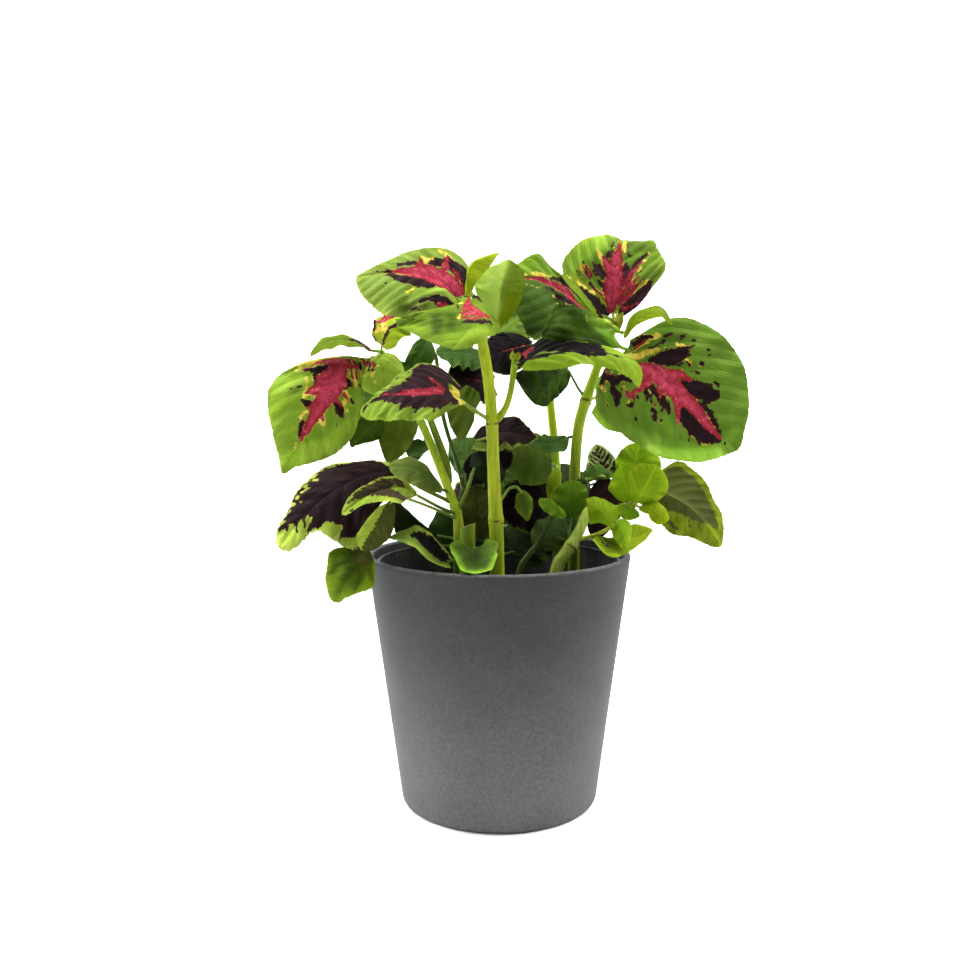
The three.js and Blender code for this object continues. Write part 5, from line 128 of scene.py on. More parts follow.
    {"id": "leaf_RF", "n": "leaf_purple_large_right", "on": "stem_low_right", "b": [76.37, -4.0, 155.12], "m": [[90.35, -8.0, 148.18], [100.48, -9.0, 138.52]], "t": [108.41, -7.0, 127.41], "l": [82.56, -4.0, 132.43], "r": [101.91, 0.0, 162.55], "tw": 0.45, "curl": [-14, -14], "wave": [1.4, 4, 0], "p": "rd", "pet": [[70.52, -1.0, 151.37], [62.44, -10.62, 147.78]], "sw": 0.07, "lb": 0.06, "kind": "purpleunder", "at": [61.28, -12.0, 147.26], "pl": [0.182, 0.486, 0.695, 0.827, 0.894, 0.922, 0.903, 0.884, 0.846, 0.789, 0.704, 0.609, 0.524, 0.467, 0.41, 0.334, 0.268, 0.171, 0.03], "pr": [0.45, 0.881, 0.979, 0.941, 0.903, 0.875, 0.808, 0.742, 0.666, 0.609, 0.562, 0.524, 0.505, 0.457, 0.372, 0.277, 0.182, 0.095, 0.03]},
    {"id": "leaf_T1", "n": "shoot_low_right", "on": "stem_low_right", "b": [53.6, -25.0, 139.87], "m": [[48.79, -30.0, 147.11]], "t": [41.25, -26.0, 152.73], "l": [41.99, -29.0, 140.91], "r": [58.21, -21.0, 149.29], "tw": 0.45, "curl": [-18, -22], "wave": [0.8, 3, 0], "p": "rd", "pet": [[46.81, -23.0, 135.8], [41.52, -21.82, 133.99]], "sw": 0.07, "lb": 0.06, "kind": "bright", "at": [35.66, -20.52, 131.99], "pl": [0.087, 0.182, 0.277, 0.391, 0.543, 0.704, 0.922, 0.979, 0.932, 0.856, 0.799, 0.742, 0.657, 0.562, 0.457, 0.334, 0.22, 0.104, 0.03], "pr": [0.45, 0.758, 0.799, 0.742, 0.666, 0.619, 0.6, 0.571, 0.562, 0.562, 0.552, 0.514, 0.467, 0.429, 0.41, 0.372, 0.296, 0.152, 0.03]},
    {"id": "leaf_T1b", "n": "shoot_low_right", "on": "stem_low_right", "b": [55.1, -24.0, 142.09], "m": [[58.05, -27.0, 137.78]], "t": [61.23, -25.0, 127.05], "l": [63.99, -21.0, 138.81], "r": [50.97, -24.0, 132.14], "tw": 0.42, "curl": [-14, -14], "wave": [0.8, 3, 0], "p": "rd", "pet": [[53.49, -24.0, 139.02]], "sw": 0.07, "lb": 0.06, "kind": "bright", "at": [54.41, -12.08, 146.92], "pl": [0.45, 0.824, 0.846, 0.77, 0.751, 0.742, 0.695, 0.619, 0.581, 0.6, 0.6, 0.543, 0.429, 0.334, 0.277, 0.23, 0.173, 0.095, 0.03], "pr": [0.23, 0.41, 0.543, 0.609, 0.647, 0.647, 0.619, 0.6, 0.562, 0.514, 0.476, 0.457, 0.419, 0.363, 0.287, 0.23, 0.173, 0.095, 0.03]},
    {"id": "leaf_T2", "n": "shoot_low_right", "on": "stem_low_right", "b": [58.16, -19.0, 133.27], "m": [[52.17, -26.0, 130.55]], "t": [43.8, -30.0, 134.49], "l": [52.11, -31.0, 125.26], "r": [49.95, -20.0, 136.31], "tw": 0.45, "curl": [25, 10], "wave": [0.8, 3, 0], "p": "rd", "pet": [[53.49, -24.0, 139.02]], "sw": 0.07, "lb": 0.06, "kind": "dark", "at": [54.41, -12.08, 146.92], "pl": [0.45, 0.954, 1.143, 1.121, 1.045, 0.998, 0.989, 0.998, 1.017, 0.951, 0.789, 0.723, 0.751, 0.761, 0.638, 0.438, 0.296, 0.199, 0.03], "pr": [0.12, 0.17, 0.315, 0.467, 0.59, 0.647, 0.676, 0.742, 0.789, 0.78, 0.704, 0.609, 0.533, 0.514, 0.495, 0.41, 0.277, 0.142, 0.03]},
    {"id": "leaf_T3", "n": "shoot_low_right", "on": "stem_low_right", "b": [59.83, -17.0, 133.93], "m": [[66.32, -15.0, 132.65]], "t": [74.56, -11.0, 135.93], "l": [65.22, -12.0, 139.49], "r": [63.6, -18.0, 125.88], "tw": 0.4, "curl": [-10, -10], "wave": [0, 3, 0], "p": "rd", "pet": [[53.49, -24.0, 139.02]], "sw": 0.07, "lb": 0.06, "kind": "bright", "at": [54.41, -12.08, 146.92], "pl": [0.12, 0.606, 0.808, 0.922, 0.979, 0.989, 0.979, 0.951, 0.932, 0.894, 0.846, 0.789, 0.704, 0.609, 0.514, 0.41, 0.277, 0.142, 0.03], "pr": [0.12, 0.388, 0.78, 0.96, 0.856, 0.704, 0.571, 0.476, 0.429, 0.41, 0.372, 0.325, 0.277, 0.23, 0.182, 0.135, 0.103, 0.095, 0.03]},
    {"id": "back_1", "n": "stem_back", "on": "stem_back", "b": [-10.64, 42.0, 230.75], "m": [[-23.21, 54.0, 245.28]], "t": [-43.98, 66.0, 259.3], "l": [-31.28, 52.0, 232.41], "r": [-24.97, 60.0, 265.03], "tw": 0.45, "curl": [-15, -15], "wave": [1.5, 3, 0], "p": "rd", "pet": [[-6.37, 37.0, 226.85]], "sw": 0.07, "lb": 0.06, "kind": "top", "at": [-6.37, 37.0, 226.85]},
    {"id": "back_2", "n": "stem_back", "on": "stem_back", "b": [-3.25, 42.0, 230.73], "m": [[11.78, 54.0, 241.96]], "t": [37.44, 68.0, 252.67], "l": [17.34, 60.0, 259.52], "r": [20.33, 52.0, 232.23], "tw": 0.45, "curl": [-15, -15], "wave": [1.5, 3, 0], "p": "rd", "pet": [[-6.32, 36.93, 226.17]], "sw": 0.07, "lb": 0.06, "kind": "top", "at": [-6.32, 36.93, 226.17]},
    {"id": "back_3", "n": "stem_back", "on": "stem_back", "b": [-5.88, 42.0, 234.91], "m": [[-4.83, 46.0, 244.58]], "t": [-1.63, 56.0, 263.42], "l": [-9.62, 48.0, 248.43], "r": [3.67, 48.0, 249.95], "tw": 0.45, "curl": [8, 8], "wave": [0.8, 3, 0], "p": "rd", "pet": [[-6.37, 37.0, 226.85]], "sw": 0.07, "lb": 0.06, "kind": "young", "at": [-6.37, 37.0, 226.85]},
    {"id": "back_4", "n": "stem_back_right", "on": "stem_back_right", "b": [27.2, 20.0, 226.97], "m": [[36.38, 36.0, 232.33]], "t": [53.79, 54.0, 236.48], "l": [39.75, 40.0, 243.94], "r": [37.34, 34.0, 220.9], "tw": 0.45, "curl": [-15, -15], "wave": [1.5, 3, 0], "p": "rd", "pet": [[22.53, 12.42, 221.9]], "sw": 0.07, "lb": 0.06, "kind": "mid", "at": [22.53, 12.42, 221.9]},
    {"id": "back_5", "n": "leaf_back_right", "on": "stem_right", "b": [49.04, 14.0, 199.27], "m": [[64.08, 30.0, 199.1]], "t": [91.42, 50.0, 192.42], "l": [70.66, 34.0, 214.59], "r": [65.57, 32.0, 180.37], "tw": 0.45, "curl": [-18, -18], "wave": [1.5, 3, 0], "p": "rd", "pet": [[45.3, 8.37, 198.45]], "sw": 0.07, "lb": 0.06, "kind": "top", "at": [43.09, 5.04, 197.96]},
    {"id": "back_6", "n": "leaf_back_left", "on": "stem_left", "b": [-47.46, 4.0, 197.69], "m": [[-63.51, 22.0, 200.57]], "t": [-88.46, 42.0, 196.29], "l": [-67.86, 22.0, 184.25], "r": [-63.83, 26.0, 212.82], "tw": 0.45, "curl": [-18, -18], "wave": [1.5, 3, 0], "p": "rd", "pet": [[-42.8, -5.78, 197.25]], "sw": 0.07, "lb": 0.06, "kind": "under", "at": [-41.3, -8.93, 197.11]},
    {"id": "back_7", "n": "leaf_back_low_left", "on": "stem_back", "b": [-8.77, 34.0, 137.11], "m": [[-16.57, 48.0, 144.08]], "t": [-27.71, 64.0, 141.18], "l": [-19.92, 48.0, 129.85], "r": [-18.82, 52.0, 155.71], "tw": 0.45, "curl": [-15, -15], "wave": [1.3, 3, 0], "p": "rd", "pet": [[-4.22, 31.2, 136.42]], "sw": 0.07, "lb": 0.06, "kind": "purple", "at": [-1.09, 29.27, 135.93]},
    {"id": "back_8", "n": "stem_back", "on": "stem_back", "b": [7.18, 40.0, 131.99], "m": [[9.55, 52.0, 145.77]], "t": [7.55, 64.0, 169.09], "l": [-3.58, 56.0, 148.69], "r": [27.02, 52.0, 149.03], "tw": 0.45, "curl": [-12, -12], "wave": [1.3, 3, 0], "p": "rd", "pet": [[-0.99, 28.88, 130.45]], "sw": 0.07, "lb": 0.06, "kind": "green", "at": [-0.99, 28.88, 130.45]},
    {"id": "back_9", "n": "stem_back_right", "on": "stem_back_right", "b": [33.42, 32.0, 135.16], "m": [[36.02, 40.0, 146.47]], "t": [34.46, 50.0, 163.39], "l": [23.75, 40.0, 145.96], "r": [49.52, 36.0, 145.28], "tw": 0.45, "curl": [-12, -12], "wave": [1.3, 3, 0], "p": "rd", "pet": [[30.45, 25.15, 131.81]], "sw": 0.07, "lb": 0.06, "kind": "dark", "at": [30.45, 25.15, 131.81]},
    {"id": "back_10", "n": "stem_back", "on": "stem_back", "b": [-7.67, 36.0, 156.06], "m": [[-14.19, 44.0, 165.04]], "t": [-25.31, 54.0, 176.36], "l": [-22.81, 44.0, 159.68], "r": [-6.67, 46.0, 173.49], "tw": 0.45, "curl": [-12, -12], "wave": [1.2, 3, 0], "p": "rd", "pet": [[-1.62, 30.57, 153.75]], "sw": 0.07, "lb": 0.06, "kind": "green", "at": [-1.62, 30.57, 153.75]},
    {"id": "back_11", "n": "leaf_over_rim_back", "on": "stem_back", "b": [-5.7, 42.0, 129.57], "m": [[-4.79, 64.0, 135.5]], "t": [-2.68, 86.0, 122.17], "l": [-17.2, 66.0, 129.61], "r": [7.54, 66.0, 129.56], "tw": 0.5, "curl": [-15, -15], "wave": [1.3, 3, 0], "p": "rd", "pet": [[-2.33, 32.67, 133.71]], "sw": 0.07, "lb": 0.06, "kind": "purple3", "at": [-1.08, 29.22, 135.25]},
    {"id": "back_12", "n": "stem_back", "on": "stem_back", "b": [7.01, 28.0, 118.81], "m": [[15.58, 34.0, 124.24]], "t": [30.97, 44.0, 133.57], "l": [9.33, 40.0, 137.38], "r": [24.18, 36.0, 112.05], "tw": 0.42, "curl": [-14, -14], "wave": [1.2, 3, 0], "p": "rd", "pet": [[-0.79, 27.9, 116.74]], "sw": 0.07, "lb": 0.06, "kind": "green", "at": [-0.79, 27.9, 116.74]},
]

BUDS = {
    'shoot_right': [[64.97, -13.0, 148.58], [2.0, 2.0, 2.2]],
    'shoot_low_right': [[53.49, -24.0, 139.02], [1.8, 1.8, 1.8]],
    'stem_front': [[7.83, -27.6, 217.75], [2.6, 2.2, 2.6]],
    'stem_right': [[58.2, -3.5, 235.73], [2.2, 2.2, 4.0]],
    'stem_back': [[-6.38, 38.0, 228.45], [2.2, 2.2, 2.2]],
}

POT_R_TOP, POT_R_BASE, POT_H, POT_WALL, POT_FLOOR = 65.0, 48.7, 124.0, 3.2, 4.0
SOIL_TOP, GROW_TOP, GROW_WALL = 99.0, 120.0, 1.3
EXPOSURE, WORLD = 0.0, 0.16
# name, place, target, size, power, spread in degrees
LIGHTS = [
    ('key', (-1.15, -.35, .80), (0, 0, .14), (.8, 1.3), 9, 180),
    ('fill', (1.25, -.20, .7), (0, 0, .12), (.7, 1.2), 4, 180),
    ('top', (-.15, -.30, 1.6), (0, 0, .15), (1.2, 1.0), 7, 180),
    ('sweep', (0, 1.2, 1.9), (0, 2.7, .5), (3.0, 1.0), 62, 120),
    ('floor_wash', (0, 1.25, 1.7), (0, 1.45, 0), (3.4, 1.3), 42, 100),
    ('floor_left', (-.95, .1, .9), (-.55, .1, 0), (.5, 1.2), 7, 70),
    ('floor_right', (.95, .1, .9), (.55, .1, 0), (.5, 1.2), 7, 70),
]


# ---- small vector helpers -----------------------------------------------------


def unit(v):
    v = np.asarray(v, float)
    n = np.linalg.norm(v, axis=-1, keepdims=True)
    return v / np.maximum(n, 1e-12)


def smooth(P, n):
    """n + 1 points evenly along a smooth curve through P, and its length"""
    P = np.asarray(P, float)
    if len(P) == 2:
        P = np.array([P[0], (P[0] + P[1]) / 2, P[1]])
    Q = np.vstack([2 * P[0] - P[1], P, 2 * P[-1] - P[-2]])
    out = []
    for i in range(1, len(Q) - 2):
        p0, p1, p2, p3 = Q[i - 1:i + 3]
        t = np.linspace(0, 1, 40, endpoint=False)[:, None]
        out.append(0.5 * ((2 * p1) + (-p0 + p2) * t + (2 * p0 - 5 * p1 + 4 * p2 - p3) * t ** 2 + (-p0 + 3 * p1 - 3 * p2 + p3) * t ** 3))
    out = np.vstack(out + [Q[-2][None]])
    s = np.r_[0, np.cumsum(np.linalg.norm(np.diff(out, axis=0), axis=1))]
    u = np.linspace(0, s[-1], n + 1)
    return np.stack([np.interp(u, s, out[:, k]) for k in range(3)], -1), s[-1]


def tangents(M):
    return unit(np.gradient(M, axis=0))


def turn(v, k, a):
    c, s = math.cos(a), math.sin(a)
    return v * c + np.cross(k, v) * s + k * np.dot(k, v) * (1 - c)


def transport(T, i0, N0):
    N = np.zeros_like(T)
    N[i0] = N0
    for rng, st in ((range(i0 + 1, len(T)), -1), (range(i0 - 1, -1, -1), 1)):
        for i in rng:
            a, b, n = T[i + st], T[i], N[i + st]
            ax = np.cross(a, b)
            l = np.linalg.norm(ax)
            if l > 1e-9:
                n = turn(n, ax / l, math.atan2(l, a @ b))
            n = n - b * (n @ b)
            N[i] = unit(n)
    return N


PROF = {
    'ov': ([0, .05, .12, .2, .3, .42, .55, .7, .82, .91, .97, 1], [.34, .56, .79, .92, 1, .98, .87, .65, .42, .235, .10, .02]),
    'rd': ([0, .05, .12, .2, .32, .45, .6, .75, .86, .94, .98, 1], [.40, .66, .86, .96, 1, .99, .92, .74, .52, .30, .14, .03]),
    'el': ([0, .05, .12, .2, .32, .45, .6, .75, .86, .94, .98, 1], [.14, .32, .56, .77, .95, 1, .93, .70, .46, .24, .11, .02]),
}


def profile(f, key, ts):
    """half width share at the stations ts, smooth between the given ones"""
    if key in f:
        v = np.array(f[key], float)
        x = np.linspace(0, 1, len(v))
    else:
        x, v = (np.array(a, float) for a in PROF[f.get('p', 'ov')])
    v = v.copy()
    v[-1] = 0.008
    m = np.gradient(v, x)
    i = np.clip(np.searchsorted(x, ts, side='right') - 1, 0, len(x) - 2)
    h = x[i + 1] - x[i]
    q = (ts - x[i]) / h
    r = (2 * q ** 3 - 3 * q ** 2 + 1) * v[i] + (q ** 3 - 2 * q ** 2 + q) * h * m[i] + (-2 * q ** 3 + 3 * q ** 2) * v[i + 1] + (q ** 3 - q ** 2) * h * m[i + 1]
    return np.maximum(r, 0.006)


def leaf_grid(f, ts, us):
    """points [t, column] from the left margin over the midrib to the right one"""
    n = 240
    M, L = smooth([f['b']] + list(f['m']) + [f['t']], n)
    T = tangents(M)
    i0 = int(round(f['tw'] * n))

    def side(e):
        d = np.array(e, float) - M[i0]
        d = d - T[i0] * (d @ T[i0])
        w = np.linalg.norm(d)
        return d / w, w
    dl, wl = side(f['l'])
    dr, wr = side(f['r'])
    N0 = unit(np.cross(T[i0], unit(dl - dr)))
    S0 = np.cross(N0, T[i0])
    fl = math.atan2(dl @ N0, dl @ S0)
    fr = math.atan2(dr @ N0, -(dr @ S0))
    N = transport(T, i0, N0)
    x = ts * n
    i = np.minimum(n - 1, np.floor(x)).astype(int)
    g = (x - i)[:, None]
    m = M[i] * (1 - g) + M[i + 1] * g
    tt = unit(T[i] * (1 - g) + T[i + 1] * g)
    nn = unit(N[i] * (1 - g) + N[i + 1] * g)
    ss = np.cross(nn, tt)
    wave, nw, ph = f['wave']
    ns = len(us) - 1
    P = np.zeros((len(ts), 2 * ns + 1, 3))
    W = {}
    for sgn, w, f0, k, key in ((1, wl, fl, math.radians(f['curl'][0]), 'pl'), (-1, wr, fr, math.radians(f['curl'][1]), 'pr')):
        f1 = f0 * (1 - .55 * np.maximum(0, (ts - .6) / .4))
        ww = w * profile(f, key, ts)
        W[key] = ww
        for j, u in enumerate(us):
            if abs(k) > 1e-6:
                xa = (np.sin(f1 + k * (u - .5)) - np.sin(f1 - k * .5)) / k
                ya = (-np.cos(f1 + k * (u - .5)) + np.cos(f1 - k * .5)) / k
            else:
                xa, ya = u * np.cos(f1), u * np.sin(f1)
            along = L * (f['sw'] * u * u * np.minimum(1, ts * 4) * np.sqrt(1 - ts) * 1.4 - f['lb'] * u * u * np.maximum(0, 1 - ts / .22) ** 2)
            wv = wave * u * u * np.sin(2 * math.pi * nw * ts + ph + (0 if sgn > 0 else 1.7)) * np.sin(math.pi * np.minimum(1, ts * 1.08)) ** .7
            P[:, ns - j if sgn > 0 else ns + j] = m + ss * (sgn * ww * xa)[:, None] + nn * (ww * ya + wv)[:, None] + tt * along[:, None]
    return P, L, W['pl'], W['pr'], nn, M


# ---- a piece under construction -------------------------------------------------


class Build:
    """Collects quads, triangles, UV islands and the colour fields of one piece."""

    def __init__(self):
        self.v, self.q, self.t, self.qm, self.tm = [], [], [], [], []
        self.quv, self.tuv = [], []
        self.co, self.cf, self.cg = [], [], []
        self.n = 0
        self.islands = []  # (w, h) and the entries of quv/tuv that belong to it

    def verts(self, P, co=None, cf=None, cg=None):
        P = np.asarray(P, float).reshape(-1, 3)
        k = len(P)
        self.v.append(P)
        for store, val in ((self.co, co), (self.cf, cf), (self.cg, cg)):
            a = np.zeros((k, 4))
            if val is not None:
                a[:] = np.asarray(val, float).reshape(-1, 4)
            store.append(a)
        self.n += k
        return self.n - k

    def island(self, lo, hi):
        self.islands.append((np.array(lo, float), np.array(hi, float)))
        return len(self.islands) - 1

    def quads(self, idx, mat, uv, isl):
        """idx [k, 4] absolute, uv [k, 4, 2] in millimetres on island isl"""
        self.q.append(np.asarray(idx, int).reshape(-1, 4))
        self.qm.append(np.full(len(self.q[-1]), mat))
        self.quv.append((np.asarray(uv, float).reshape(-1, 4, 2), isl))

    def tris(self, idx, mat, uv, isl):
        self.t.append(np.asarray(idx, int).reshape(-1, 3))
        self.tm.append(np.full(len(self.t[-1]), mat))
        self.tuv.append((np.asarray(uv, float).reshape(-1, 3, 2), isl))

    def pack(self):
        size = [hi - lo + 1.2 for lo, hi in self.islands]
        area = sum(s[0] * s[1] for s in size)
        width = max(math.sqrt(area) * 1.12, max(s[0] for s in size))
        order = sorted(range(len(size)), key=lambda i: -size[i][1])
        x = y = row = 0.0
        place = {}
        for i in order:
            w, h = size[i]
            if x + w > width + 1e-6:
                x, y, row = 0.0, y + row, 0.0
            place[i] = np.array([x, y]) + 0.6 - self.islands[i][0]
            x += w
            row = max(row, h)
        return place, max(width, y + row)

    def make(self, name, mats):
        V = np.vstack(self.v) / 1000.0
        Q = np.vstack(self.q) if self.q else np.zeros((0, 4), int)
        T = np.vstack(self.t) if self.t else np.zeros((0, 3), int)
        me = bpy.data.meshes.new(name)
        me.vertices.add(len(V))
        me.vertices.foreach_set('co', V.astype(np.float32).ravel())
        loops = np.concatenate([Q.ravel(), T.ravel()]).astype(np.int32)
        me.loops.add(len(loops))
        me.loops.foreach_set('vertex_index', loops)
        starts = np.concatenate([np.arange(len(Q)) * 4, 4 * len(Q) + np.arange(len(T)) * 3]).astype(np.int32)
        me.polygons.add(len(starts))
        me.polygons.foreach_set('loop_start', starts)
        me.polygons.foreach_set('material_index', np.concatenate(self.qm + self.tm).astype(np.int32))
        me.update(calc_edges=True)
        me.polygons.foreach_set('use_smooth', np.ones(len(starts), bool))
        place, side = self.pack()
        uv = np.vstack([(a + place[i]).reshape(-1, 2) for a, i in self.quv + self.tuv]) / side
        layer = me.uv_layers.new(name='OFBake')
        layer.data.foreach_set('uv', uv.astype(np.float32).ravel())
        for key, store in (('co', self.co), ('cf', self.cf), ('cg', self.cg)):
            a = me.attributes.new(key, 'FLOAT_COLOR', 'POINT')
            a.data.foreach_set('color', np.vstack(store).astype(np.float32).ravel())
        for m in mats:
            me.materials.append(m)
        ob = bpy.data.objects.new(name, me)
        bpy.context.scene.collection.objects.link(ob)
        return ob


def tube(B, path, radii, mat, sides=10, step=1.4, square=0.0, co=None, colour=(.3, .4, .06, 1), field=None, twist=0.0, flat=None, cap=True):
    """Rings of a tube along a smooth path, and their colour fields; add_tube makes the faces and caps. square > 0 makes
    its section four-sided.
    """
    P0 = np.asarray(path, float)
    n = max(3, int(round(sum(np.linalg.norm(np.diff(P0, axis=0), axis=1)) / step)))
    C, L = smooth(P0, n)
    d = np.r_[0, np.cumsum(np.linalg.norm(np.diff(P0, axis=0), axis=1))]
    rad = np.interp(np.linspace(0, 1, n + 1), d / d[-1], radii)
    T = tangents(C)
    ref = np.array([0, 1.0, 0]) if abs(T[0][1]) < .8 else np.array([1.0, 0, 0])
    N0 = unit(ref - T[0] * (ref @ T[0]))
    N = transport(T, 0, N0)
    Bn = np.cross(T, N)
    a = np.linspace(0, 2 * math.pi, sides, endpoint=False)
    shape = 1 + square * (np.cos(4 * a) * -1)
    if callable(field):
        bulge = field(C, np.linspace(0, L, n + 1))
    else:
        bulge = np.zeros(n + 1)
    ring = C[:, None] + (rad * (1 + bulge))[:, None, None] * shape[None, :, None] * (np.cos(a + twist)[None, :, None] * N[:, None] + np.sin(a + twist)[None, :, None] * Bn[:, None])
    k = n + 1
    s = np.linspace(0, L, k)
    cov = np.zeros((k, sides, 4))
    cov[..., 0] = s[:, None]
    cov[..., 1] = (a * 3.0)[None]
    cov[..., 2] = s[::-1][:, None]
    cov[..., 3] = 0.37 if co is None else co
    cf = np.zeros((k, sides, 4))
    return ring, cov, cf, C, s, rad, N, Bn


def add_tube(B, ring, cov, cf, cg, rad, mat, cap=True):
    k, sides = ring.shape[:2]
    base = B.verts(ring, cov, cf, cg)
    I = base + np.arange(k * sides).reshape(k, sides)
    J = np.roll(I, -1, axis=1)
    quads = np.stack([I[:-1], J[:-1], J[1:], I[1:]], -1).reshape(-1, 4)
    s = cov[:, 0, 0]
    w = 2 * math.pi * float(np.mean(rad)) / sides
    xs = np.arange(sides) * w
    uv = np.zeros((k - 1, sides, 4, 2))
    uv[..., 0, 0] = xs
    uv[..., 3, 0] = xs
    uv[..., 1, 0] = xs + w
    uv[..., 2, 0] = xs + w
    uv[..., 0, 1] = s[:-1, None]
    uv[..., 1, 1] = s[:-1, None]
    uv[..., 2, 1] = s[1:, None]
    uv[..., 3, 1] = s[1:, None]
    r0 = float(np.max(rad))
    isl = B.island([-.1, s[0] - 2 * r0 - .3], [sides * w + .1, s[-1] + 2 * r0 + .3])
    B.quads(quads, mat, uv, isl)
    if cap:
        for row, flip, y in ((0, True, s[0] - r0), (k - 1, False, s[-1] + r0)):
            c = B.verts(ring[row].mean(0)[None], cov[row].mean(0)[None], cf[row].mean(0)[None], cg.reshape(k, sides, 4)[row].mean(0)[None])
            a, b = I[row], J[row]
            tri = np.stack([b, a, np.full(sides, c)] if flip else [a, b, np.full(sides, c)], -1)
            ang = np.linspace(0, 2 * math.pi, sides, endpoint=False)
            pa = np.stack([r0 + np.cos(ang) * r0 * .95, y + np.sin(ang) * r0 * .95], -1)
            pb = np.roll(pa, -1, axis=0)
            pc = np.tile([[r0, y]], (sides, 1))
            B.tris(tri, mat, np.stack([pb, pa, pc] if flip else [pa, pb, pc], 1), isl)
    return base
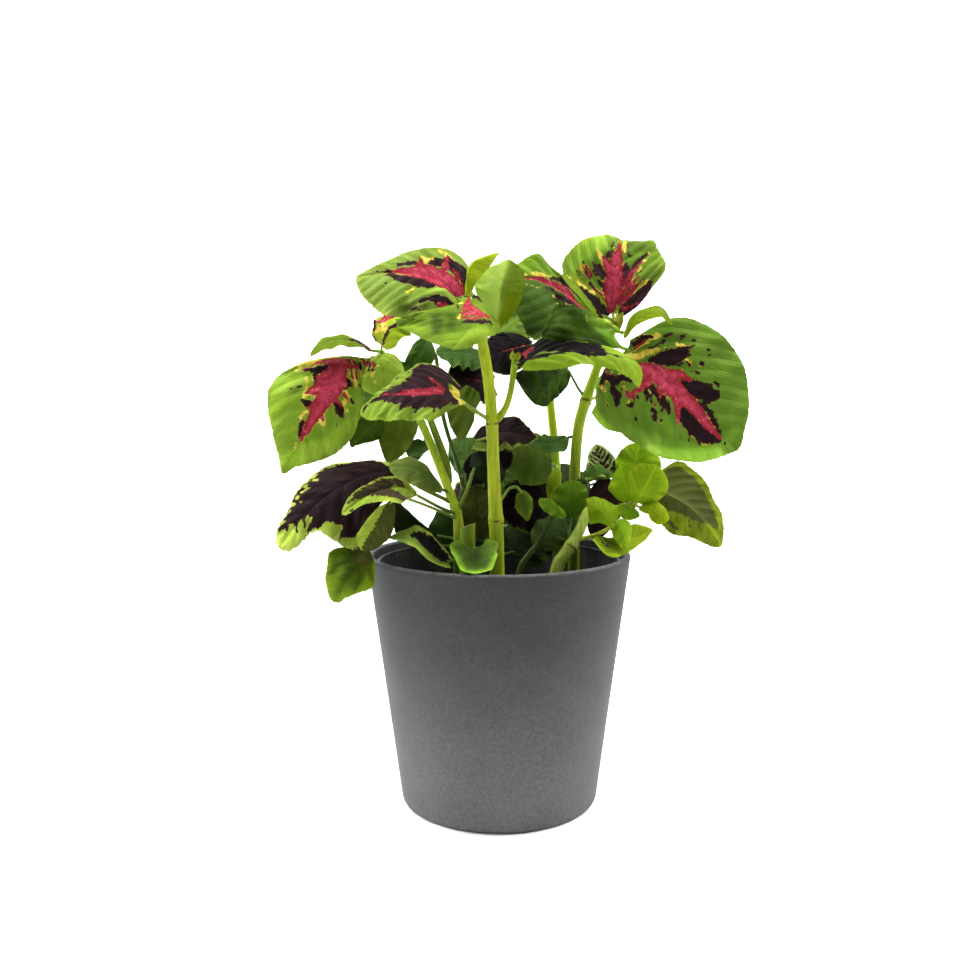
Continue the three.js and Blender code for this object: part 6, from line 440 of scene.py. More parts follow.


# ---- colour fields of a leaf -----------------------------------------------------
# Markings that have a place of their own: m magenta, d dark, y yellow, g green that
# clears them, D dark over that; L and H are painted light and S and T painted shade, lighter and darker tones where
# light falls on the blade or shade lies; each a stroke of (x, y in the camera's frame, half width in mm).
MARKS = {
    'leaf_A': [
        ('m', [(393, 272, .6), (400, 272, 1.8), (415, 273, 3.4), (430, 274, 4.7), (444, 281, 5.0), (455, 288, 3.8), (460, 294, 2.4)]),
        ('m', [(421, 266, 1.6), (419, 257, .4)]), ('m', [(446, 268, 1.4), (447, 256, .4)]), ('m', [(452, 268, .4), (459, 280, .9)]), ('m', [(462, 278, .3), (462, 290, .7)]),
        ('d', [(373, 272, .1), (384, 272, .5), (396, 272, 1.3)]), ('d', [(398, 266, .9), (407, 264, 1.5), (416, 263, 1.3)]),
        ('d', [(431, 264, 1.0), (440, 262, 2.4), (451, 264, 3.4), (461, 272, 3.2), (465, 284, 2.6), (464, 297, 1.8)]), ('d', [(442, 250, .3), (447, 254, .5), (450, 260, 1.0)]),
        ('d', [(386, 274.5, .7), (395, 276, 1.6), (404, 278, 2.2), (413, 280, 3.2), (421, 283, 3.8), (431, 285, 2.6)]), ('d', [(455, 287, 1.0), (458, 297, 1.2)]),
        # painted shade: the first d stroke and the two D strokes on the next line fill the hollow under the rolled band
        # of the lower margin; the H stroke further down is a painted highlight along the band
        ('d', [(420, 301, 1.2), (431, 299, 2.2), (441, 301, 2.6), (449, 305, 2.4), (453, 312, 1.6)]), ('D', [(436, 297, .6), (449, 301, .5)]), ('m', [(439, 306, .8), (449, 308, 1.4)]), ('d', [(386, 283, .4)]), ('d', [(411, 308, .5), (420, 310, .5)]),
        ('y', [(422, 258, 1.2), (427, 261, 1.4), (434, 258, .7)]), ('y', [(402, 291, .6), (409, 291, 1.3), (414, 287, .8)]), ('y', [(441, 252, .4)]),
        ('g', [(407, 303, 1.0), (413, 297, 1.4), (424, 292, 1.8), (438, 291, 1.7), (449, 295, 1.4), (456, 303, 1.1), (459, 312, .8)]),
        ('H', [(410, 299, 1.0), (416, 294, 1.4), (426, 290, 1.6), (439, 289, 1.6), (450, 293, 1.4), (457, 301, 1.0)]), ('T', [(402, 307, 1.6), (413, 309, 2.0), (424, 308, 2.0)]), ('T', [(413, 302, .7), (425, 297, .7)]),
    ],
    'leaf_B3': [
        ('m', [(469, 299, .9), (466, 310, 2.2)]), ('m', [(466, 313, 2.6), (474, 314, 2.6)]), ('m', [(472, 306, 1.8), (480, 314, 2.2), (491, 320, .6)]), ('m', [(463, 318, 1.2), (478, 318, 1.4)]),
        ('d', [(463, 322, .8), (470, 321, 1.6), (480, 322, 1.5), (491, 322, .7)]), ('d', [(466, 296, 1.0), (473, 294, 1.3), (480, 301, .9)]), ('d', [(456, 305, .5), (458, 312, .4)]),
        ('y', [(458, 311, .5), (459, 319, .7)]), ('y', [(461, 303, .4)]),
        ('T', [(434, 316, 2.2), (438, 326, 2.6), (436, 331, 1.6)]), ('T', [(447, 313, 1.6), (449, 326, 1.9)]), ('S', [(455, 314, 1.0), (458, 324, 1.2)]), ('L', [(408, 326, 2.0), (420, 330, 1.6)]), ('L', [(452, 338, 3.0), (470, 334, 3.4), (484, 328, 2.4)]),
    ],
    'leaf_C': [
        ('m', [(523, 278, .7), (538, 279, 1.5), (549, 283, 1.9), (559, 288, 2.5), (567, 294, 2.7), (575, 301, 2.2), (583, 308, 1.2)]),
        ('y', [(523, 275, .8), (538, 274, 1.3), (551, 277, 1.0)]), ('y', [(527, 284, .6), (546, 288, .9)]), ('y', [(551, 303, .6), (563, 305, .9), (575, 305, .6)]), ('y', [(555, 296, .8)]),
        ('d', [(551, 278, .9), (562, 281, 1.5), (572, 289, 1.4), (579, 298, .8)]), ('d', [(543, 287, .6), (552, 291, 1.4)]), ('d', [(557, 295, 1.6), (566, 300, 2.8), (575, 304, 1.6)]),
        # the thin upright L strokes here and the short upright y stroke on the next line are painted highlights on the
        # ripples at the blade's right end
        ('H', [(592, 322, 3.4), (604, 330, 4.6), (613, 337, 4.0)]), ('H', [(585, 315, 1.2), (600, 320, 1.6), (612, 325, 1.4)]), ('L', [(592, 322, 3.0), (604, 330, 4.0), (613, 337, 3.4)]), ('L', [(577, 310, .5), (577, 324, .3)]), ('L', [(583, 312, .5), (583, 332, .3)]), ('L', [(570, 308, .8), (560, 316, .8)]),
        ('y', [(598, 318, .3), (606, 320, .5), (613, 325, .4)]), ('S', [(512, 297, 4), (524, 310, 5.5), (538, 322, 5)]), ('S', [(561, 312, 1.0), (563, 330, 1.4)]), ('y', [(586, 316, .25), (586, 322, .2)]), ('T', [(590, 343, 1.4), (606, 345, 1.2)]), ('T', [(520, 330, 2.4), (545, 333, 2.6), (570, 336, 2.2)]),
    ],
    'leaf_D': [
        ('m', [(620, 243, .6), (619, 249, 1.4), (617, 258, 2.8), (615, 270, 4.2), (613, 285, 4.6), (612, 300, 3.6), (611, 311, 1.8)]),
        ('m', [(605, 260, 1.6), (609, 270, 2.5)]), ('m', [(642, 262, .4), (633, 272, 1.2), (623, 284, 1.8)]), ('m', [(641, 282, .4), (632, 292, 1.4), (620, 302, 1.6)]),
        ('m', [(637, 276, .6), (630, 286, 1.2), (620, 296, 1.4)]), ('m', [(636, 304, .4), (624, 308, .8)]), ('m', [(587, 267, .8), (590, 276, .9)]), ('m', [(591, 286, .4), (602, 296, 1.1)]),
        ('d', [(595, 265, 1.4), (598, 270, 2.6), (602, 275, 2.2)]), ('d', [(600, 282, 1.0), (605, 291, 1.0)]), ('d', [(606, 257, 1.0), (610, 255, 1.6), (613, 252, .8)]), ('d', [(611, 246, .5), (614, 243, .5)]),
        ('d', [(625, 264, 1.4), (626, 270, 2.2), (624, 278, 1.8)]), ('d', [(648, 253, .4), (640, 260, 1.2), (634, 268, 1.6), (630, 276, 1.2)]), ('d', [(648, 284, 1.8), (644, 292, 3.2), (637, 301, 4.2), (629, 309, 3.8), (622, 314, 2.2)]),
        ('d', [(594, 292, 1.4), (600, 303, 3.0), (604, 314, 3.6)]), ('d', [(583, 263, .7), (586, 272, 1.0), (589, 280, .7)]), ('d', [(589, 283, .7), (597, 293, 1.3)]), ('d', [(580, 255, .4)]), ('d', [(619, 235, 1.0), (620, 243, .8)]), ('d', [(576, 272, .4)]),
        ('d', [(645, 279, .8)]), ('d', [(650, 273, .7)]), ('d', [(641, 272, .6)]), ('d', [(627, 250, .5), (629, 256, .7)]),
        ('y', [(597, 247, .5), (600, 255, 2.0), (603, 264, 1.2)]), ('y', [(625, 241, .8), (625, 253, 1.2)]), ('y', [(644, 261, 1.4), (638, 270, .9)]), ('y', [(582, 277, .5), (591, 284, 1.1), (602, 297, .9)]),
        ('y', [(581, 266, .7), (584, 272, .6)]), ('y', [(614, 248, .6)]), ('y', [(606, 313, .8), (612, 316, 1.0), (612, 306, .7)]), ('y', [(637, 283, .6)]), ('y', [(643, 288, .5)]),
        ('H', [(569, 268, 4), (573, 255, 5), (585, 245, 5), (600, 241, 4)]), ('S', [(632, 244, 3.6), (645, 246, 3.2)]), ('S', [(648, 280, 3.2), (655, 272, 2.4)]),
    ],
    'leaf_D2': [
        ('d', [(581, 287, .4), (590, 296, 1.8), (597, 306, 3.4), (602, 315, 4.4)]), ('y', [(566, 275, .4), (580, 284, .6), (595, 294, .5)]),
    ],
    'leaf_F': [
        ('m', [(640, 366, 2.2), (650, 371, 3.8), (662, 379, 4.8), (674, 388, 4.8), (684, 398, 3.8), (695, 411, 2.9), (708, 425, 2.2), (720, 438, .9)]),
        ('m', [(664, 372, 2.4), (679, 375, 2.4), (690, 381, .8)]), ('m', [(652, 380, 2.0), (640, 389, 1.8), (628, 397, .8)]), ('m', [(674, 394, 2.0), (678, 408, 1.6), (678, 422, .5)]), ('m', [(646, 374, 2), (640, 380, 1.2)]), ('m', [(660, 388, 1.4), (661, 398, .6)]),
        ('d', [(649, 361, .8), (659, 359, 2.8), (671, 357, 4.6), (682, 353, 3.4), (687, 348, 1.4)]), ('d', [(687, 350, .7), (695, 345, .5)]), ('d', [(682, 383, 2.2), (692, 388, 4.2), (704, 391, 4.4), (714, 395, 2.8), (706, 401, 1.8)]), ('d', [(679, 403, 1.6), (686, 414, 4.2), (696, 426, 4.8), (707, 435, 4.0), (717, 440, 2.0)]),
        ('d', [(700, 403, .9), (707, 411, 1.5), (713, 420, 1.5), (718, 429, 1.1), (720, 437, .7)]), ('d', [(645, 380, 1.0), (646, 393, 1.4), (652, 402, .9)]), ('d', [(655, 392, 1.6), (662, 400, 2.0), (668, 408, 1.6)]), ('d', [(649, 384, 1.4), (656, 394, 1.2)]), ('d', [(586, 375, 1.3), (592, 369, 1.0)]), ('d', [(605, 368, .8)]), ('d', [(596, 383, 1.3), (604, 379, 1.8), (612, 377, 1.6)]),
        ('d', [(603, 388, 1.0)]), ('d', [(614, 383, 1.8), (622, 377, 2.2), (630, 381, 1.6)]), ('d', [(622, 388, 1.2)]), ('d', [(612, 390, 1.4), (617, 397, 1.9), (617, 403, 1.5)]), ('d', [(599, 394, .8)]), ('d', [(628, 371, 1.2)]), ('d', [(633, 404, 1.4), (629, 406, 1.2)]), ('d', [(637, 398, .8)]), ('d', [(652, 409, 1.0), (656, 413, 1.5), (654, 420, 1.2)]), ('d', [(661, 411, .8)]),
        ('d', [(636, 420, .8)]), ('d', [(661, 422, .7)]), ('d', [(648, 398, 1.0)]), ('d', [(685, 334, .7), (681, 338, .7)]), ('d', [(693, 341, .9)]), ('d', [(665, 337, .7), (672, 333, .5)]), ('d', [(709, 350, .8)]), ('d', [(710, 355, .8)]), ('d', [(703, 363, 1.4)]), ('d', [(715, 383, 1.0), (719, 387, .6)]), ('d', [(689, 366, .8)]),
        ('d', [(697, 374, .9), (691, 371, .6)]), ('d', [(688, 441, .6)]), ('d', [(700, 443, .6)]), ('d', [(711, 444, .7)]), ('d', [(725, 443, .6)]), ('d', [(684, 368, .5)]), ('d', [(600, 363, .6)]), ('d', [(670, 412, .6)]), ('d', [(718, 405, .5)]), ('d', [(607, 405, .5)]), ('d', [(680, 363, .6), (690, 360, .4)]),
        ('d', [(634, 345, .9), (643, 338, 1.6), (651, 337, .8)]), ('d', [(655, 345, .5), (663, 341, .9)]), ('d', [(676, 343, .5)]), ('d', [(648, 348, .3), (658, 345, .5)]),
        ('y', [(625, 358, 1.6), (633, 358, 2.2), (645, 353, 1.7), (657, 349, 1.1), (670, 347, .7), (682, 345, .4)]), ('y', [(631, 353, .8), (645, 344, .5), (652, 338, 1.0), (659, 335, 1.1)]), ('y', [(690, 379, .6), (699, 383, .8), (712, 388, .6)]), ('y', [(688, 394, .8), (697, 400, .8)]),
        ('y', [(603, 369, .8), (611, 373, .8)]), ('y', [(629, 401, .8)]), ('y', [(663, 395, .5)]), ('y', [(658, 404, .5), (662, 407, .4)]), ('y', [(654, 361, .3)]),
        ('m', [(602, 370, .6), (610, 375, .7)]), ('m', [(632, 351, .5), (640, 345, .7), (646, 341, .6)]), ('m', [(690, 397, .4), (696, 401, .3)]), ('m', [(628, 392, .9), (634, 398, .9)]), ('m', [(655, 404, .7)]),
        ('L', [(630, 430, 2.4), (645, 442, 4.0), (664, 449, 4.6), (692, 453, 4.6), (720, 450, 4.2)]), ('H', [(650, 447, 1.6), (672, 455, 2.4), (694, 457, 2.6), (718, 454, 2.4)]), ('L', [(735, 430, 2.4), (725, 445, 2.6)]), ('L', [(665, 424, 3.0), (675, 436, 2.6)]), ('S', [(636, 335, 2.4), (630, 345, 1.6)]), ('S', [(594, 366, 2.2), (586, 384, 2.2)]), ('S', [(669, 342, 2.0), (684, 338, 2.2)]),
    ],
    'leaf_G': [
        ('d', [(503, 364, 4), (517, 352, 7), (535, 346, 9), (560, 344, 9), (590, 348, 7), (611, 354, 2.4)]), ('d', [(520, 358, 4), (560, 352, 4), (600, 354, 2.4)]), ('d', [(600, 350, 2.6), (618, 357, 1.6), (628, 363, .5)]),
        ('g', [(524, 372, 3.0), (540, 366, 3.2), (560, 362, 3.4), (585, 361, 4.0), (606, 363, 4.5), (624, 368, 5), (637, 380, 5)]), ('m', [(515, 361, .5), (522, 355, .9), (531, 348, .4)]), ('y', [(509, 362, 1.0), (517, 360, 1.1), (526, 355, .5)]),
    ],
    'leaf_H': [
        ('m', [(341, 370, 3.2), (336, 382, 4.8), (329, 393, 4.8), (322, 405, 3.6), (314, 418, 2.6), (306, 431, 1.8), (300, 441, .6)]), ('m', [(318, 363, 1.2), (331, 361, 2.4), (344, 362, 2.4), (350, 366, 1.6)]), ('m', [(326, 384, 3.0), (312, 391, 2.0), (306, 393, .8)]),
        ('m', [(336, 400, 1.4), (342, 406, .5)]), ('m', [(320, 400, 2.4), (307, 408, .8)]), ('m', [(320, 411, 1.8), (322, 420, .5)]), ('m', [(333, 372, 3), (320, 378, 1.6)]), ('m', [(352, 359, .6), (357, 367, .9), (357, 379, .7)]), ('m', [(363, 359, .6), (366, 367, .8), (364, 374, .4)]), ('m', [(371, 361, .5), (372, 368, .6)]),
        ('m', [(352, 372, .6), (353, 385, .5)]), ('m', [(345, 395, 1.0), (349, 402, .5)]), ('m', [(341, 389, .5)]), ('m', [(304, 368, .4), (312, 365, 1.0)]),
        ('d', [(304, 370, .5), (312, 370, 1.4), (319, 369, 2.6), (325, 368, 1.8)]), ('d', [(315, 375, 1.6), (318, 382, 1.2)]), ('d', [(344, 378, 1.4), (349, 382, 1.8), (345, 388, .9)]), ('d', [(305, 403, 1.6), (309, 405, 1.8)]), ('d', [(335, 401, 1.8), (340, 410, 2.6), (342, 416, 1.2)]),
        ('d', [(303, 422, 1.4), (301, 431, 1.4), (300, 437, .9)]), ('d', [(336, 424, .6), (337, 427, .4)]), ('d', [(291, 390, .35), (302, 386, .4)]), ('d', [(350, 399, .6), (353, 404, .7)]), ('d', [(349, 360, .6), (355, 364, .8)]), ('d', [(359, 362, .7), (361, 370, .8)]), ('d', [(368, 362, .8), (370, 372, .9)]), ('d', [(356, 374, .6)]), ('d', [(327, 360, .6)]), ('d', [(362, 379, .5)]), ('d', [(360, 386, .4)]),
        ('y', [(297, 371, 1.0), (300, 365, 1.0), (309, 362, 1.2)]), ('y', [(320, 376, .8), (325, 381, .7)]), ('y', [(306, 378, .7), (308, 387, 1.2), (303, 396, 1.4)]), ('y', [(343, 390, 1.3), (350, 396, 1.2), (344, 403, 1.1)]), ('y', [(352, 366, .8), (355, 378, .9), (356, 392, .9)]), ('y', [(360, 365, .9), (361, 378, 1.1)]), ('y', [(367, 366, .7)]),
        ('y', [(367, 376, 1.1)]), ('y', [(374, 371, .9)]), ('y', [(320, 416, 1.3), (324, 423, 1.0)]), ('y', [(306, 411, 1.4), (301, 418, 1.0)]), ('y', [(296, 444, .9), (294, 450, .4)]), ('y', [(347, 409, .6)]), ('y', [(376, 380, .8)]), ('y', [(360, 361, .8)]), ('y', [(330, 357, .6), (316, 359, .8)]), ('y', [(350, 373, .6)]), ('y', [(358, 388, .7)]),
        ('L', [(276, 405, 3.6), (282, 385, 3.6), (298, 378, 2.6)]), ('L', [(286, 460, 3.0), (305, 452, 3.6), (328, 445, 3.4), (346, 425, 2.6)]), ('S', [(296, 390, 1.6)]),
    ],
    'leaf_I': [
        ('m', [(398, 394, .8), (408, 393, 1.9), (424, 392, 2.4), (440, 391, 2.2)]), ('m', [(429, 377, .6), (438, 384, 1.0), (443, 389, .6)]), ('m', [(380, 396, .2), (400, 394, .7)]),
        ('y', [(443, 391, 1.0), (449, 391, 2.4), (457, 395, 3.4)]), ('y', [(451, 382, 1.6), (457, 389, 2.2)]), ('y', [(444, 382, .6)]), ('y', [(457, 401, 1.6)]), ('y', [(440, 397, .8)]),
        ('g', [(370, 409, 3.6), (390, 414, 4.4), (415, 418, 3.6), (440, 415, 3.0), (454, 408, 2.0)]), ('g', [(453, 389, 2.6), (459, 397, 3.2)]), ('g', [(374, 395, 1.6), (388, 387, 2.4), (401, 380, 1.4), (412, 372, .6)]), ('g', [(366, 402, 1.4), (374, 396, .6)]),
        ('D', [(384, 390, .8), (396, 386, .6)]), ('D', [(404, 404, 1.6), (400, 411, .5)]), ('D', [(418, 406, 1.6), (416, 412, .4)]), ('D', [(434, 404, 1.4), (434, 411, .4)]), ('T', [(446, 412, 1.6), (456, 405, 2.0)]),
    ],
    'leaf_K': [
        ('m', [(379, 322, 1.4), (387, 317, 2.4), (396, 316, 1.4)]), ('d', [(373, 321, 1.5), (374, 328, 1.2)]), ('d', [(383, 347, .7), (387, 335, 1.1), (391, 327, .8)]), ('d', [(391, 328, .8), (399, 324, .9), (407, 322, .5)]), ('d', [(369, 341, 1.5)]), ('d', [(379, 334, .5)]),
        ('y', [(376, 331, 1.2), (383, 327, 2.0), (389, 330, .9)]), ('y', [(370, 346, 1.2), (373, 336, .9)]), ('y', [(380, 341, .8)]), ('m', [(380, 327, .6)]), ('m', [(384, 332, .5)]), ('m', [(373, 336, .5)]), ('m', [(386, 326, .6)]), ('d', [(378, 345, .5)]),
    ],
    'leaf_M': [
        ('g', [(279, 541, 3.2), (288, 538, 5.2), (299, 531, 4.4), (309, 521, 1.8)]), ('g', [(320, 541, 3.4), (331, 537, 3.8), (338, 529, 2.2)]), ('g', [(346, 547, 3.4), (355, 543, 2.0)]), ('g', [(312, 476, 1.6)]), ('g', [(306, 487, 1.4)]), ('g', [(297, 498, 1.2)]), ('g', [(301, 502, .8)]),
        ('g', [(321, 471, 1.0)]), ('g', [(293, 505, 1.1)]), ('g', [(330, 467, 1.0), (346, 462, .9)]), ('g', [(379, 461, .9), (388, 464, .8)]), ('g', [(284, 522, .8)]), ('g', [(316, 480, .8)]), ('g', [(290, 511, .8)]), ('g', [(303, 492, .6)]),
        ('D', [(288, 521, 1.3), (286, 534, .3)]), ('D', [(296, 518, 1.6), (297, 531, .3)]), ('D', [(304, 517, 1.4), (305, 526, .3)]), ('D', [(281, 527, .8), (280, 533, .2)]), ('D', [(336, 465, .5), (338, 462, .3)]),
        ('S', [(338, 532, 2.4), (344, 540, 2.0)]), ('L', [(282, 542, 3), (296, 536, 3)]),
    ],
    'leaf_N': [
        ('g', [(343, 513, 1.8), (350, 506, 1.7), (362, 501, 1.6), (372, 499, 1.5), (390, 500, 1.5), (402, 503, 1.6)]), ('g', [(344, 501, .6), (354, 491, .35), (366, 485.5, .35), (377, 480, .4), (390, 477, .7)]),
        ('g', [(397, 488, 2.6), (406, 490, 4.5)]), ('g', [(404, 478, 2.6), (411, 484, 4)]), ('D', [(380, 487, .9), (394, 482, 1.0)]), ('S', [(402, 482, 4), (408, 490, 4), (402, 498, 3)]),
    ],
    'leaf_P1': [
        ('d', [(396, 506, 4.2), (390, 519, 5.6), (383, 535, 6.4), (375, 548, 6.2)]), ('d', [(398, 512, 4), (393, 530, 4.4), (386, 543, 4)]),
    ],
    'leaf_O': [
        ('d', [(370, 549, 2.4), (366, 555, 3.2), (360, 559, 2.0)]), ('d', [(352, 549, 1.0), (362, 553, 2.0)]),
        ('T', [(366, 553, 5.5), (360, 561, 5.0), (352, 568, 2.6), (343, 580, 1.2)]), ('T', [(350, 560, 2.4), (338, 565, 1.4), (331, 573, .6)]), ('T', [(363, 566, 3.0), (361, 578, 1.6), (355, 590, .7)]), ('T', [(368, 566, 2.4), (372, 578, 1.4)]), ('S', [(336, 556, 2.4), (332, 572, 2.0)]), ('S', [(346, 576, 1.4), (338, 592, 1.0)]), ('S', [(350, 556, 4), (352, 580, 3)]),
    ],
    'leaf_Q': [
        # painted shade: the d stroke fills the hollow of the cupped blade; the L and H strokes are painted highlights
        # along its rims
        ('d', [(414, 534, 2.0), (424, 539, 3.8), (434, 548, 4.6), (443, 557, 3.2)]), ('L', [(406, 533, 1.0), (416, 543, 1.0), (424, 553, 1.0)]), ('H', [(408, 542, .8), (420, 553, .9), (434, 563, .9), (446, 567, .8)]), ('H', [(420, 529, .5), (433, 536, .5), (441, 545, .5), (447, 553, .4)]),
    ],
    'leaf_R': [
        # painted highlight along the rim of the cupped blade (H and L), painted shade in its hollow (S)
        ('H', [(452, 549, 1.2), (458, 562, 1.6), (464, 571, 2.0), (477, 573.5, 1.8), (489, 572, 2.0), (494, 562, 1.6), (499, 551, 1.2)]), ('L', [(455, 552, 1.6), (462, 568, 1.8), (477, 572, 1.6), (490, 568, 1.8), (497, 554, 1.6)]), ('L', [(488, 549, 3), (482, 560, 2)]), ('S', [(474, 556, 3.4)]),
    ],
    'leaf_T2': [
        ('d', [(603, 543, .9), (608, 546, .8)]), ('d', [(615, 545, .5)]), ('d', [(622, 542, .4)]), ('H', [(595, 541, .7), (601, 550, 1.0), (611, 555, 1.2), (624, 553, 1.0)]), ('S', [(604, 540, 2.0), (616, 543, 2.4)]),
    ],
    'leaf_V': [
        ('y', [(585, 480, .8), (598, 477, .9), (612, 478, .9)]),
    ],
    'leaf_W2': [
        ('g', [(474, 446, 3.0), (481, 446, 3.2), (490, 448, 1.8)]), ('g', [(497, 448, 1.4), (510, 446, 1.4), (519, 445, .9)]), ('d', [(480, 437, 2), (492, 430, 4.5), (510, 427, 6), (526, 432, 3)]), ('D', [(486, 441, .8), (489, 447, .3)]), ('D', [(505, 444, .5)]), ('S', [(476, 442, 2.5), (488, 443, 2.5)]),
    ],
    'leaf_W': [
        ('T', [(514, 371, 4), (524, 377, 5), (528, 384, 3)]), ('L', [(548, 392, 3), (562, 378, 2)]), ('d', [(522, 370, 1.4), (530, 394, .8)]), ('d', [(540, 370, 1.8), (545, 392, 1.2)]), ('d', [(556, 371, 1.4), (556, 386, .8)]), ('d', [(513, 378, 1.0), (520, 394, .6)]), ('d', [(548, 380, 1), (545, 400, .8)]),
    ],
    'leaf_RF': [
        ('g', [(668, 514, 1.8), (682, 523, 3.4), (692, 528, 3.8), (704, 531, 3.8), (716, 536, 3.0)]), ('D', [(689, 521, .8), (690, 528, .3)]), ('D', [(699, 524, .8), (700, 531, .3)]), ('L', [(716, 500, 1.2), (719, 520, 1.4)]), ('S', [(664, 470, 4), (680, 480, 4)]),
    ],
    'leaf_JJ': [
        ('m', [(366, 362, .6), (366, 372, .5)]), ('m', [(372, 358, .5), (372, 368, .6)]), ('d', [(369, 360, .6), (369, 371, .8)]), ('d', [(375, 362, .5), (374, 370, .5)]), ('y', [(364, 368, .7)]), ('y', [(372, 374, 1.1)]), ('y', [(375, 382, .8)]), ('y', [(378, 366, .5)]),
    ],
}
LIME = (.30, .40, .022)
TWEAK = {
    # the two tones given as a pair for leaf_B2 and leaf_C are the lit and the shaded half of each blade: painted light
    # and shade
    'leaf_A': dict(fringe=.38, g=(.190, .282, .042), g2=(.268, .348, .056)), 'leaf_B1': dict(quilt=.4, g=(.36, .47, .014), g2=(.45, .55, .024)), 'leaf_B2': dict(kind='plain', split=((.115, .170, .002), (.35, .49, .075)), quilt=.25, pale=.3),
    'leaf_B3': dict(fringe=.1, g=(.138, .225, .014), g2=(.185, .270, .020), quilt=.5), 'leaf_C': dict(fringe=.3, split=((.052, .100, .0078), (.155, .270, .018))), 'leaf_D': dict(fringe=.40, g=(.140, .240, .024), g2=(.205, .300, .034), dark=.85),
    'leaf_D2': dict(g=(.122, .190, .0045), g2=(.155, .225, .006), dark=-.0, quilt=.4), 'leaf_E': dict(quilt=.4, g=(.120, .180, .0015), g2=(.170, .230, .002)), 'leaf_F': dict(fringe=.30, g=(.112, .204, .022), g2=(.142, .240, .027), dark=.1),
    'leaf_G': dict(fringe=0, g=(.180, .275, .015), g2=(.235, .330, .020), dark=-2), 'leaf_G2': dict(dark=-2, margin=.4), 'leaf_H': dict(fringe=.50, g=(.192, .302, .026), g2=(.242, .352, .034), dark=.1), 'leaf_K': dict(fringe=.55, g=(.30, .40, .014)),
    'leaf_I': dict(whole=True, margin=1.2, g=(.185, .295, .030), g2=(.28, .38, .042)), 'leaf_I2': dict(u=(.071, .104, .009)), 'leaf_J': dict(g=(.110, .165, .0048), g2=(.155, .210, .0065)), 'leaf_JJ': dict(g=(.30, .43, .046), g2=(.37, .50, .056), fringe=0),
    'leaf_L1': dict(u=(.066, .112, .009)), 'leaf_L2': dict(u=(.150, .208, .022)), 'leaf_M': dict(whole=True, margin=.7, tooth=3.8, tooth_a=1.3, dark=.1, g=(.27, .36, .040), g2=(.42, .50, .090)), 'leaf_N': dict(whole=True, margin=.6, dark=1.45, g=(.23, .33, .032), g2=(.36, .46, .055)),
    'leaf_O1': dict(g=(.110, .156, .034), g2=(.175, .225, .042)), 'leaf_P1': dict(dark=2.0, g=(.28, .38, .040), g2=(.33, .43, .048)), 'leaf_O': dict(dark=1.9, g=(.118, .185, .011), g2=(.20, .30, .013)),
    # painted shade: leaf_R's very dark green fills its cup, and dark=-2 makes leaf_Q's dark stroke near-black
    'leaf_Q': dict(dark=-2, g=(.110, .165, .022), g2=(.18, .25, .034)), 'leaf_R': dict(dark=-2, g=(.030, .055, .007), g2=(.11, .19, .016)), 'leaf_V': dict(dark=-1), 'leaf_RF': dict(whole=True, margin=2.6, u=(.205, .260, .014)),
    'leaf_RB': dict(g=(.24, .42, .009), g2=(.33, .49, .012)), 'leaf_RA': dict(g=(.215, .340, .008), g2=(.280, .400, .012)), 'leaf_RC': dict(g=(.19, .32, .009), g2=(.26, .38, .011)), 'leaf_RE': dict(g=(.29, .39, .010), g2=(.40, .48, .013)),
    'leaf_T1': dict(pr_=1.05, pc=(.40, .46, .02), g=(.130, .225, .005), g2=(.19, .28, .007)), 'leaf_T2': dict(kind='bright', g=(.118, .170, .006), g2=(.175, .240, .008)), 'leaf_T3': dict(g=(.24, .33, .012), g2=(.33, .41, .016)),
    'leaf_VV': dict(margin=.3, dark=.5), 'leaf_W2': dict(whole=True, margin=.5, dark=-1, g=(.125, .175, .018), g2=(.20, .26, .035)), 'leaf_W4': dict(nomag=True, dark=-2, margin=.2), 'leaf_W5': dict(pc=(.19, .28, .02), pr_=.9, u=(.014, .022, .009)), 'leaf_X5': dict(g=(.095, .145, .018), g2=(.16, .24, .03)),
    'leaf_X6': dict(nomag=True), 'leaf_X8': dict(g=(.026, .044, .007), g2=(.045, .070, .009)), 'leaf_X10': dict(g=(.024, .044, .010), g2=(.04, .07, .012)), 'leaf_X11': dict(nomag=True, dark=2.0, margin=.8), 'leaf_X13': dict(u=(.020, .030, .010)),
    'leaf_Y1': dict(g=(.095, .190, .011), g2=(.15, .27, .016)), 'leaf_Y2': dict(g=(.11, .21, .012), g2=(.18, .30, .018)), 'leaf_Z2': dict(pr_=.75, pc=(.16, .24, .02), g=(.055, .095, .010), g2=(.14, .21, .014)),
    'back_9': dict(nomag=True), 'back_12': dict(g=(.012, .018, .006), g2=(.03, .05, .01)),
    'leaf_U': dict(dark=-2),
}


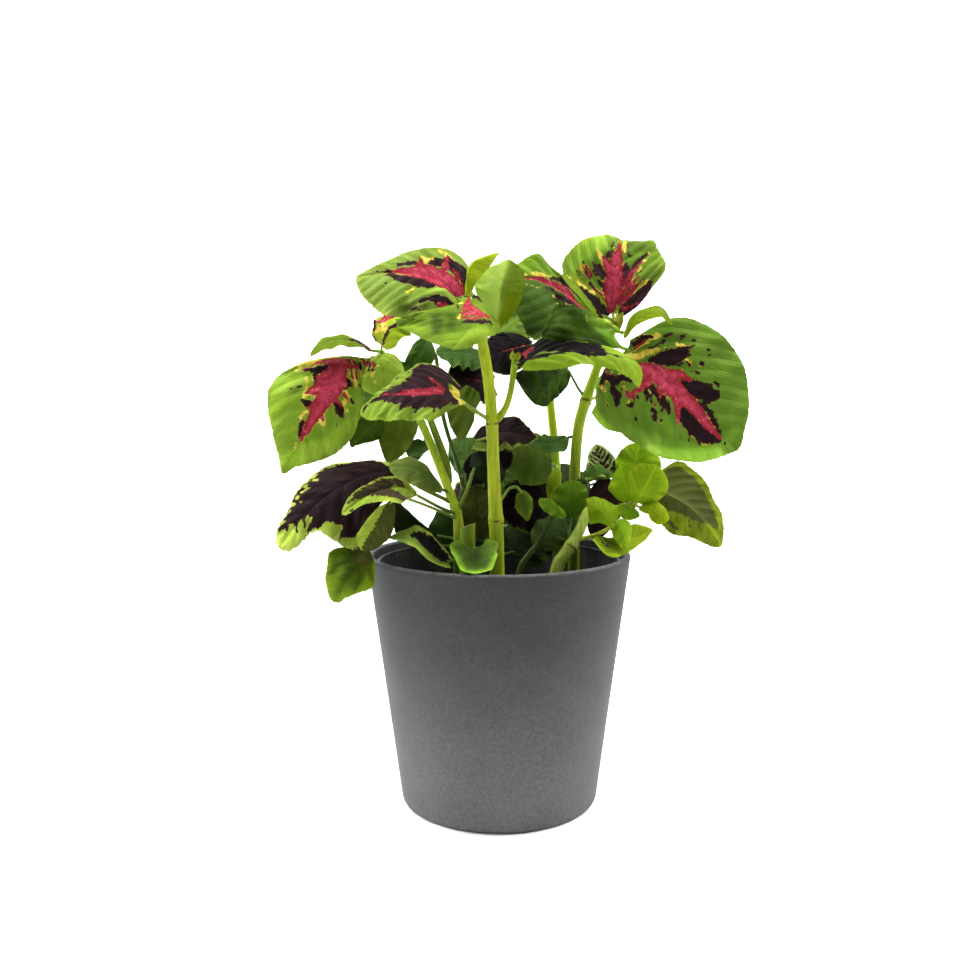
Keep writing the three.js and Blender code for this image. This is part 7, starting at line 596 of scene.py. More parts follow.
KINDS = {
    # green at the middle and at the margin, underside colour, share of dark purple, width of the light margin
    'top': dict(g=(.160, .300, .018), g2=(.240, .375, .026), u=(.20, .32, .045), pat='top', dark=.25),
    'young': dict(g=(.255, .345, .012), g2=(.340, .415, .020), u=(.34, .42, .05), pat='plain', dark=.5),
    'young2': dict(g=(.190, .260, .020), g2=(.300, .370, .024), u=(.30, .38, .05), pat='limeveins', dark=.5),
    'under': dict(g=(.040, .085, .012), g2=(.075, .145, .018), u=(.038, .074, .011), pat='plain', dark=.3),
    'dark': dict(g=(.045, .10, .015), g2=(.08, .17, .02), u=(.045, .065, .02), pat='dark', dark=.0, margin=1.2),
    'mid': dict(g=(.17, .29, .022), g2=(.26, .37, .03), u=(.10, .14, .03), pat='mid', dark=.5, margin=5.5),
    'mid2': dict(g=(.20, .34, .018), g2=(.26, .39, .025), u=(.13, .23, .02), pat='base', dark=.6),
    'plain': dict(g=(.125, .235, .014), g2=(.180, .300, .018), u=(.14, .24, .02), pat='plain', dark=.3),
    'small': dict(g=(.25, .39, .02), g2=(.30, .42, .03), u=(.16, .27, .03), pat='top', dark=.5),
    'green': dict(g=(.034, .074, .011), g2=(.070, .135, .018), u=(.045, .085, .015), pat='plain', dark=.2),
    'purple': dict(g=(.22, .31, .03), g2=(.37, .46, .065), u=(.06, .055, .028), pat='purple', dark=.18, margin=1.0),
    'purple2': dict(g=(.16, .29, .018), g2=(.28, .40, .03), u=(.10, .13, .04), pat='purple', dark=.4, margin=2.2),
    'purple3': dict(g=(.085, .135, .010), g2=(.22, .33, .014), u=(.09, .14, .02), pat='rib', dark=.3),
    'olive': dict(g=(.075, .115, .018), g2=(.12, .17, .022), u=(.09, .13, .03), pat='plain', dark=.3),
    'olive2': dict(g=(.055, .085, .010), g2=(.15, .22, .018), u=(.24, .36, .03), pat='plain', dark=.3),
    'varieg': dict(g=(.25, .30, .12), g2=(.42, .48, .22), u=(.10, .15, .04), pat='mottle', dark=.2),
    'bright': dict(g=(.175, .320, .010), g2=(.260, .400, .014), u=(.20, .33, .02), pat='plain', dark=.3, pale=1.0),
    'purpleunder': dict(g=(.21, .30, .02), g2=(.26, .37, .022), u=(.17, .25, .018), pat='purple', dark=2.0, margin=2.6),
    'lime': dict(g=(.27, .40, .016), g2=(.34, .44, .025), u=(.26, .37, .03), pat='specks', dark=.3),
    'bud': dict(g=(.42, .45, .03), g2=(.48, .48, .04), u=(.42, .45, .04), pat='bud', dark=.5),
}


def strokes(u, v, items, start):
    """signed distance in mm, inside positive, to a set of tapering strokes"""
    best = np.full(u.shape, start)
    for pts in items:
        pts = np.array(pts, float)
        if len(pts) == 1:
            d = pts[0, 2] - np.hypot(u - pts[0, 0], v - pts[0, 1])
            best = np.maximum(best, d)
            continue
        for a, b in zip(pts[:-1], pts[1:]):
            ab = b[:2] - a[:2]
            L2 = max(1e-9, ab @ ab)
            k = np.clip(((u - a[0]) * ab[0] + (v - a[1]) * ab[1]) / L2, 0, 1)
            d = a[2] + (b[2] - a[2]) * k - np.hypot(u - a[0] - ab[0] * k, v - a[1] - ab[1] * k)
            best = np.maximum(best, d)
    return best


def generic(f, pat, L, Wm, sp, rng, K):
    """strokes of a leaf whose markings have no places of their own"""
    m, d = [], []
    if pat == 'top':
        m.append([(.04 * L, 0, .055 * L), (.35 * L, 0, .05 * L), (.78 * L, 0, .3)])
        for sgn in (-1, 1):
            for k in range(1, 6):
                u0 = (k + (.35 if sgn > 0 else 0)) * sp
                if u0 > .62 * L:
                    break
                r = Wm * (.30 + .28 * rng.rand()) * (1 - .5 * u0 / L)
                w = sp * (.20 + .12 * rng.rand())
                m.append([(u0, 0, w), (u0 + .6 * r + .3 * r * r / Wm, sgn * r, .25)])
                for _ in range(2):
                    if rng.rand() < .85:
                        r0 = Wm * (.16 + .30 * rng.rand())
                        r1 = r0 + Wm * (.10 + .24 * rng.rand())
                        uu = u0 + sp * .5 + sp * .25 * (rng.rand() - .5)
                        d.append([(uu + .62 * r0, sgn * r0, sp * .30), (uu + .68 * r1, sgn * r1, sp * (.12 + .2 * rng.rand()))])
                if rng.rand() < .8:
                    r0 = Wm * (.45 + .3 * rng.rand())
                    d.append([(u0 + sp * rng.rand() + .66 * r0, sgn * r0, .3 + .6 * rng.rand())])
    elif pat == 'mid':
        m.append([(.05 * L, 0, .05 * L), (.45 * L, 0, .055 * L), (.62 * L, 0, .3)])
    elif pat == 'dark':
        m.append([(.05 * L, 0, .012 * L), (.7 * L, 0, .05)])
    elif pat == 'base':
        m.append([(.0, 0, .05 * L), (.12 * L, 0, .3)])
        d.append([(.0, 0, .13 * L), (.25 * L, 0, .07 * L), (.42 * L, 0, .3)])
    elif pat == 'rib':
        d.append([(0, 0, .09 * L), (.3 * L, 0, .05 * L), (.75 * L, 0, .3)])
        for sgn in (-1, 1):
            for k in range(1, 5):
                u0 = k * sp
                r = Wm * .5
                d.append([(u0, 0, sp * .22), (u0 + .9 * r, sgn * r, .15)])
    elif pat in ('specks', 'limeveins'):
        for _ in range(5 if pat == 'specks' else 2):
            d.append([((.25 + .6 * rng.rand()) * L, (rng.rand() - .5) * Wm, .25 + .35 * rng.rand())])
    elif pat == 'bud':
        m.append([(.1 * L, 0, .12 * Wm), (.5 * L, 0, .1)])
        d.append([(.3 * L, .4 * Wm, .15 * Wm)])
    return m, d


def place_marks(f, items, P, U, V, flip):
    """px strokes to strokes on the leaf: each point goes to the nearest drawn vertex that faces the viewer"""
    q = proj(P)
    out = {}
    for ch, pts in items:
        row = []
        for x, y, w in pts:
            d = np.hypot(q[..., 0] - x, q[..., 1] - y)
            dm = d.min()
            cand = d < max(dm + .6, 1.2)
            z = np.where(cand, q[..., 2] + d * 2, 1e9)
            k = np.unravel_index(np.argmin(z), z.shape)
            row.append((U[k], V[k], w))
        out.setdefault(ch, []).append(row)
    return out


def add_leaf(B, f, mats, detail=1.0, seed=None):
    """blade, petiole and midrib of one leaf; mats = indices of upper, under and stalk materials"""
    K = KINDS[f['kind']]
    rng = np.random.RandomState(abs(hash_of(f['id'])) % 100000)
    n0 = 12
    P0, L, wl, wr, _, _ = leaf_grid(f, np.linspace(0, 1, n0 + 1), np.linspace(0, 1, 3))
    Wm = max(wl.max(), wr.max())
    nt = int(np.clip(round(L / (.55 / detail)), 14, 150))
    ns = int(np.clip(round(Wm / (1.15 / detail)), 5, 26))
    ts = np.linspace(0, 1, nt + 1)
    us = 1 - (1 - np.linspace(0, 1, ns + 1)) ** 1.3
    P, L, wl, wr, nn, M = leaf_grid(f, ts, us)
    S = np.r_[-us[:0:-1], us]  # -1 left .. 1 right
    W = np.where(S[None] < 0, wl[:, None], wr[:, None])
    V = S[None] * W
    U = np.repeat((ts * L)[:, None], len(S), 1)
    aV, aS = np.abs(V), np.abs(S)[None]
    Wsm = np.maximum(W, .25 * Wm)
    sp = L / (7.4 if L > 30 else 6.2)
    X = (U - .62 * aV - .30 * aV * aV / Wsm) / sp + np.where(S[None] > 0, -.35, 0)
    E = np.minimum((1 - aS) * np.maximum(W, .5), (1 - ts)[:, None] * L * 1.2 + .0)
    # crenate margin
    tooth_l = f.get('tooth', 2.7 if L > 40 else 2.1 if L > 22 else 1.5)
    tooth_a = f.get('tooth_a', .62 if L > 40 else .42 if L > 22 else .25) * min(1, Wm / 8)
    for col, inner, sgn in ((0, 2, -1), (-1, -3, 1)):
        e = P[:, col]
        arc = np.r_[0, np.cumsum(np.linalg.norm(np.diff(e, axis=0), axis=1))]
        arc = arc + .35 * tooth_l * np.sin(arc / tooth_l * 1.7 + seed_of(f) * 9)
        ph = (arc / tooth_l) % 1
        h = ph ** .75 * (1 - ph ** 4.5) * 1.35 - .35
        h = h * tooth_a * np.clip(ts / .06, 0, 1) * np.clip((1 - ts) / .03, .2, 1)
        out = unit(e - P[:, inner])
        cols = np.where((S * sgn) > .7)[0]
        for c in cols:
            w = ((abs(S[c]) - .7) / .3) ** 1.6
            P[:, c] += out * (h * w)[:, None]
    # normals and quilting between the side veins
    dT = np.gradient(P, axis=0)
    dS = np.gradient(P, axis=1)
    N = unit(np.cross(dS, dT))
    N = np.where((np.einsum('ijk,ik->ij', N, nn) < -.9)[..., None], -N, N)
    fr = X - np.round(X)
    body = np.clip(E / 2.2, 0, 1)
    q = f.get('quilt', 1.0) * min(.55, .012 * L)
    bulge = q * (np.cos(math.pi * 2 * fr) * -.5 + .1) * body * np.clip(aV / 2.5, 0, 1)
    # finer puckers along the cells
    bulge = bulge + q * .20 * np.sin(V * 1.15 + X * 1.3 + seed_of(f) * 40) * np.sin(X * 6.28) * body
    groove = -.35 * min(1, L / 40) * np.exp(-(aV / 1.1) ** 2)
    cam_side = np.sign((unit(EYE - P.reshape(-1, 3)) * N.reshape(-1, 3)).sum(-1).mean())
    if f['id'].startswith('back'):
        out = unit(P.reshape(-1, 3) - np.array([0, 10.0, 180.0])) * [1, 1, 0] + [0, 0, .9]
        top = np.sign((out * N.reshape(-1, 3)).sum(-1).mean())
    else:
        top = cam_side * (-1 if f['kind'] in ('under', 'purpleunder') else 1)
    if top == 0:
        top = 1
    P = P + N * (top * (bulge + groove) * 1.0)[..., None]
    thick = .42 * (1 - .55 * aS ** 2) * (1 if L > 20 else .75) + 0 * U
    ridge = .75 * min(1, L / 35) * np.exp(-(aV / .85) ** 2) * (1 - .85 * ts)[:, None]
    A = P + N * (top * thick * .5)[..., None]          # upper face
    C = P - N * (top * (thick * .5 + ridge))[..., None]  # underside
    # colour fields
    pat = K['pat']
    seed = seed_of(f)
    marks = MARKS.get(f['id'])
    big = -9.0
    if marks is None:
        m_s, d_s = generic(f, pat, L, Wm, sp, rng, K)
        if f.get('nomag'):
            m_s = []
        y_s, extra = [], .45 if pat == 'top' else 0
        g_s, over, got = [], [], {}
    else:
        got = place_marks(f, marks, P, U, V, 0)
        m_s, d_s, y_s, g_s = (got.get(c, []) for c in 'mdyg')
        over = got.get('D', [])
        extra = f.get('fringe', .35)
    m = strokes(U, V, m_s, big)
    d = strokes(U, V, d_s, big)
    y = strokes(U, V, y_s, big)
    if pat in ('mid', 'dark', 'purple') and (marks is None or f.get('whole')):
        mg = f.get('margin', K.get('margin', 2.0))
        d = np.maximum(d, E - mg)
    if extra and pat in ('top', 'small'):
        y = np.maximum(y, np.maximum(m, d) - .9 + extra * 2)
    g = strokes(U, V, g_s, big)
    if g_s:
        d, m = np.minimum(d, -g), np.minimum(m, -g)
    if over:
        o = strokes(U, V, over, big)
        d, m = np.maximum(d, o), np.minimum(m, -o)
    if pat == 'mottle':
        d = np.maximum(d, .9 - 3.2 * np.abs(fr) * 1.0 + 0 * U)
        d = np.minimum(d, E - 1.2)
    clip = lambda a: np.clip(a, -6, 6)
    co = np.stack([X, V, E, np.full(X.shape, seed)], -1)
    cf = np.stack([clip(m), clip(d), clip(y), np.full(X.shape, f.get('dark', K['dark']))], -1)
    g1, g2 = np.array(f.get('g', K['g'])), np.array(f.get('g2', K['g2']))
    w = np.exp(-E / (.16 * Wm + .8))[..., None]
    tint = 1 + .10 * math.sin(seed * 37)
    pale = np.full(X.shape + (1,), f.get('pale', K.get('pale', 0.0)))
    col = (g1 * (1 - w) + g2 * w) * tint
    if 'split' in f:
        # painted light and shade: one half of the blade gets a lit tone and the other a shaded tone
        c0, c1 = (np.array(c) for c in f['split'])
        k = (.5 + .5 * np.tanh(V / 1.2))[..., None]
        col = (c0 * (1 - k) + c1 * k) * (1 + .22 * w)
    # painted light and shade: the L and H strokes lighten and the S and T strokes darken the colour where light falls
    # on the blade or shade lies, on the upper face and on the underside
    light = np.zeros(X.shape)
    for ch, amount in (('S', -.45), ('T', -.95), ('L', .38), ('H', .75)):
        if ch in got:
            light = light + amount / (1 + np.exp(-strokes(U, V, got[ch], big) / .55))
    col = col * np.exp(light)[..., None]
    cg = np.concatenate([col, pale], -1)
    cu = np.concatenate([np.array(f.get('u', K['u'])) * tint * np.exp(light)[..., None], pale], -1)
    R, Cn = X.shape
    a0 = B.verts(A, co, cf, cg)
    c0 = B.verts(C, co, cf, cu)
    I = np.arange(R * Cn).reshape(R, Cn)
    q4 = np.stack([I[:-1, :-1], I[:-1, 1:], I[1:, 1:], I[1:, :-1]], -1).reshape(-1, 4)
    uvv = np.stack([V, U], -1).reshape(-1, 2)
    # a copy of these points; the islands get a margin of .6 mm round them
    uvv = uvv.copy()
    lo, hi = uvv.min(0) - .6, uvv.max(0) + .6
    it = B.island(lo, hi)
    iu = B.island(lo, hi)
    up, dn = (q4, q4[:, ::-1]) if top > 0 else (q4[:, ::-1], q4)
    B.quads(a0 + up, mats[0], uvv[up], it)
    B.quads(c0 + dn, mats[1], uvv[dn], iu)
    # margin: left, right, tip and base
    rims = ((I[:, 0], (-.45, 0), False), (I[:, -1], (.45, 0), True), (I[0, :], (0, -.45), True), (I[-1, :], (0, .45), False))
    for line, off, rev in rims:
        a, b = line[:-1], line[1:]
        quad = np.stack([a0 + a, a0 + b, c0 + b, c0 + a], -1)
        uvq = np.stack([uvv[a], uvv[b], uvv[b] + off, uvv[a] + off], 1)
        if rev != (top < 0):
            quad, uvq = quad[:, ::-1], uvq[:, ::-1]
        B.quads(quad, mats[0], uvq, it)
    # petiole, from under the blade's base to the stem
    k0 = max(2, int(nt * .06))
    mid = len(S) // 2
    start = (A[k0, mid] + C[k0, mid]) / 2
    base = (A[0, mid] + C[0, mid]) / 2
    pts = [start, base] + [np.array(p, float) for p in f['pet']]
    at = np.array(f['at'], float)
    dd = at - pts[-1]
    far = np.linalg.norm(dd)
    if .05 < far < 9:
        pts.append(pts[-1] + dd / far * (far * .85))
    keep = [pts[0]]
    for p in pts[1:]:
        if np.linalg.norm(p - keep[-1]) > .35:
            keep.append(p)
    pr = f.get('pr_', .55 + .45 * min(1, L / 60))
    rads = [pr * .45, pr * .85] + [pr] * (len(keep) - 3) + [pr * 1.25]
    if len(keep) >= 3:
        ring, cov, cfv, Cc, s, rad, _, _ = tube(B, keep, rads[:len(keep)], mats[2], sides=8, step=1.1, co=seed)
        col = np.array(f.get('pc', PET.get(f['kind'], (.27, .40, .045))))
        cgv = np.ones(ring.shape[:2] + (4,))
        cgv[..., :3] = col * tint
        add_tube(B, ring, cov, cfv, cgv, rad, mats[2])
    return P


PET = {'top': (.26, .38, .018), 'purple': (.20, .24, .025), 'purple2': (.16, .24, .02), 'mid': (.17, .24, .02), 'dark': (.08, .13, .015), 'plain': (.16, .26, .016),
       'green': (.085, .160, .014), 'under': (.10, .175, .016), 'purple3': (.13, .14, .03), 'purpleunder': (.18, .21, .04), 'olive': (.14, .20, .04),
       'bright': (.24, .42, .03), 'varieg': (.14, .2, .05)}


def hash_of(s):
    h = 7
    for c in s:
        h = (h * 31 + ord(c)) % 1000003
    return h


def seed_of(f):
    return (hash_of(f['id']) % 997) / 997.0


# ---- materials ---------------------------------------------------------------------


class Nodes:
    """short names for building a node tree"""

    def __init__(self, name):
        self.m = bpy.data.materials.new(name)
        self.m.use_nodes = True
        self.t = self.m.node_tree
        self.t.nodes.clear()
        self.out = self.t.nodes.new('ShaderNodeOutputMaterial')
        self.p = self.t.nodes.new('ShaderNodeBsdfPrincipled')
        self.t.links.new(self.p.outputs[0], self.out.inputs[0])

    def put(self, sock, v):
        if isinstance(v, bpy.types.NodeSocket):
            self.t.links.new(v, sock)
        else:
            sock.default_value = v

    def attr(self, name):
        n = self.t.nodes.new('ShaderNodeAttribute')
        n.attribute_name = name
        return n

    def math(self, op, a, b=None, c=None, clamp=False):
        n = self.t.nodes.new('ShaderNodeMath')
        n.operation = op
        n.use_clamp = clamp
        self.put(n.inputs[0], a)
        if b is not None:
            self.put(n.inputs[1], b)
        if c is not None:
            self.put(n.inputs[2], c)
        return n.outputs[0]

    def xyz(self, v):
        n = self.t.nodes.new('ShaderNodeSeparateXYZ')
        self.put(n.inputs[0], v)
        return n.outputs

    def comb(self, x, y, z):
        n = self.t.nodes.new('ShaderNodeCombineXYZ')
        for i, v in enumerate((x, y, z)):
            self.put(n.inputs[i], v)
        return n.outputs[0]

    def noise(self, vec, scale, detail=2.0, rough=.5, dist=0.0):
        n = self.t.nodes.new('ShaderNodeTexNoise')
        if vec is not None:
            self.put(n.inputs['Vector'], vec)
        n.inputs['Scale'].default_value = scale
        n.inputs['Detail'].default_value = detail
        n.inputs['Roughness'].default_value = rough
        n.inputs['Distortion'].default_value = dist
        return n.outputs['Fac']

    def voronoi(self, vec, scale, feature='DISTANCE_TO_EDGE'):
        n = self.t.nodes.new('ShaderNodeTexVoronoi')
        n.feature = feature
        self.put(n.inputs['Vector'], vec)
        n.inputs['Scale'].default_value = scale
        return n.outputs['Distance']

    def ramp(self, v, lo, hi, a=0.0, b=1.0, smooth=True):
        n = self.t.nodes.new('ShaderNodeMapRange')
        n.interpolation_type = 'SMOOTHSTEP' if smooth else 'LINEAR'
        self.put(n.inputs[0], v)
        for i, x in enumerate((lo, hi, a, b)):
            n.inputs[1 + i].default_value = x
        return n.outputs[0]

    def mix(self, fac, a, b, mode='MIX'):
        n = self.t.nodes.new('ShaderNodeMix')
        n.data_type = 'RGBA'
        n.blend_type = mode
        self.put(n.inputs[0], fac)
        for s, v in ((n.inputs[6], a), (n.inputs[7], b)):
            if isinstance(v, (tuple, list)):
                s.default_value = (*v[:3], 1)
            else:
                self.put(s, v)
        return n.outputs[2]

    def obj(self):
        n = self.t.nodes.new('ShaderNodeTexCoord')
        return n.outputs['Object']

    def bump(self, h, strength, dist):
        n = self.t.nodes.new('ShaderNodeBump')
        n.inputs['Strength'].default_value = strength
        n.inputs['Distance'].default_value = dist
        self.put(n.inputs['Height'], h)
        return n.outputs[0]


def leaf_material(name, under):
    k = Nodes(name)
    co, cf, cg = k.attr('co'), k.attr('cf'), k.attr('cg')
    x, v, e = k.xyz(co.outputs['Color'])
    seed = co.outputs['Alpha']
    m, d, y = k.xyz(cf.outputs['Color'])
    tone = cf.outputs['Alpha']
    pale = cg.outputs['Alpha']
    obj = k.obj()
    sd = k.math('MULTIPLY', seed, 57.0)
    # fibres run out along the side veins, so noise across them is fine and along them long
    fib = k.noise(k.comb(k.math('MULTIPLY', x, 3.6), k.math('MULTIPLY', v, .34), sd), 1.0, 2.0, .55)
    low = k.noise(k.comb(k.math('MULTIPLY', x, .9), k.math('MULTIPLY', v, .16), sd), 1.0, 1.0, .5)
    soft = k.noise(obj, 95.0, 2.0, .5)
    iso = k.noise(obj, 420.0, 3.0, .6)
    spot = k.noise(obj, 900.0, 1.0, .5)
    jit = k.math('ADD', k.math('MULTIPLY', k.math('SUBTRACT', fib, .5), 3.6), k.math('MULTIPLY', k.math('SUBTRACT', iso, .5), 2.6))
    jit = k.math('ADD', jit, k.math('MULTIPLY', k.math('SUBTRACT', spot, .5), 1.2))
    # veins: distance to the nearest side vein and to the midrib
    fx = k.math('ABSOLUTE', k.math('SUBTRACT', k.math('FRACT', k.math('ADD', x, .5)), .5))
    av = k.math('ABSOLUTE', v)
    vein = k.ramp(fx, 0.0, .085, 1.0, 0.0)
    rib = k.ramp(av, .15, .75, 1.0, 0.0)
    veins = k.math('MAXIMUM', k.math('MULTIPLY', vein, k.ramp(e, .3, 3.0)), rib)
    net = k.voronoi(k.comb(k.math('MULTIPLY', x, 2.7), k.math('MULTIPLY', v, .46), sd), 1.0)
    netl = k.ramp(net, 0.0, .12, 1.0, 0.0)
    col = cg.outputs['Color']
    col = k.mix(k.ramp(soft, .36, .64), col, k.mix(1.0, col, (.76, .83, .66), 'MULTIPLY'))
    col = k.mix(k.math('MULTIPLY', k.ramp(low, .38, .66), .35), col, k.mix(1.0, col, (.78, .82, .7), 'MULTIPLY'))
    col = k.mix(k.math('MULTIPLY', k.ramp(iso, .42, .70), .22), col, k.mix(1.0, col, (1.34, 1.28, 1.15), 'MULTIPLY'))
    if under:
        # dull face: pale raised veins on a flat ground
        stain = k.ramp(k.math('ADD', d, k.math('MULTIPLY', jit, .8)), -.3, .6)
        full = k.ramp(tone, 1.0, 2.0, 0.0, 1.0, False)
        ground = k.mix(full, (.030, .020, .016), (.070, .078, .020))
        col = k.mix(k.math('MULTIPLY', stain, k.ramp(full, 0, 1, .5, .96)), col, ground)
        col = k.mix(k.math('MULTIPLY', netl, .14), col, k.mix(1.0, col, (.70, .72, .7), 'MULTIPLY'))
        col = k.mix(k.math('MULTIPLY', veins, .40), col, k.mix(1.0, col, (1.8, 1.7, 1.4), 'MULTIPLY'))
        h = k.math('ADD', k.math('MULTIPLY', veins, .5), k.math('MULTIPLY', netl, .16))
        h = k.math('ADD', h, k.math('MULTIPLY', iso, .25))
        k.put(k.p.inputs['Roughness'], k.ramp(iso, .3, .8, .58, .74))
        k.p.inputs['Sheen Weight'].default_value = .015
        k.put(k.p.inputs['Normal'], k.bump(h, .40, .0006))
    else:
        col = k.mix(k.math('MULTIPLY', netl, .13), col, k.mix(1.0, col, (.66, .74, .6), 'MULTIPLY'))
        vcol = k.mix(pale, k.mix(1.0, col, (.66, .75, .6), 'MULTIPLY'), k.mix(1.0, col, (1.55, 1.35, 1.9), 'MULTIPLY'))
        col = k.mix(k.math('MULTIPLY', veins, k.ramp(pale, 0, 1, .26, .60)), col, vcol)
        yy = k.ramp(k.math('ADD', k.math('ADD', y, k.math('MULTIPLY', k.math('SUBTRACT', low, .52), 4.0)), k.math('MULTIPLY', jit, .6)), -.25, .25)
        yel = k.mix(k.ramp(iso, .35, .65), (.60, .42, .018), (.74, .62, .13))
        lime = k.mix(k.ramp(iso, .35, .65), (.23, .33, .014), (.36, .44, .045))
        yel = k.mix(k.ramp(tone, -1.0, 0.0, 1.0, 0.0), yel, lime)
        col = k.mix(yy, col, yel)
        dd = k.math('ADD', d, k.math('MULTIPLY', jit, .85))
        dm = k.ramp(dd, -.16, .16)
        dark = k.mix(k.ramp(tone, 0.0, 1.0, 0.0, 1.0, False), (.0100, .0055, .0060), (.036, .016, .020))
        dark = k.mix(k.ramp(tone, 1.0, 2.0, 0.0, 1.0, False), dark, (.042, .054, .009))
        dark = k.mix(k.ramp(tone, -2.0, -1.0, 1.0, 0.0, False), dark, (.0032, .0023, .0022))
        dark = k.mix(k.ramp(fib, .35, .7), dark, k.mix(1.0, dark, (1.6, 1.35, 1.45), 'MULTIPLY'))
        dark = k.mix(k.math('MULTIPLY', k.ramp(dd, 0.0, .9, 1.0, 0.0), .55), dark, (.075, .022, .016))
        col = k.mix(dm, col, dark)
        mj = k.math('ADD', m, k.math('MULTIPLY', jit, .66))
        mm = k.ramp(mj, -.2, .2)
        deep = k.ramp(mj, .0, 2.6)
        mag = k.mix(deep, (.27, .018, .022), (.53, .052, .098))
        mag = k.mix(k.math('MULTIPLY', k.ramp(fib, .42, .66), .70), mag, (.22, .018, .028))
        mag = k.mix(k.math('MULTIPLY', k.ramp(iso, .54, .72), .6), mag, (.66, .15, .16))
        col = k.mix(mm, col, mag)
        h = k.math('SUBTRACT', k.math('MULTIPLY', k.ramp(net, 0, .35), .40), k.math('MULTIPLY', veins, .5))
        h = k.math('ADD', h, k.math('MULTIPLY', iso, .30))
        k.put(k.p.inputs['Roughness'], k.ramp(k.math('ADD', iso, k.math('MULTIPLY', dm, .15)), .3, .9, .44, .62))
        k.p.inputs['Sheen Weight'].default_value = .0
        k.put(k.p.inputs['Normal'], k.bump(h, .45, .0007))
    k.put(k.p.inputs['Base Color'], col)
    k.p.inputs['Specular IOR Level'].default_value = .03
    return k.m


def stem_material(name):
    k = Nodes(name)
    co, cf, cg = k.attr('co'), k.attr('cf'), k.attr('cg')
    s, a, _ = k.xyz(co.outputs['Color'])
    scar, brown, dark = k.xyz(cf.outputs['Color'])
    obj = k.obj()
    o = k.xyz(obj)
    streak = k.noise(k.comb(k.math('MULTIPLY', o[0], 900.0), k.math('MULTIPLY', o[1], 900.0), k.math('MULTIPLY', o[2], 60.0)), 1.0, 3.0, .6)
    fine = k.noise(obj, 1100.0, 2.0, .5)
    col = cg.outputs['Color']
    col = k.mix(k.ramp(streak, .38, .66), col, k.mix(1.0, col, (.62, .76, .55), 'MULTIPLY'))
    col = k.mix(k.math('MULTIPLY', k.ramp(fine, .5, .75), .35), col, k.mix(1.0, col, (1.35, 1.25, 1.1), 'MULTIPLY'))
    sc = k.ramp(k.math('ADD', scar, k.math('MULTIPLY', k.math('SUBTRACT', fine, .5), 1.1)), .35, .75)
    col = k.mix(k.math('MULTIPLY', sc, .85), col, (.105, .032, .018))
    br = k.ramp(k.math('ADD', brown, k.math('MULTIPLY', k.math('SUBTRACT', streak, .5), .9)), .3, .9)
    col = k.mix(k.math('MULTIPLY', br, .7), col, (.13, .105, .05))
    # painted shade: the third field darkens the stem just above the soil
    col = k.mix(k.math('MULTIPLY', dark, .8), col, (.02, .025, .01))
    k.put(k.p.inputs['Base Color'], col)
    k.put(k.p.inputs['Roughness'], k.ramp(streak, .3, .8, .36, .52))
    k.p.inputs['Specular IOR Level'].default_value = .28
    k.put(k.p.inputs['Normal'], k.bump(k.math('ADD', streak, k.math('MULTIPLY', fine, .4)), .35, .0005))
    return k.m


def pot_material():
    k = Nodes('pot_matt_grey')
    obj = k.obj()
    o = k.xyz(obj)
    fine = k.noise(obj, 1500.0, 2.0, .65)
    grain = k.noise(obj, 620.0, 4.0, .7)
    cloud = k.noise(obj, 38.0, 3.0, .55)
    # painted shade: the grey darkens from the foot up to the lip, where the leaves shade the pot
    z = k.ramp(o[2], .0, .124)
    col = k.mix(z, (.112, .114, .110), (.037, .038, .038))
    col = k.mix(k.ramp(grain, .36, .66), k.mix(1.0, col, (.82, .83, .84), 'MULTIPLY'), k.mix(1.0, col, (1.16, 1.16, 1.15), 'MULTIPLY'))
    col = k.mix(k.math('MULTIPLY', k.ramp(fine, .60, .74), .13), col, (.24, .245, .24))
    col = k.mix(k.math('MULTIPLY', k.ramp(fine, .28, .40, 1.0, 0.0), .45), col, (.035, .036, .038))
    col = k.mix(k.ramp(cloud, .3, .7), k.mix(1.0, col, (.94, .94, .95), 'MULTIPLY'), k.mix(1.0, col, (1.06, 1.06, 1.05), 'MULTIPLY'))
    # painted highlight: a lighter line along the top of the lip, broken up by the grain
    lip = k.math('MULTIPLY', k.ramp(o[2], .1226, .1236), k.ramp(grain, .3, .6))
    col = k.mix(k.math('MULTIPLY', lip, .30), col, (.24, .245, .24))
    k.put(k.p.inputs['Base Color'], col)
    k.put(k.p.inputs['Roughness'], k.ramp(grain, .3, .7, .62, .82))
    k.p.inputs['Specular IOR Level'].default_value = .25
    k.put(k.p.inputs['Normal'], k.bump(k.math('ADD', k.math('MULTIPLY', grain, .7), k.math('MULTIPLY', fine, .5)), .30, .0004))
    return k.m


def grow_material():
    k = Nodes('grow_pot_black')
    obj = k.obj()
    n = k.noise(obj, 300.0, 3.0, .6)
    dust = k.noise(obj, 90.0, 3.0, .6)
    col = k.mix(k.ramp(n, .4, .7), (.010, .010, .011), (.016, .016, .017))
    col = k.mix(k.math('MULTIPLY', k.ramp(dust, .55, .75), .35), col, (.05, .04, .03))
    k.put(k.p.inputs['Base Color'], col)
    k.put(k.p.inputs['Roughness'], k.ramp(n, .3, .7, .45, .65))
    k.put(k.p.inputs['Normal'], k.bump(n, .25, .0004))
    return k.m


def soil_material():
    k = Nodes('potting_soil_damp')
    obj = k.obj()
    a = k.noise(obj, 240.0, 5.0, .7)
    b = k.noise(obj, 900.0, 2.0, .6)
    col = k.mix(k.ramp(a, .38, .64), (.0075, .0048, .0030), (.027, .016, .0085))
    col = k.mix(k.math('MULTIPLY', k.ramp(b, .62, .74), .7), col, (.075, .048, .022))
    k.put(k.p.inputs['Base Color'], col)
    k.put(k.p.inputs['Roughness'], k.ramp(b, .3, .7, .78, .98))
    k.put(k.p.inputs['Normal'], k.bump(k.math('ADD', a, k.math('MULTIPLY', b, .5)), .8, .0015))
    return k.m


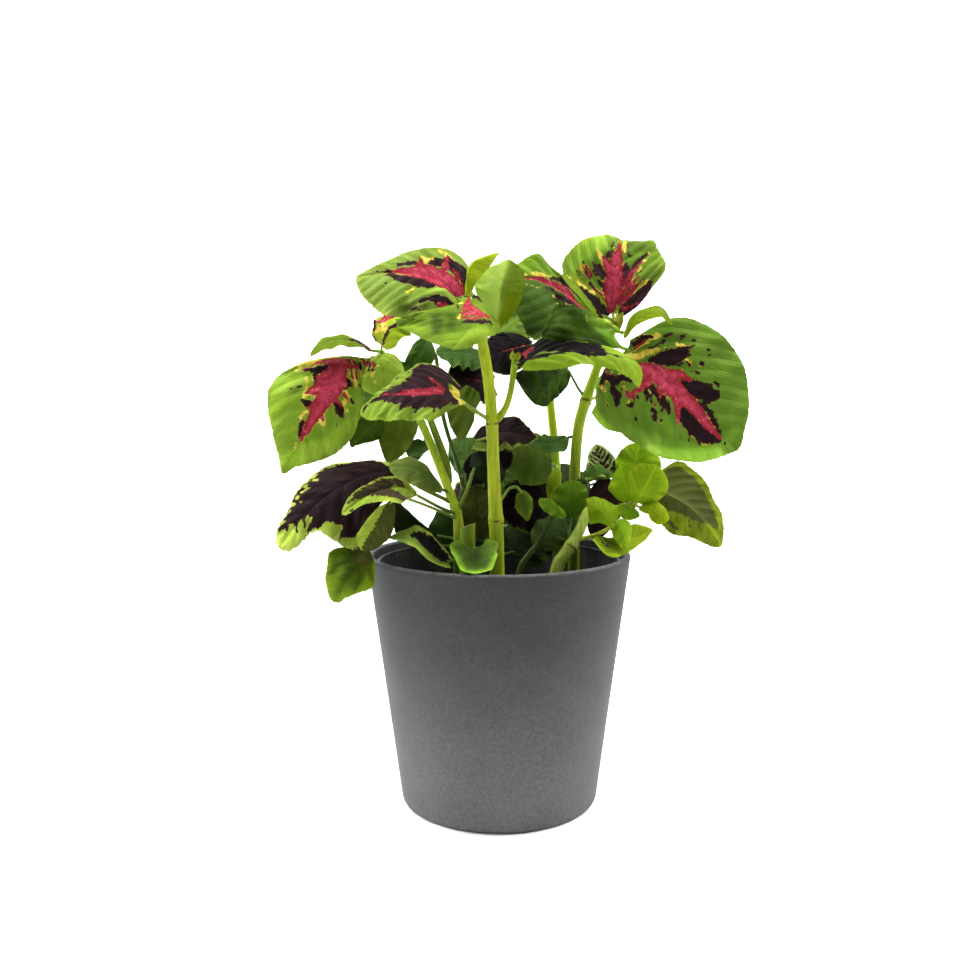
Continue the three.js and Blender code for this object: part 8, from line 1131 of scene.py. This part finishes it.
def stump_material():
    k = Nodes('stump_cut_face')
    obj = k.obj()
    cf = k.attr('cf')
    ring = k.xyz(cf.outputs['Color'])[0]
    n = k.noise(obj, 800.0, 3.0, .6)
    col = k.mix(k.ramp(k.math('ADD', ring, k.math('MULTIPLY', k.math('SUBTRACT', n, .5), .5)), .5, .95), (.17, .17, .035), (.30, .19, .07))
    col = k.mix(k.math('MULTIPLY', k.ramp(n, .5, .7), .3), col, (.24, .10, .04))
    k.put(k.p.inputs['Base Color'], col)
    k.put(k.p.inputs['Roughness'], k.ramp(n, .3, .7, .6, .8))
    k.put(k.p.inputs['Normal'], k.bump(n, .5, .0005))
    return k.m


UPPER = leaf_material('leaf_upper_face', False)
UNDER = leaf_material('leaf_underside', True)
STALK = stem_material('stem_and_petiole')
POTM, GROWM, SOILM, STUMPM = pot_material(), grow_material(), soil_material(), stump_material()

# ---- pot, grow pot and soil ----------------------------------------------------------


def pot_r(z):
    return POT_R_BASE + (POT_R_TOP - POT_R_BASE) * z / POT_H


def lathe(name, pts, seg, mat):
    """A closed turned piece. pts run from the axis under it, outside, over the lip and back to the axis."""
    B = Build()
    pts = np.array(pts, float)
    a = np.linspace(0, 2 * math.pi, seg, endpoint=False)
    ring = np.stack([pts[1:-1, None, 0] * np.cos(a), pts[1:-1, None, 0] * np.sin(a), np.repeat(pts[1:-1, None, 1], seg, 1)], -1)
    k = len(ring)
    b0 = B.verts(ring)
    I = b0 + np.arange(k * seg).reshape(k, seg)
    J = np.roll(I, -1, axis=1)
    d = np.r_[0, np.cumsum(np.hypot(*np.diff(pts[1:-1], axis=0).T))]
    w = 2 * math.pi * pts[:, 0].max() / seg
    xs = np.arange(seg) * w
    uv = np.zeros((k - 1, seg, 4, 2))
    uv[..., 0, 0] = uv[..., 3, 0] = xs
    uv[..., 1, 0] = uv[..., 2, 0] = xs + w
    uv[..., 0, 1] = uv[..., 1, 1] = d[:-1, None]
    uv[..., 2, 1] = uv[..., 3, 1] = d[1:, None]
    isl = B.island([0, 0], [seg * w, d[-1]])
    B.quads(np.stack([I[:-1], J[:-1], J[1:], I[1:]], -1), 0, uv, isl)
    for row, p, flip in ((0, pts[0], True), (k - 1, pts[-1], False)):
        c = B.verts([[0, 0, p[1]]])
        r = pts[1:-1][row, 0]
        isl = B.island([-r, -r], [r, r])
        pa = np.stack([np.cos(a) * r, np.sin(a) * r], -1)
        pb = np.roll(pa, -1, axis=0)
        pc = np.zeros_like(pa)
        tri = np.stack([J[row], I[row], np.full(seg, c)] if flip else [I[row], J[row], np.full(seg, c)], -1)
        B.tris(tri, 0, np.stack([pb, pa, pc] if flip else [pa, pb, pc], 1), isl)
    return B.make(name, [mat])


def shade_edges(ob, angle=38):
    me = ob.data
    me.polygons.foreach_set('use_smooth', np.ones(len(me.polygons), bool))
    me.set_sharp_from_angle(angle=math.radians(angle))


rl = POT_WALL / 2
zc = POT_H - rl
rc = pot_r(zc) - rl
pts = [[0, 0.0], [20, 0.0], [POT_R_BASE - 2.6, 0.0]]
for k in range(7):
    a = math.pi / 2 * k / 6
    pts.append([POT_R_BASE - 2.6 + 2.6 * math.sin(a) + .28 * (k / 6), 2.2 - 2.2 * math.cos(a)])
for z in (6, 12, 20, 30, 40, 50, 60, 70, 80, 90, 100, 110, 118, zc - 1.2):
    pts.append([pot_r(z), z])
for k in range(13):
    a = math.pi * k / 12
    pts.append([rc + rl * math.cos(a), zc + rl * math.sin(a)])
for z in (zc - 1.5, 110, 90, 60, 30, POT_FLOOR + 4):
    pts.append([pot_r(z) - POT_WALL, z])
for k in range(1, 5):
    a = math.pi / 2 * k / 4
    pts.append([pot_r(POT_FLOOR) - POT_WALL - 2.5 + 2.5 * math.cos(a), POT_FLOOR + 2.5 - 2.5 * math.sin(a)])
pts += [[20, POT_FLOOR], [0, POT_FLOOR]]
pot = lathe('pot_matt', pts, 160, POTM)
shade_edges(pot, 30)
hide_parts('pot')
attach(pot, 'root')

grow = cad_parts['grow_pot']
grow.data.materials.clear()
grow.data.materials.append(GROWM)

# soil: crumbly top, sides and bottom of its own; the CAD solid is hidden
rng = np.random.RandomState(11)
R_SOIL = pot_r(SOIL_TOP) - POT_WALL - 1.1 - GROW_WALL - .35


def bumps(x, y):
    h = 0
    for k in range(26):
        a, w, p = BUMP[k]
        h = h + a * np.sin(w[0] * x + w[1] * y + p)
    return h


BUMP = [(rng.rand() * .45, (rng.randn() * (.12 + .03 * k), rng.randn() * (.12 + .03 * k)), rng.rand() * 6.28) for k in range(26)]
B = Build()
nr, na = 46, 120
rr = np.linspace(0, 1, nr + 1)[1:] * (R_SOIL - .4)
aa = np.linspace(0, 2 * math.pi, na, endpoint=False)
RX, RY = rr[:, None] * np.cos(aa), rr[:, None] * np.sin(aa)
RZ = SOIL_TOP - .6 + bumps(RX, RY) - 1.2 * (rr[:, None] / R_SOIL) ** 6 + rng.rand(nr, na) * .7
top0 = B.verts(np.stack([RX, RY, RZ], -1))
I = top0 + np.arange(nr * na).reshape(nr, na)
J = np.roll(I, -1, axis=1)
flat = np.stack([RX, RY], -1).reshape(-1, 2)
ti = B.island([-R_SOIL, -R_SOIL], [R_SOIL, R_SOIL])
q = np.stack([I[:-1], I[1:], J[1:], J[:-1]], -1).reshape(-1, 4)
B.quads(q, 0, flat[q - top0], ti)
c = B.verts([[0, 0, SOIL_TOP]])
tri = np.stack([I[0], J[0], np.full(na, c)], -1)
B.tris(tri, 0, np.stack([flat[I[0] - top0], flat[J[0] - top0], np.zeros((na, 2))], 1), ti)
side_z = [(90, 0), (60, 0), (30, 0), (POT_FLOOR + .35 + GROW_WALL + .35 + 3, 0), (POT_FLOOR + .35 + GROW_WALL + .35, -3)]
prev = I[-1]
prev_d = 0.0
si = B.island([0, 0], [2 * math.pi * R_SOIL, 130])
for z, dr in side_z:
    r = pot_r(z) - POT_WALL - 1.1 - GROW_WALL - .75 + dr
    b = B.verts(np.stack([r * np.cos(aa), r * np.sin(aa), np.full(na, float(z))], -1))
    cur = b + np.arange(na)
    nd = prev_d + 24
    xa = aa * R_SOIL
    xb = xa + xa[1]
    uv = np.stack([np.stack([xa, np.full(na, prev_d)], -1), np.stack([xa, np.full(na, nd)], -1), np.stack([xb, np.full(na, nd)], -1), np.stack([xb, np.full(na, prev_d)], -1)], 1)
    B.quads(np.stack([prev, cur, np.roll(cur, -1), np.roll(prev, -1)], -1), 0, uv, si)
    prev, prev_d = cur, nd
c = B.verts([[0, 0, side_z[-1][0]]])
bi = B.island([-R_SOIL, -R_SOIL], [R_SOIL, R_SOIL])
rb = 44.0
pa = np.stack([np.cos(aa) * rb, np.sin(aa) * rb], -1)
B.tris(np.stack([prev, np.full(na, c), np.roll(prev, -1)], -1), 0, np.stack([pa, np.zeros_like(pa), np.roll(pa, -1, axis=0)], 1), bi)
# crumbs and a few pale grains on top
ICO = unit(np.array([[0, 1, 1.618], [0, -1, 1.618], [0, 1, -1.618], [0, -1, -1.618], [1, 1.618, 0], [-1, 1.618, 0], [1, -1.618, 0], [-1, -1.618, 0], [1.618, 0, 1], [-1.618, 0, 1], [1.618, 0, -1], [-1.618, 0, -1]]))
ICF = np.array([[0, 1, 8], [0, 9, 1], [0, 4, 5], [0, 8, 4], [0, 5, 9], [1, 6, 8], [1, 7, 6], [1, 9, 7], [2, 3, 11], [2, 10, 3], [2, 5, 4], [2, 4, 10], [2, 11, 5], [3, 6, 7], [3, 10, 6], [3, 7, 11], [4, 8, 10], [5, 11, 9], [6, 10, 8], [7, 9, 11]])
for k in range(420):
    r, a = (R_SOIL - 3) * math.sqrt(rng.rand()), rng.rand() * 6.283
    x, y = r * math.cos(a), r * math.sin(a)
    s = .5 + 1.3 * rng.rand() ** 2
    pv = ICO * s * (1 + .5 * (rng.rand(12, 1) - .5)) * [1, 1, .75] + [x, y, SOIL_TOP - .5 + float(bumps(x, y)) + .2 * s]
    pale = k % 14 == 0
    b = B.verts(pv)
    i0 = B.island([-s, -s], [s, s])
    p2 = (ICO * s)[:, :2]
    B.tris(b + ICF, 1 if pale else 0, p2[ICF], i0)
k = Nodes('perlite_grain')
n = k.noise(k.obj(), 900.0, 3.0, .6)
k.put(k.p.inputs['Base Color'], k.mix(n, (.45, .43, .38), (.68, .66, .6)))
k.put(k.p.inputs['Roughness'], k.ramp(n, .3, .7, .8, .95))
k.put(k.p.inputs['Normal'], k.bump(n, .6, .0006))
PERL = k.m
soil = B.make('potting_soil_crumbly', [SOILM, PERL])
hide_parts('potting_soil')
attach(soil, 'root')

# ---- stems, leaves and buds, one piece for each node --------------------------------
# colour of each stem, c above and c2 below the share step of its length (from c2 at the foot to c at the top where no
# step is given), with c3 below step3; these tones hold painted light and shade besides the stem's own colour; and the
# scars where leaf pairs have stood: (share of its length, strength, width mm)
STEM_LOOK = {
    'stem_front': dict(c=(.43, .49, .010), c2=(.46, .60, .018), step=.345, scars=[(.35, 1.0, 1.0), (.65, 1.0, .7)]),
    'stem_front_branch': dict(c=(.32, .42, .018), c2=(.34, .44, .014), scars=[]),
    'stem_left': dict(c=(.33, .44, .022), c2=(.62, .74, .045), step=.56, c3=(.10, .155, .014), step3=.30, scars=[(.46, .5, .6)]),
    'stem_left_branch': dict(c=(.22, .31, .016), c2=(.20, .28, .016), scars=[]),
    'stem_left_thin': dict(c=(.10, .17, .014), c2=(.05, .085, .010), scars=[]),
    'stem_right': dict(c=(.32, .42, .012), c2=(.12, .19, .012), step=.42, scars=[(.725, 1.0, 1.2)]),
    'stem_back_right': dict(c=(.48, .60, .012), c2=(.06, .10, .010), step=.5, scars=[(.5, .4, .6)]),
    'stem_low_right': dict(c=(.50, .61, .11), c2=(.50, .61, .09), scars=[(.52, .9, .8)], brown=.25),
    'stem_low_thin': dict(c=(.085, .130, .022), c2=(.09, .13, .025), scars=[(.5, .5, .8)], brown=.2),
    'cut_stump': dict(c=(.21, .32, .008), c2=(.13, .210, .009), scars=[]),
    'stem_back': dict(c=(.22, .32, .02), c2=(.10, .16, .014), scars=[(.5, .8, .9)]),
}
MATS = [UPPER, UNDER, STALK, STUMPM]


def add_stem(B, key):
    s = STEMS[key]
    look = STEM_LOOK[key]
    P = [np.array(p, float) for p in s['p']]
    r = list(s['r'])
    ring, cov, cfv, C, arc, rad, N, Bn = tube(B, P, r, 2, sides=20, step=1.3, square=.045)
    L = arc[-1]
    cut = None
    for share, strength, width in look['scars']:
        c = share * L
        g = np.exp(-((arc - c) / (width * 2.2)) ** 2)
        mid = C[np.argmin(abs(arc - c))]
        ring = ring + (ring - C[:, None]) * (.13 * g)[:, None, None]
        a = np.linspace(0, 2 * math.pi, ring.shape[1], endpoint=False)
        # the scar is a wavy ring, wider on two opposite sides
        off = width * .8 * np.sin(2 * a + c)
        cfv[..., 0] = np.maximum(cfv[..., 0], strength * np.exp(-((arc[:, None] - c - off[None]) / (width * .75)) ** 2))
    cfv[..., 1] = look.get('brown', 0) * (.55 + .45 * np.sin(cov[..., 1] * 4 / 3.0)) * np.clip(1.3 - arc / L, 0, 1)[:, None]
    # painted shade: the stem darkens from 6 mm above the soil down into it
    cfv[..., 2] = np.clip((SOIL_TOP + 6 - ring[..., 2]) / 8, 0, 1)
    cgv = np.ones(ring.shape[:2] + (4,))
    w = np.linspace(1, 0, len(C))[:, None, None]
    if 'step' in look:
        # below the share step of its length the stem takes the tone c2: painted light on some stems, painted shade on
        # others
        w = 1 / (1 + np.exp((arc[:, None, None] / L - look['step']) / .02))
    cgv[..., :3] = np.array(look['c2']) * w + np.array(look['c']) * (1 - w)
    # c3 below share step3: painted shade on the stem's lowest part, behind the cut stump
    if 'c3' in look:
        w = 1 / (1 + np.exp((arc[:, None, None] / L - look['step3']) / .03))
        cgv[..., :3] = np.array(look['c3']) * w + cgv[..., :3] * (1 - w)
    if key == 'cut_stump':
        # slanted cut: the top rings are sheared
        zt = ring[..., 2].max()
        ring[..., 2] += np.clip((arc / L - .9) / .1, 0, 1)[:, None] * ((ring[..., 0] - C[:, None, 0]) * .34 - (ring[..., 1] - C[:, None, 1]) * .10) - .9 * (arc[:, None] / L > .99)
        k, sides = ring.shape[:2]
        last = ring[-1]
        cen = last.mean(0)
        rows = [ring]
        covs, cfs, cgs = [cov], [cfv], [cgv]
        add_tube(B, ring, cov, cfv, cgv, rad, 2, cap=False)
        base = B.n - k * sides
        edge = base + (k - 1) * sides + np.arange(sides)
        # cut face with a rim
        f1 = cen + (last - cen) * .93 + [0, 0, .12]
        f2 = cen + (last - cen) * .55 + [0, 0, -.12]
        fc = cen + [0, 0, -.3]
        z = np.zeros((sides, 4))
        v1 = B.verts(last, None, z + [1, 0, 0, 0])
        v2 = B.verts(f1, None, z + [.9, 0, 0, 0])
        v3 = B.verts(f2, None, z + [.25, 0, 0, 0])
        vc = B.verts([fc], None, [[0.0, 0, 0, 0]])
        isl = B.island([-5, -5], [5, 5])
        a = np.linspace(0, 2 * math.pi, sides, endpoint=False)
        circ = lambda q: np.stack([np.cos(a) * q, np.sin(a) * q], -1)
        for va, vb, ra, rb_ in ((v1, v2, 4.4, 4.0), (v2, v3, 4.0, 2.2)):
            A_, B_ = va + np.arange(sides), vb + np.arange(sides)
            B.quads(np.stack([A_, np.roll(A_, -1), np.roll(B_, -1), B_], -1), 3, np.stack([circ(ra), np.roll(circ(ra), -1, 0), np.roll(circ(rb_), -1, 0), circ(rb_)], 1), isl)
        A_ = v3 + np.arange(sides)
        B.tris(np.stack([A_, np.roll(A_, -1), np.full(sides, vc)], -1), 3, np.stack([circ(2.2), np.roll(circ(2.2), -1, 0), np.zeros((sides, 2))], 1), isl)
        return
    add_tube(B, ring, cov, cfv, cgv, rad, 2)


def add_bud(B, node, c, h, seed):
    """a shoot tip: small leaves folded round each other"""
    c, h = np.array(c, float), np.array(h, float)
    for k in range(7):
        az = k * 2.4 + seed
        o = np.array([math.cos(az), math.sin(az), 0])
        s = np.array([-math.sin(az), math.cos(az), 0])
        up = np.array([0, 0, 1.0])
        g = 1.0 - .08 * k
        b = c - up * h[2] * .9 + o * h[0] * .15
        t = c + up * h[2] * (.9 + .25 * (k % 3)) + o * h[0] * (.9 - .1 * k)
        mid = (b + t) / 2 + o * h[0] * .45 * g
        mf = dict(id='bud%s%d' % (node, k), b=list(b), m=[list(mid)], t=list(t), l=list(mid + s * h[0] * .62 - o * h[0] * .25), r=list(mid - s * h[0] * .62 - o * h[0] * .25), tw=.5,
                  curl=[-20, -20], wave=[0, 3, 0], p='el', pet=[], at=list(b), sw=.02, lb=.0, kind='bud', quilt=.5, g=BUD_COL.get(node, (.42, .48, .04)), g2=BUD_COL.get(node, (.48, .50, .05)))
        add_leaf(B, mf, (0, 1, 2), detail=1.6)


BUD_COL = {'shoot_right': (.40, .40, .03), 'shoot_low_right': (.25, .42, .03), 'stem_right': (.50, .50, .05), 'stem_front': (.46, .46, .04)}

by_node = {}
for f in LEAVES:
    by_node.setdefault(f['n'], []).append(f)
order = [n for n in STEMS if not n.endswith('_branch')] + [n for n in by_node if n not in STEMS]
for node in order:
    B = Build()
    if node in STEMS:
        add_stem(B, node)
        if node + '_branch' in STEMS:
            add_stem(B, node + '_branch')
    for f in by_node.get(node, []):
        f.update(TWEAK.get(f['id'], {}))
        add_leaf(B, f, (0, 1, 2))
    if node in BUDS:
        c, h = BUDS[node]
        add_bud(B, node, c, h, len(node))
    ob = B.make(node + '_fine', MATS)
    ob.data.set_sharp_from_angle(angle=math.radians(80))
    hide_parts(node)
    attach(ob, 'root')

# ---- floor, light and camera ---------------------------------------------------------


def quad_light(name, loc, target, size, power, spread=180):
    d = bpy.data.lights.new(name, 'AREA')
    d.shape = 'RECTANGLE'
    d.size, d.size_y = size
    d.energy = power
    d.spread = math.radians(spread)
    o = bpy.data.objects.new(name, d)
    bpy.context.scene.collection.objects.link(o)
    o.location = loc
    v = np.array(target, float) - np.array(loc, float)
    from mathutils import Vector
    o.rotation_euler = Vector(v).to_track_quat('-Z', 'Y').to_euler()
    return o


# floor with a wide sweep behind
n = 24
prof = [(-4.0, 0.0), (1.6, 0.0)]
for k in range(1, n + 1):
    a = math.pi / 2 * k / n
    prof.append((1.6 + 1.2 * math.sin(a), 1.2 - 1.2 * math.cos(a)))
prof.append((2.8, 4.0))
V = []
for y, z in prof:
    V += [(-6.0, y, z), (6.0, y, z)]
Fc = [(2 * i, 2 * i + 1, 2 * i + 3, 2 * i + 2) for i in range(len(prof) - 1)]
me = bpy.data.meshes.new('floor')
me.from_pydata(V, [], Fc)
for p in me.polygons:
    p.use_smooth = True
floor = bpy.data.objects.new('floor', me)
bpy.context.scene.collection.objects.link(floor)
k = Nodes('floor_white')
k.p.inputs['Base Color'].default_value = (.86, .86, .86, 1)
k.p.inputs['Roughness'].default_value = .9
k.p.inputs['Specular IOR Level'].default_value = .1
me.materials.append(k.m)

world = bpy.data.worlds.new('studio')
bpy.context.scene.world = world
world.use_nodes = True
bg = world.node_tree.nodes['Background']
bg.inputs[0].default_value = (1.0, 1.0, 1.0, 1)
bg.inputs[1].default_value = WORLD
for L in LIGHTS:
    quad_light(*L)

scene = bpy.context.scene
scene.view_settings.view_transform = 'Standard'
scene.view_settings.look = 'None'
scene.view_settings.exposure = EXPOSURE
scene.view_settings.gamma = 1.0

cam = bpy.data.cameras.new('camera')
cam.sensor_fit = 'HORIZONTAL'
cam.sensor_width = 36.0
cam.lens = 36.0 * FOCAL / 980.0
cam.clip_start, cam.clip_end = .02, 30
co = bpy.data.objects.new('camera', cam)
scene.collection.objects.link(co)
co.matrix_world = Matrix([[RIGHT[i], UP[i], -FWD[i], EYE[i] / 1000.0] for i in range(3)] + [[0, 0, 0, 1]])
scene.camera = co
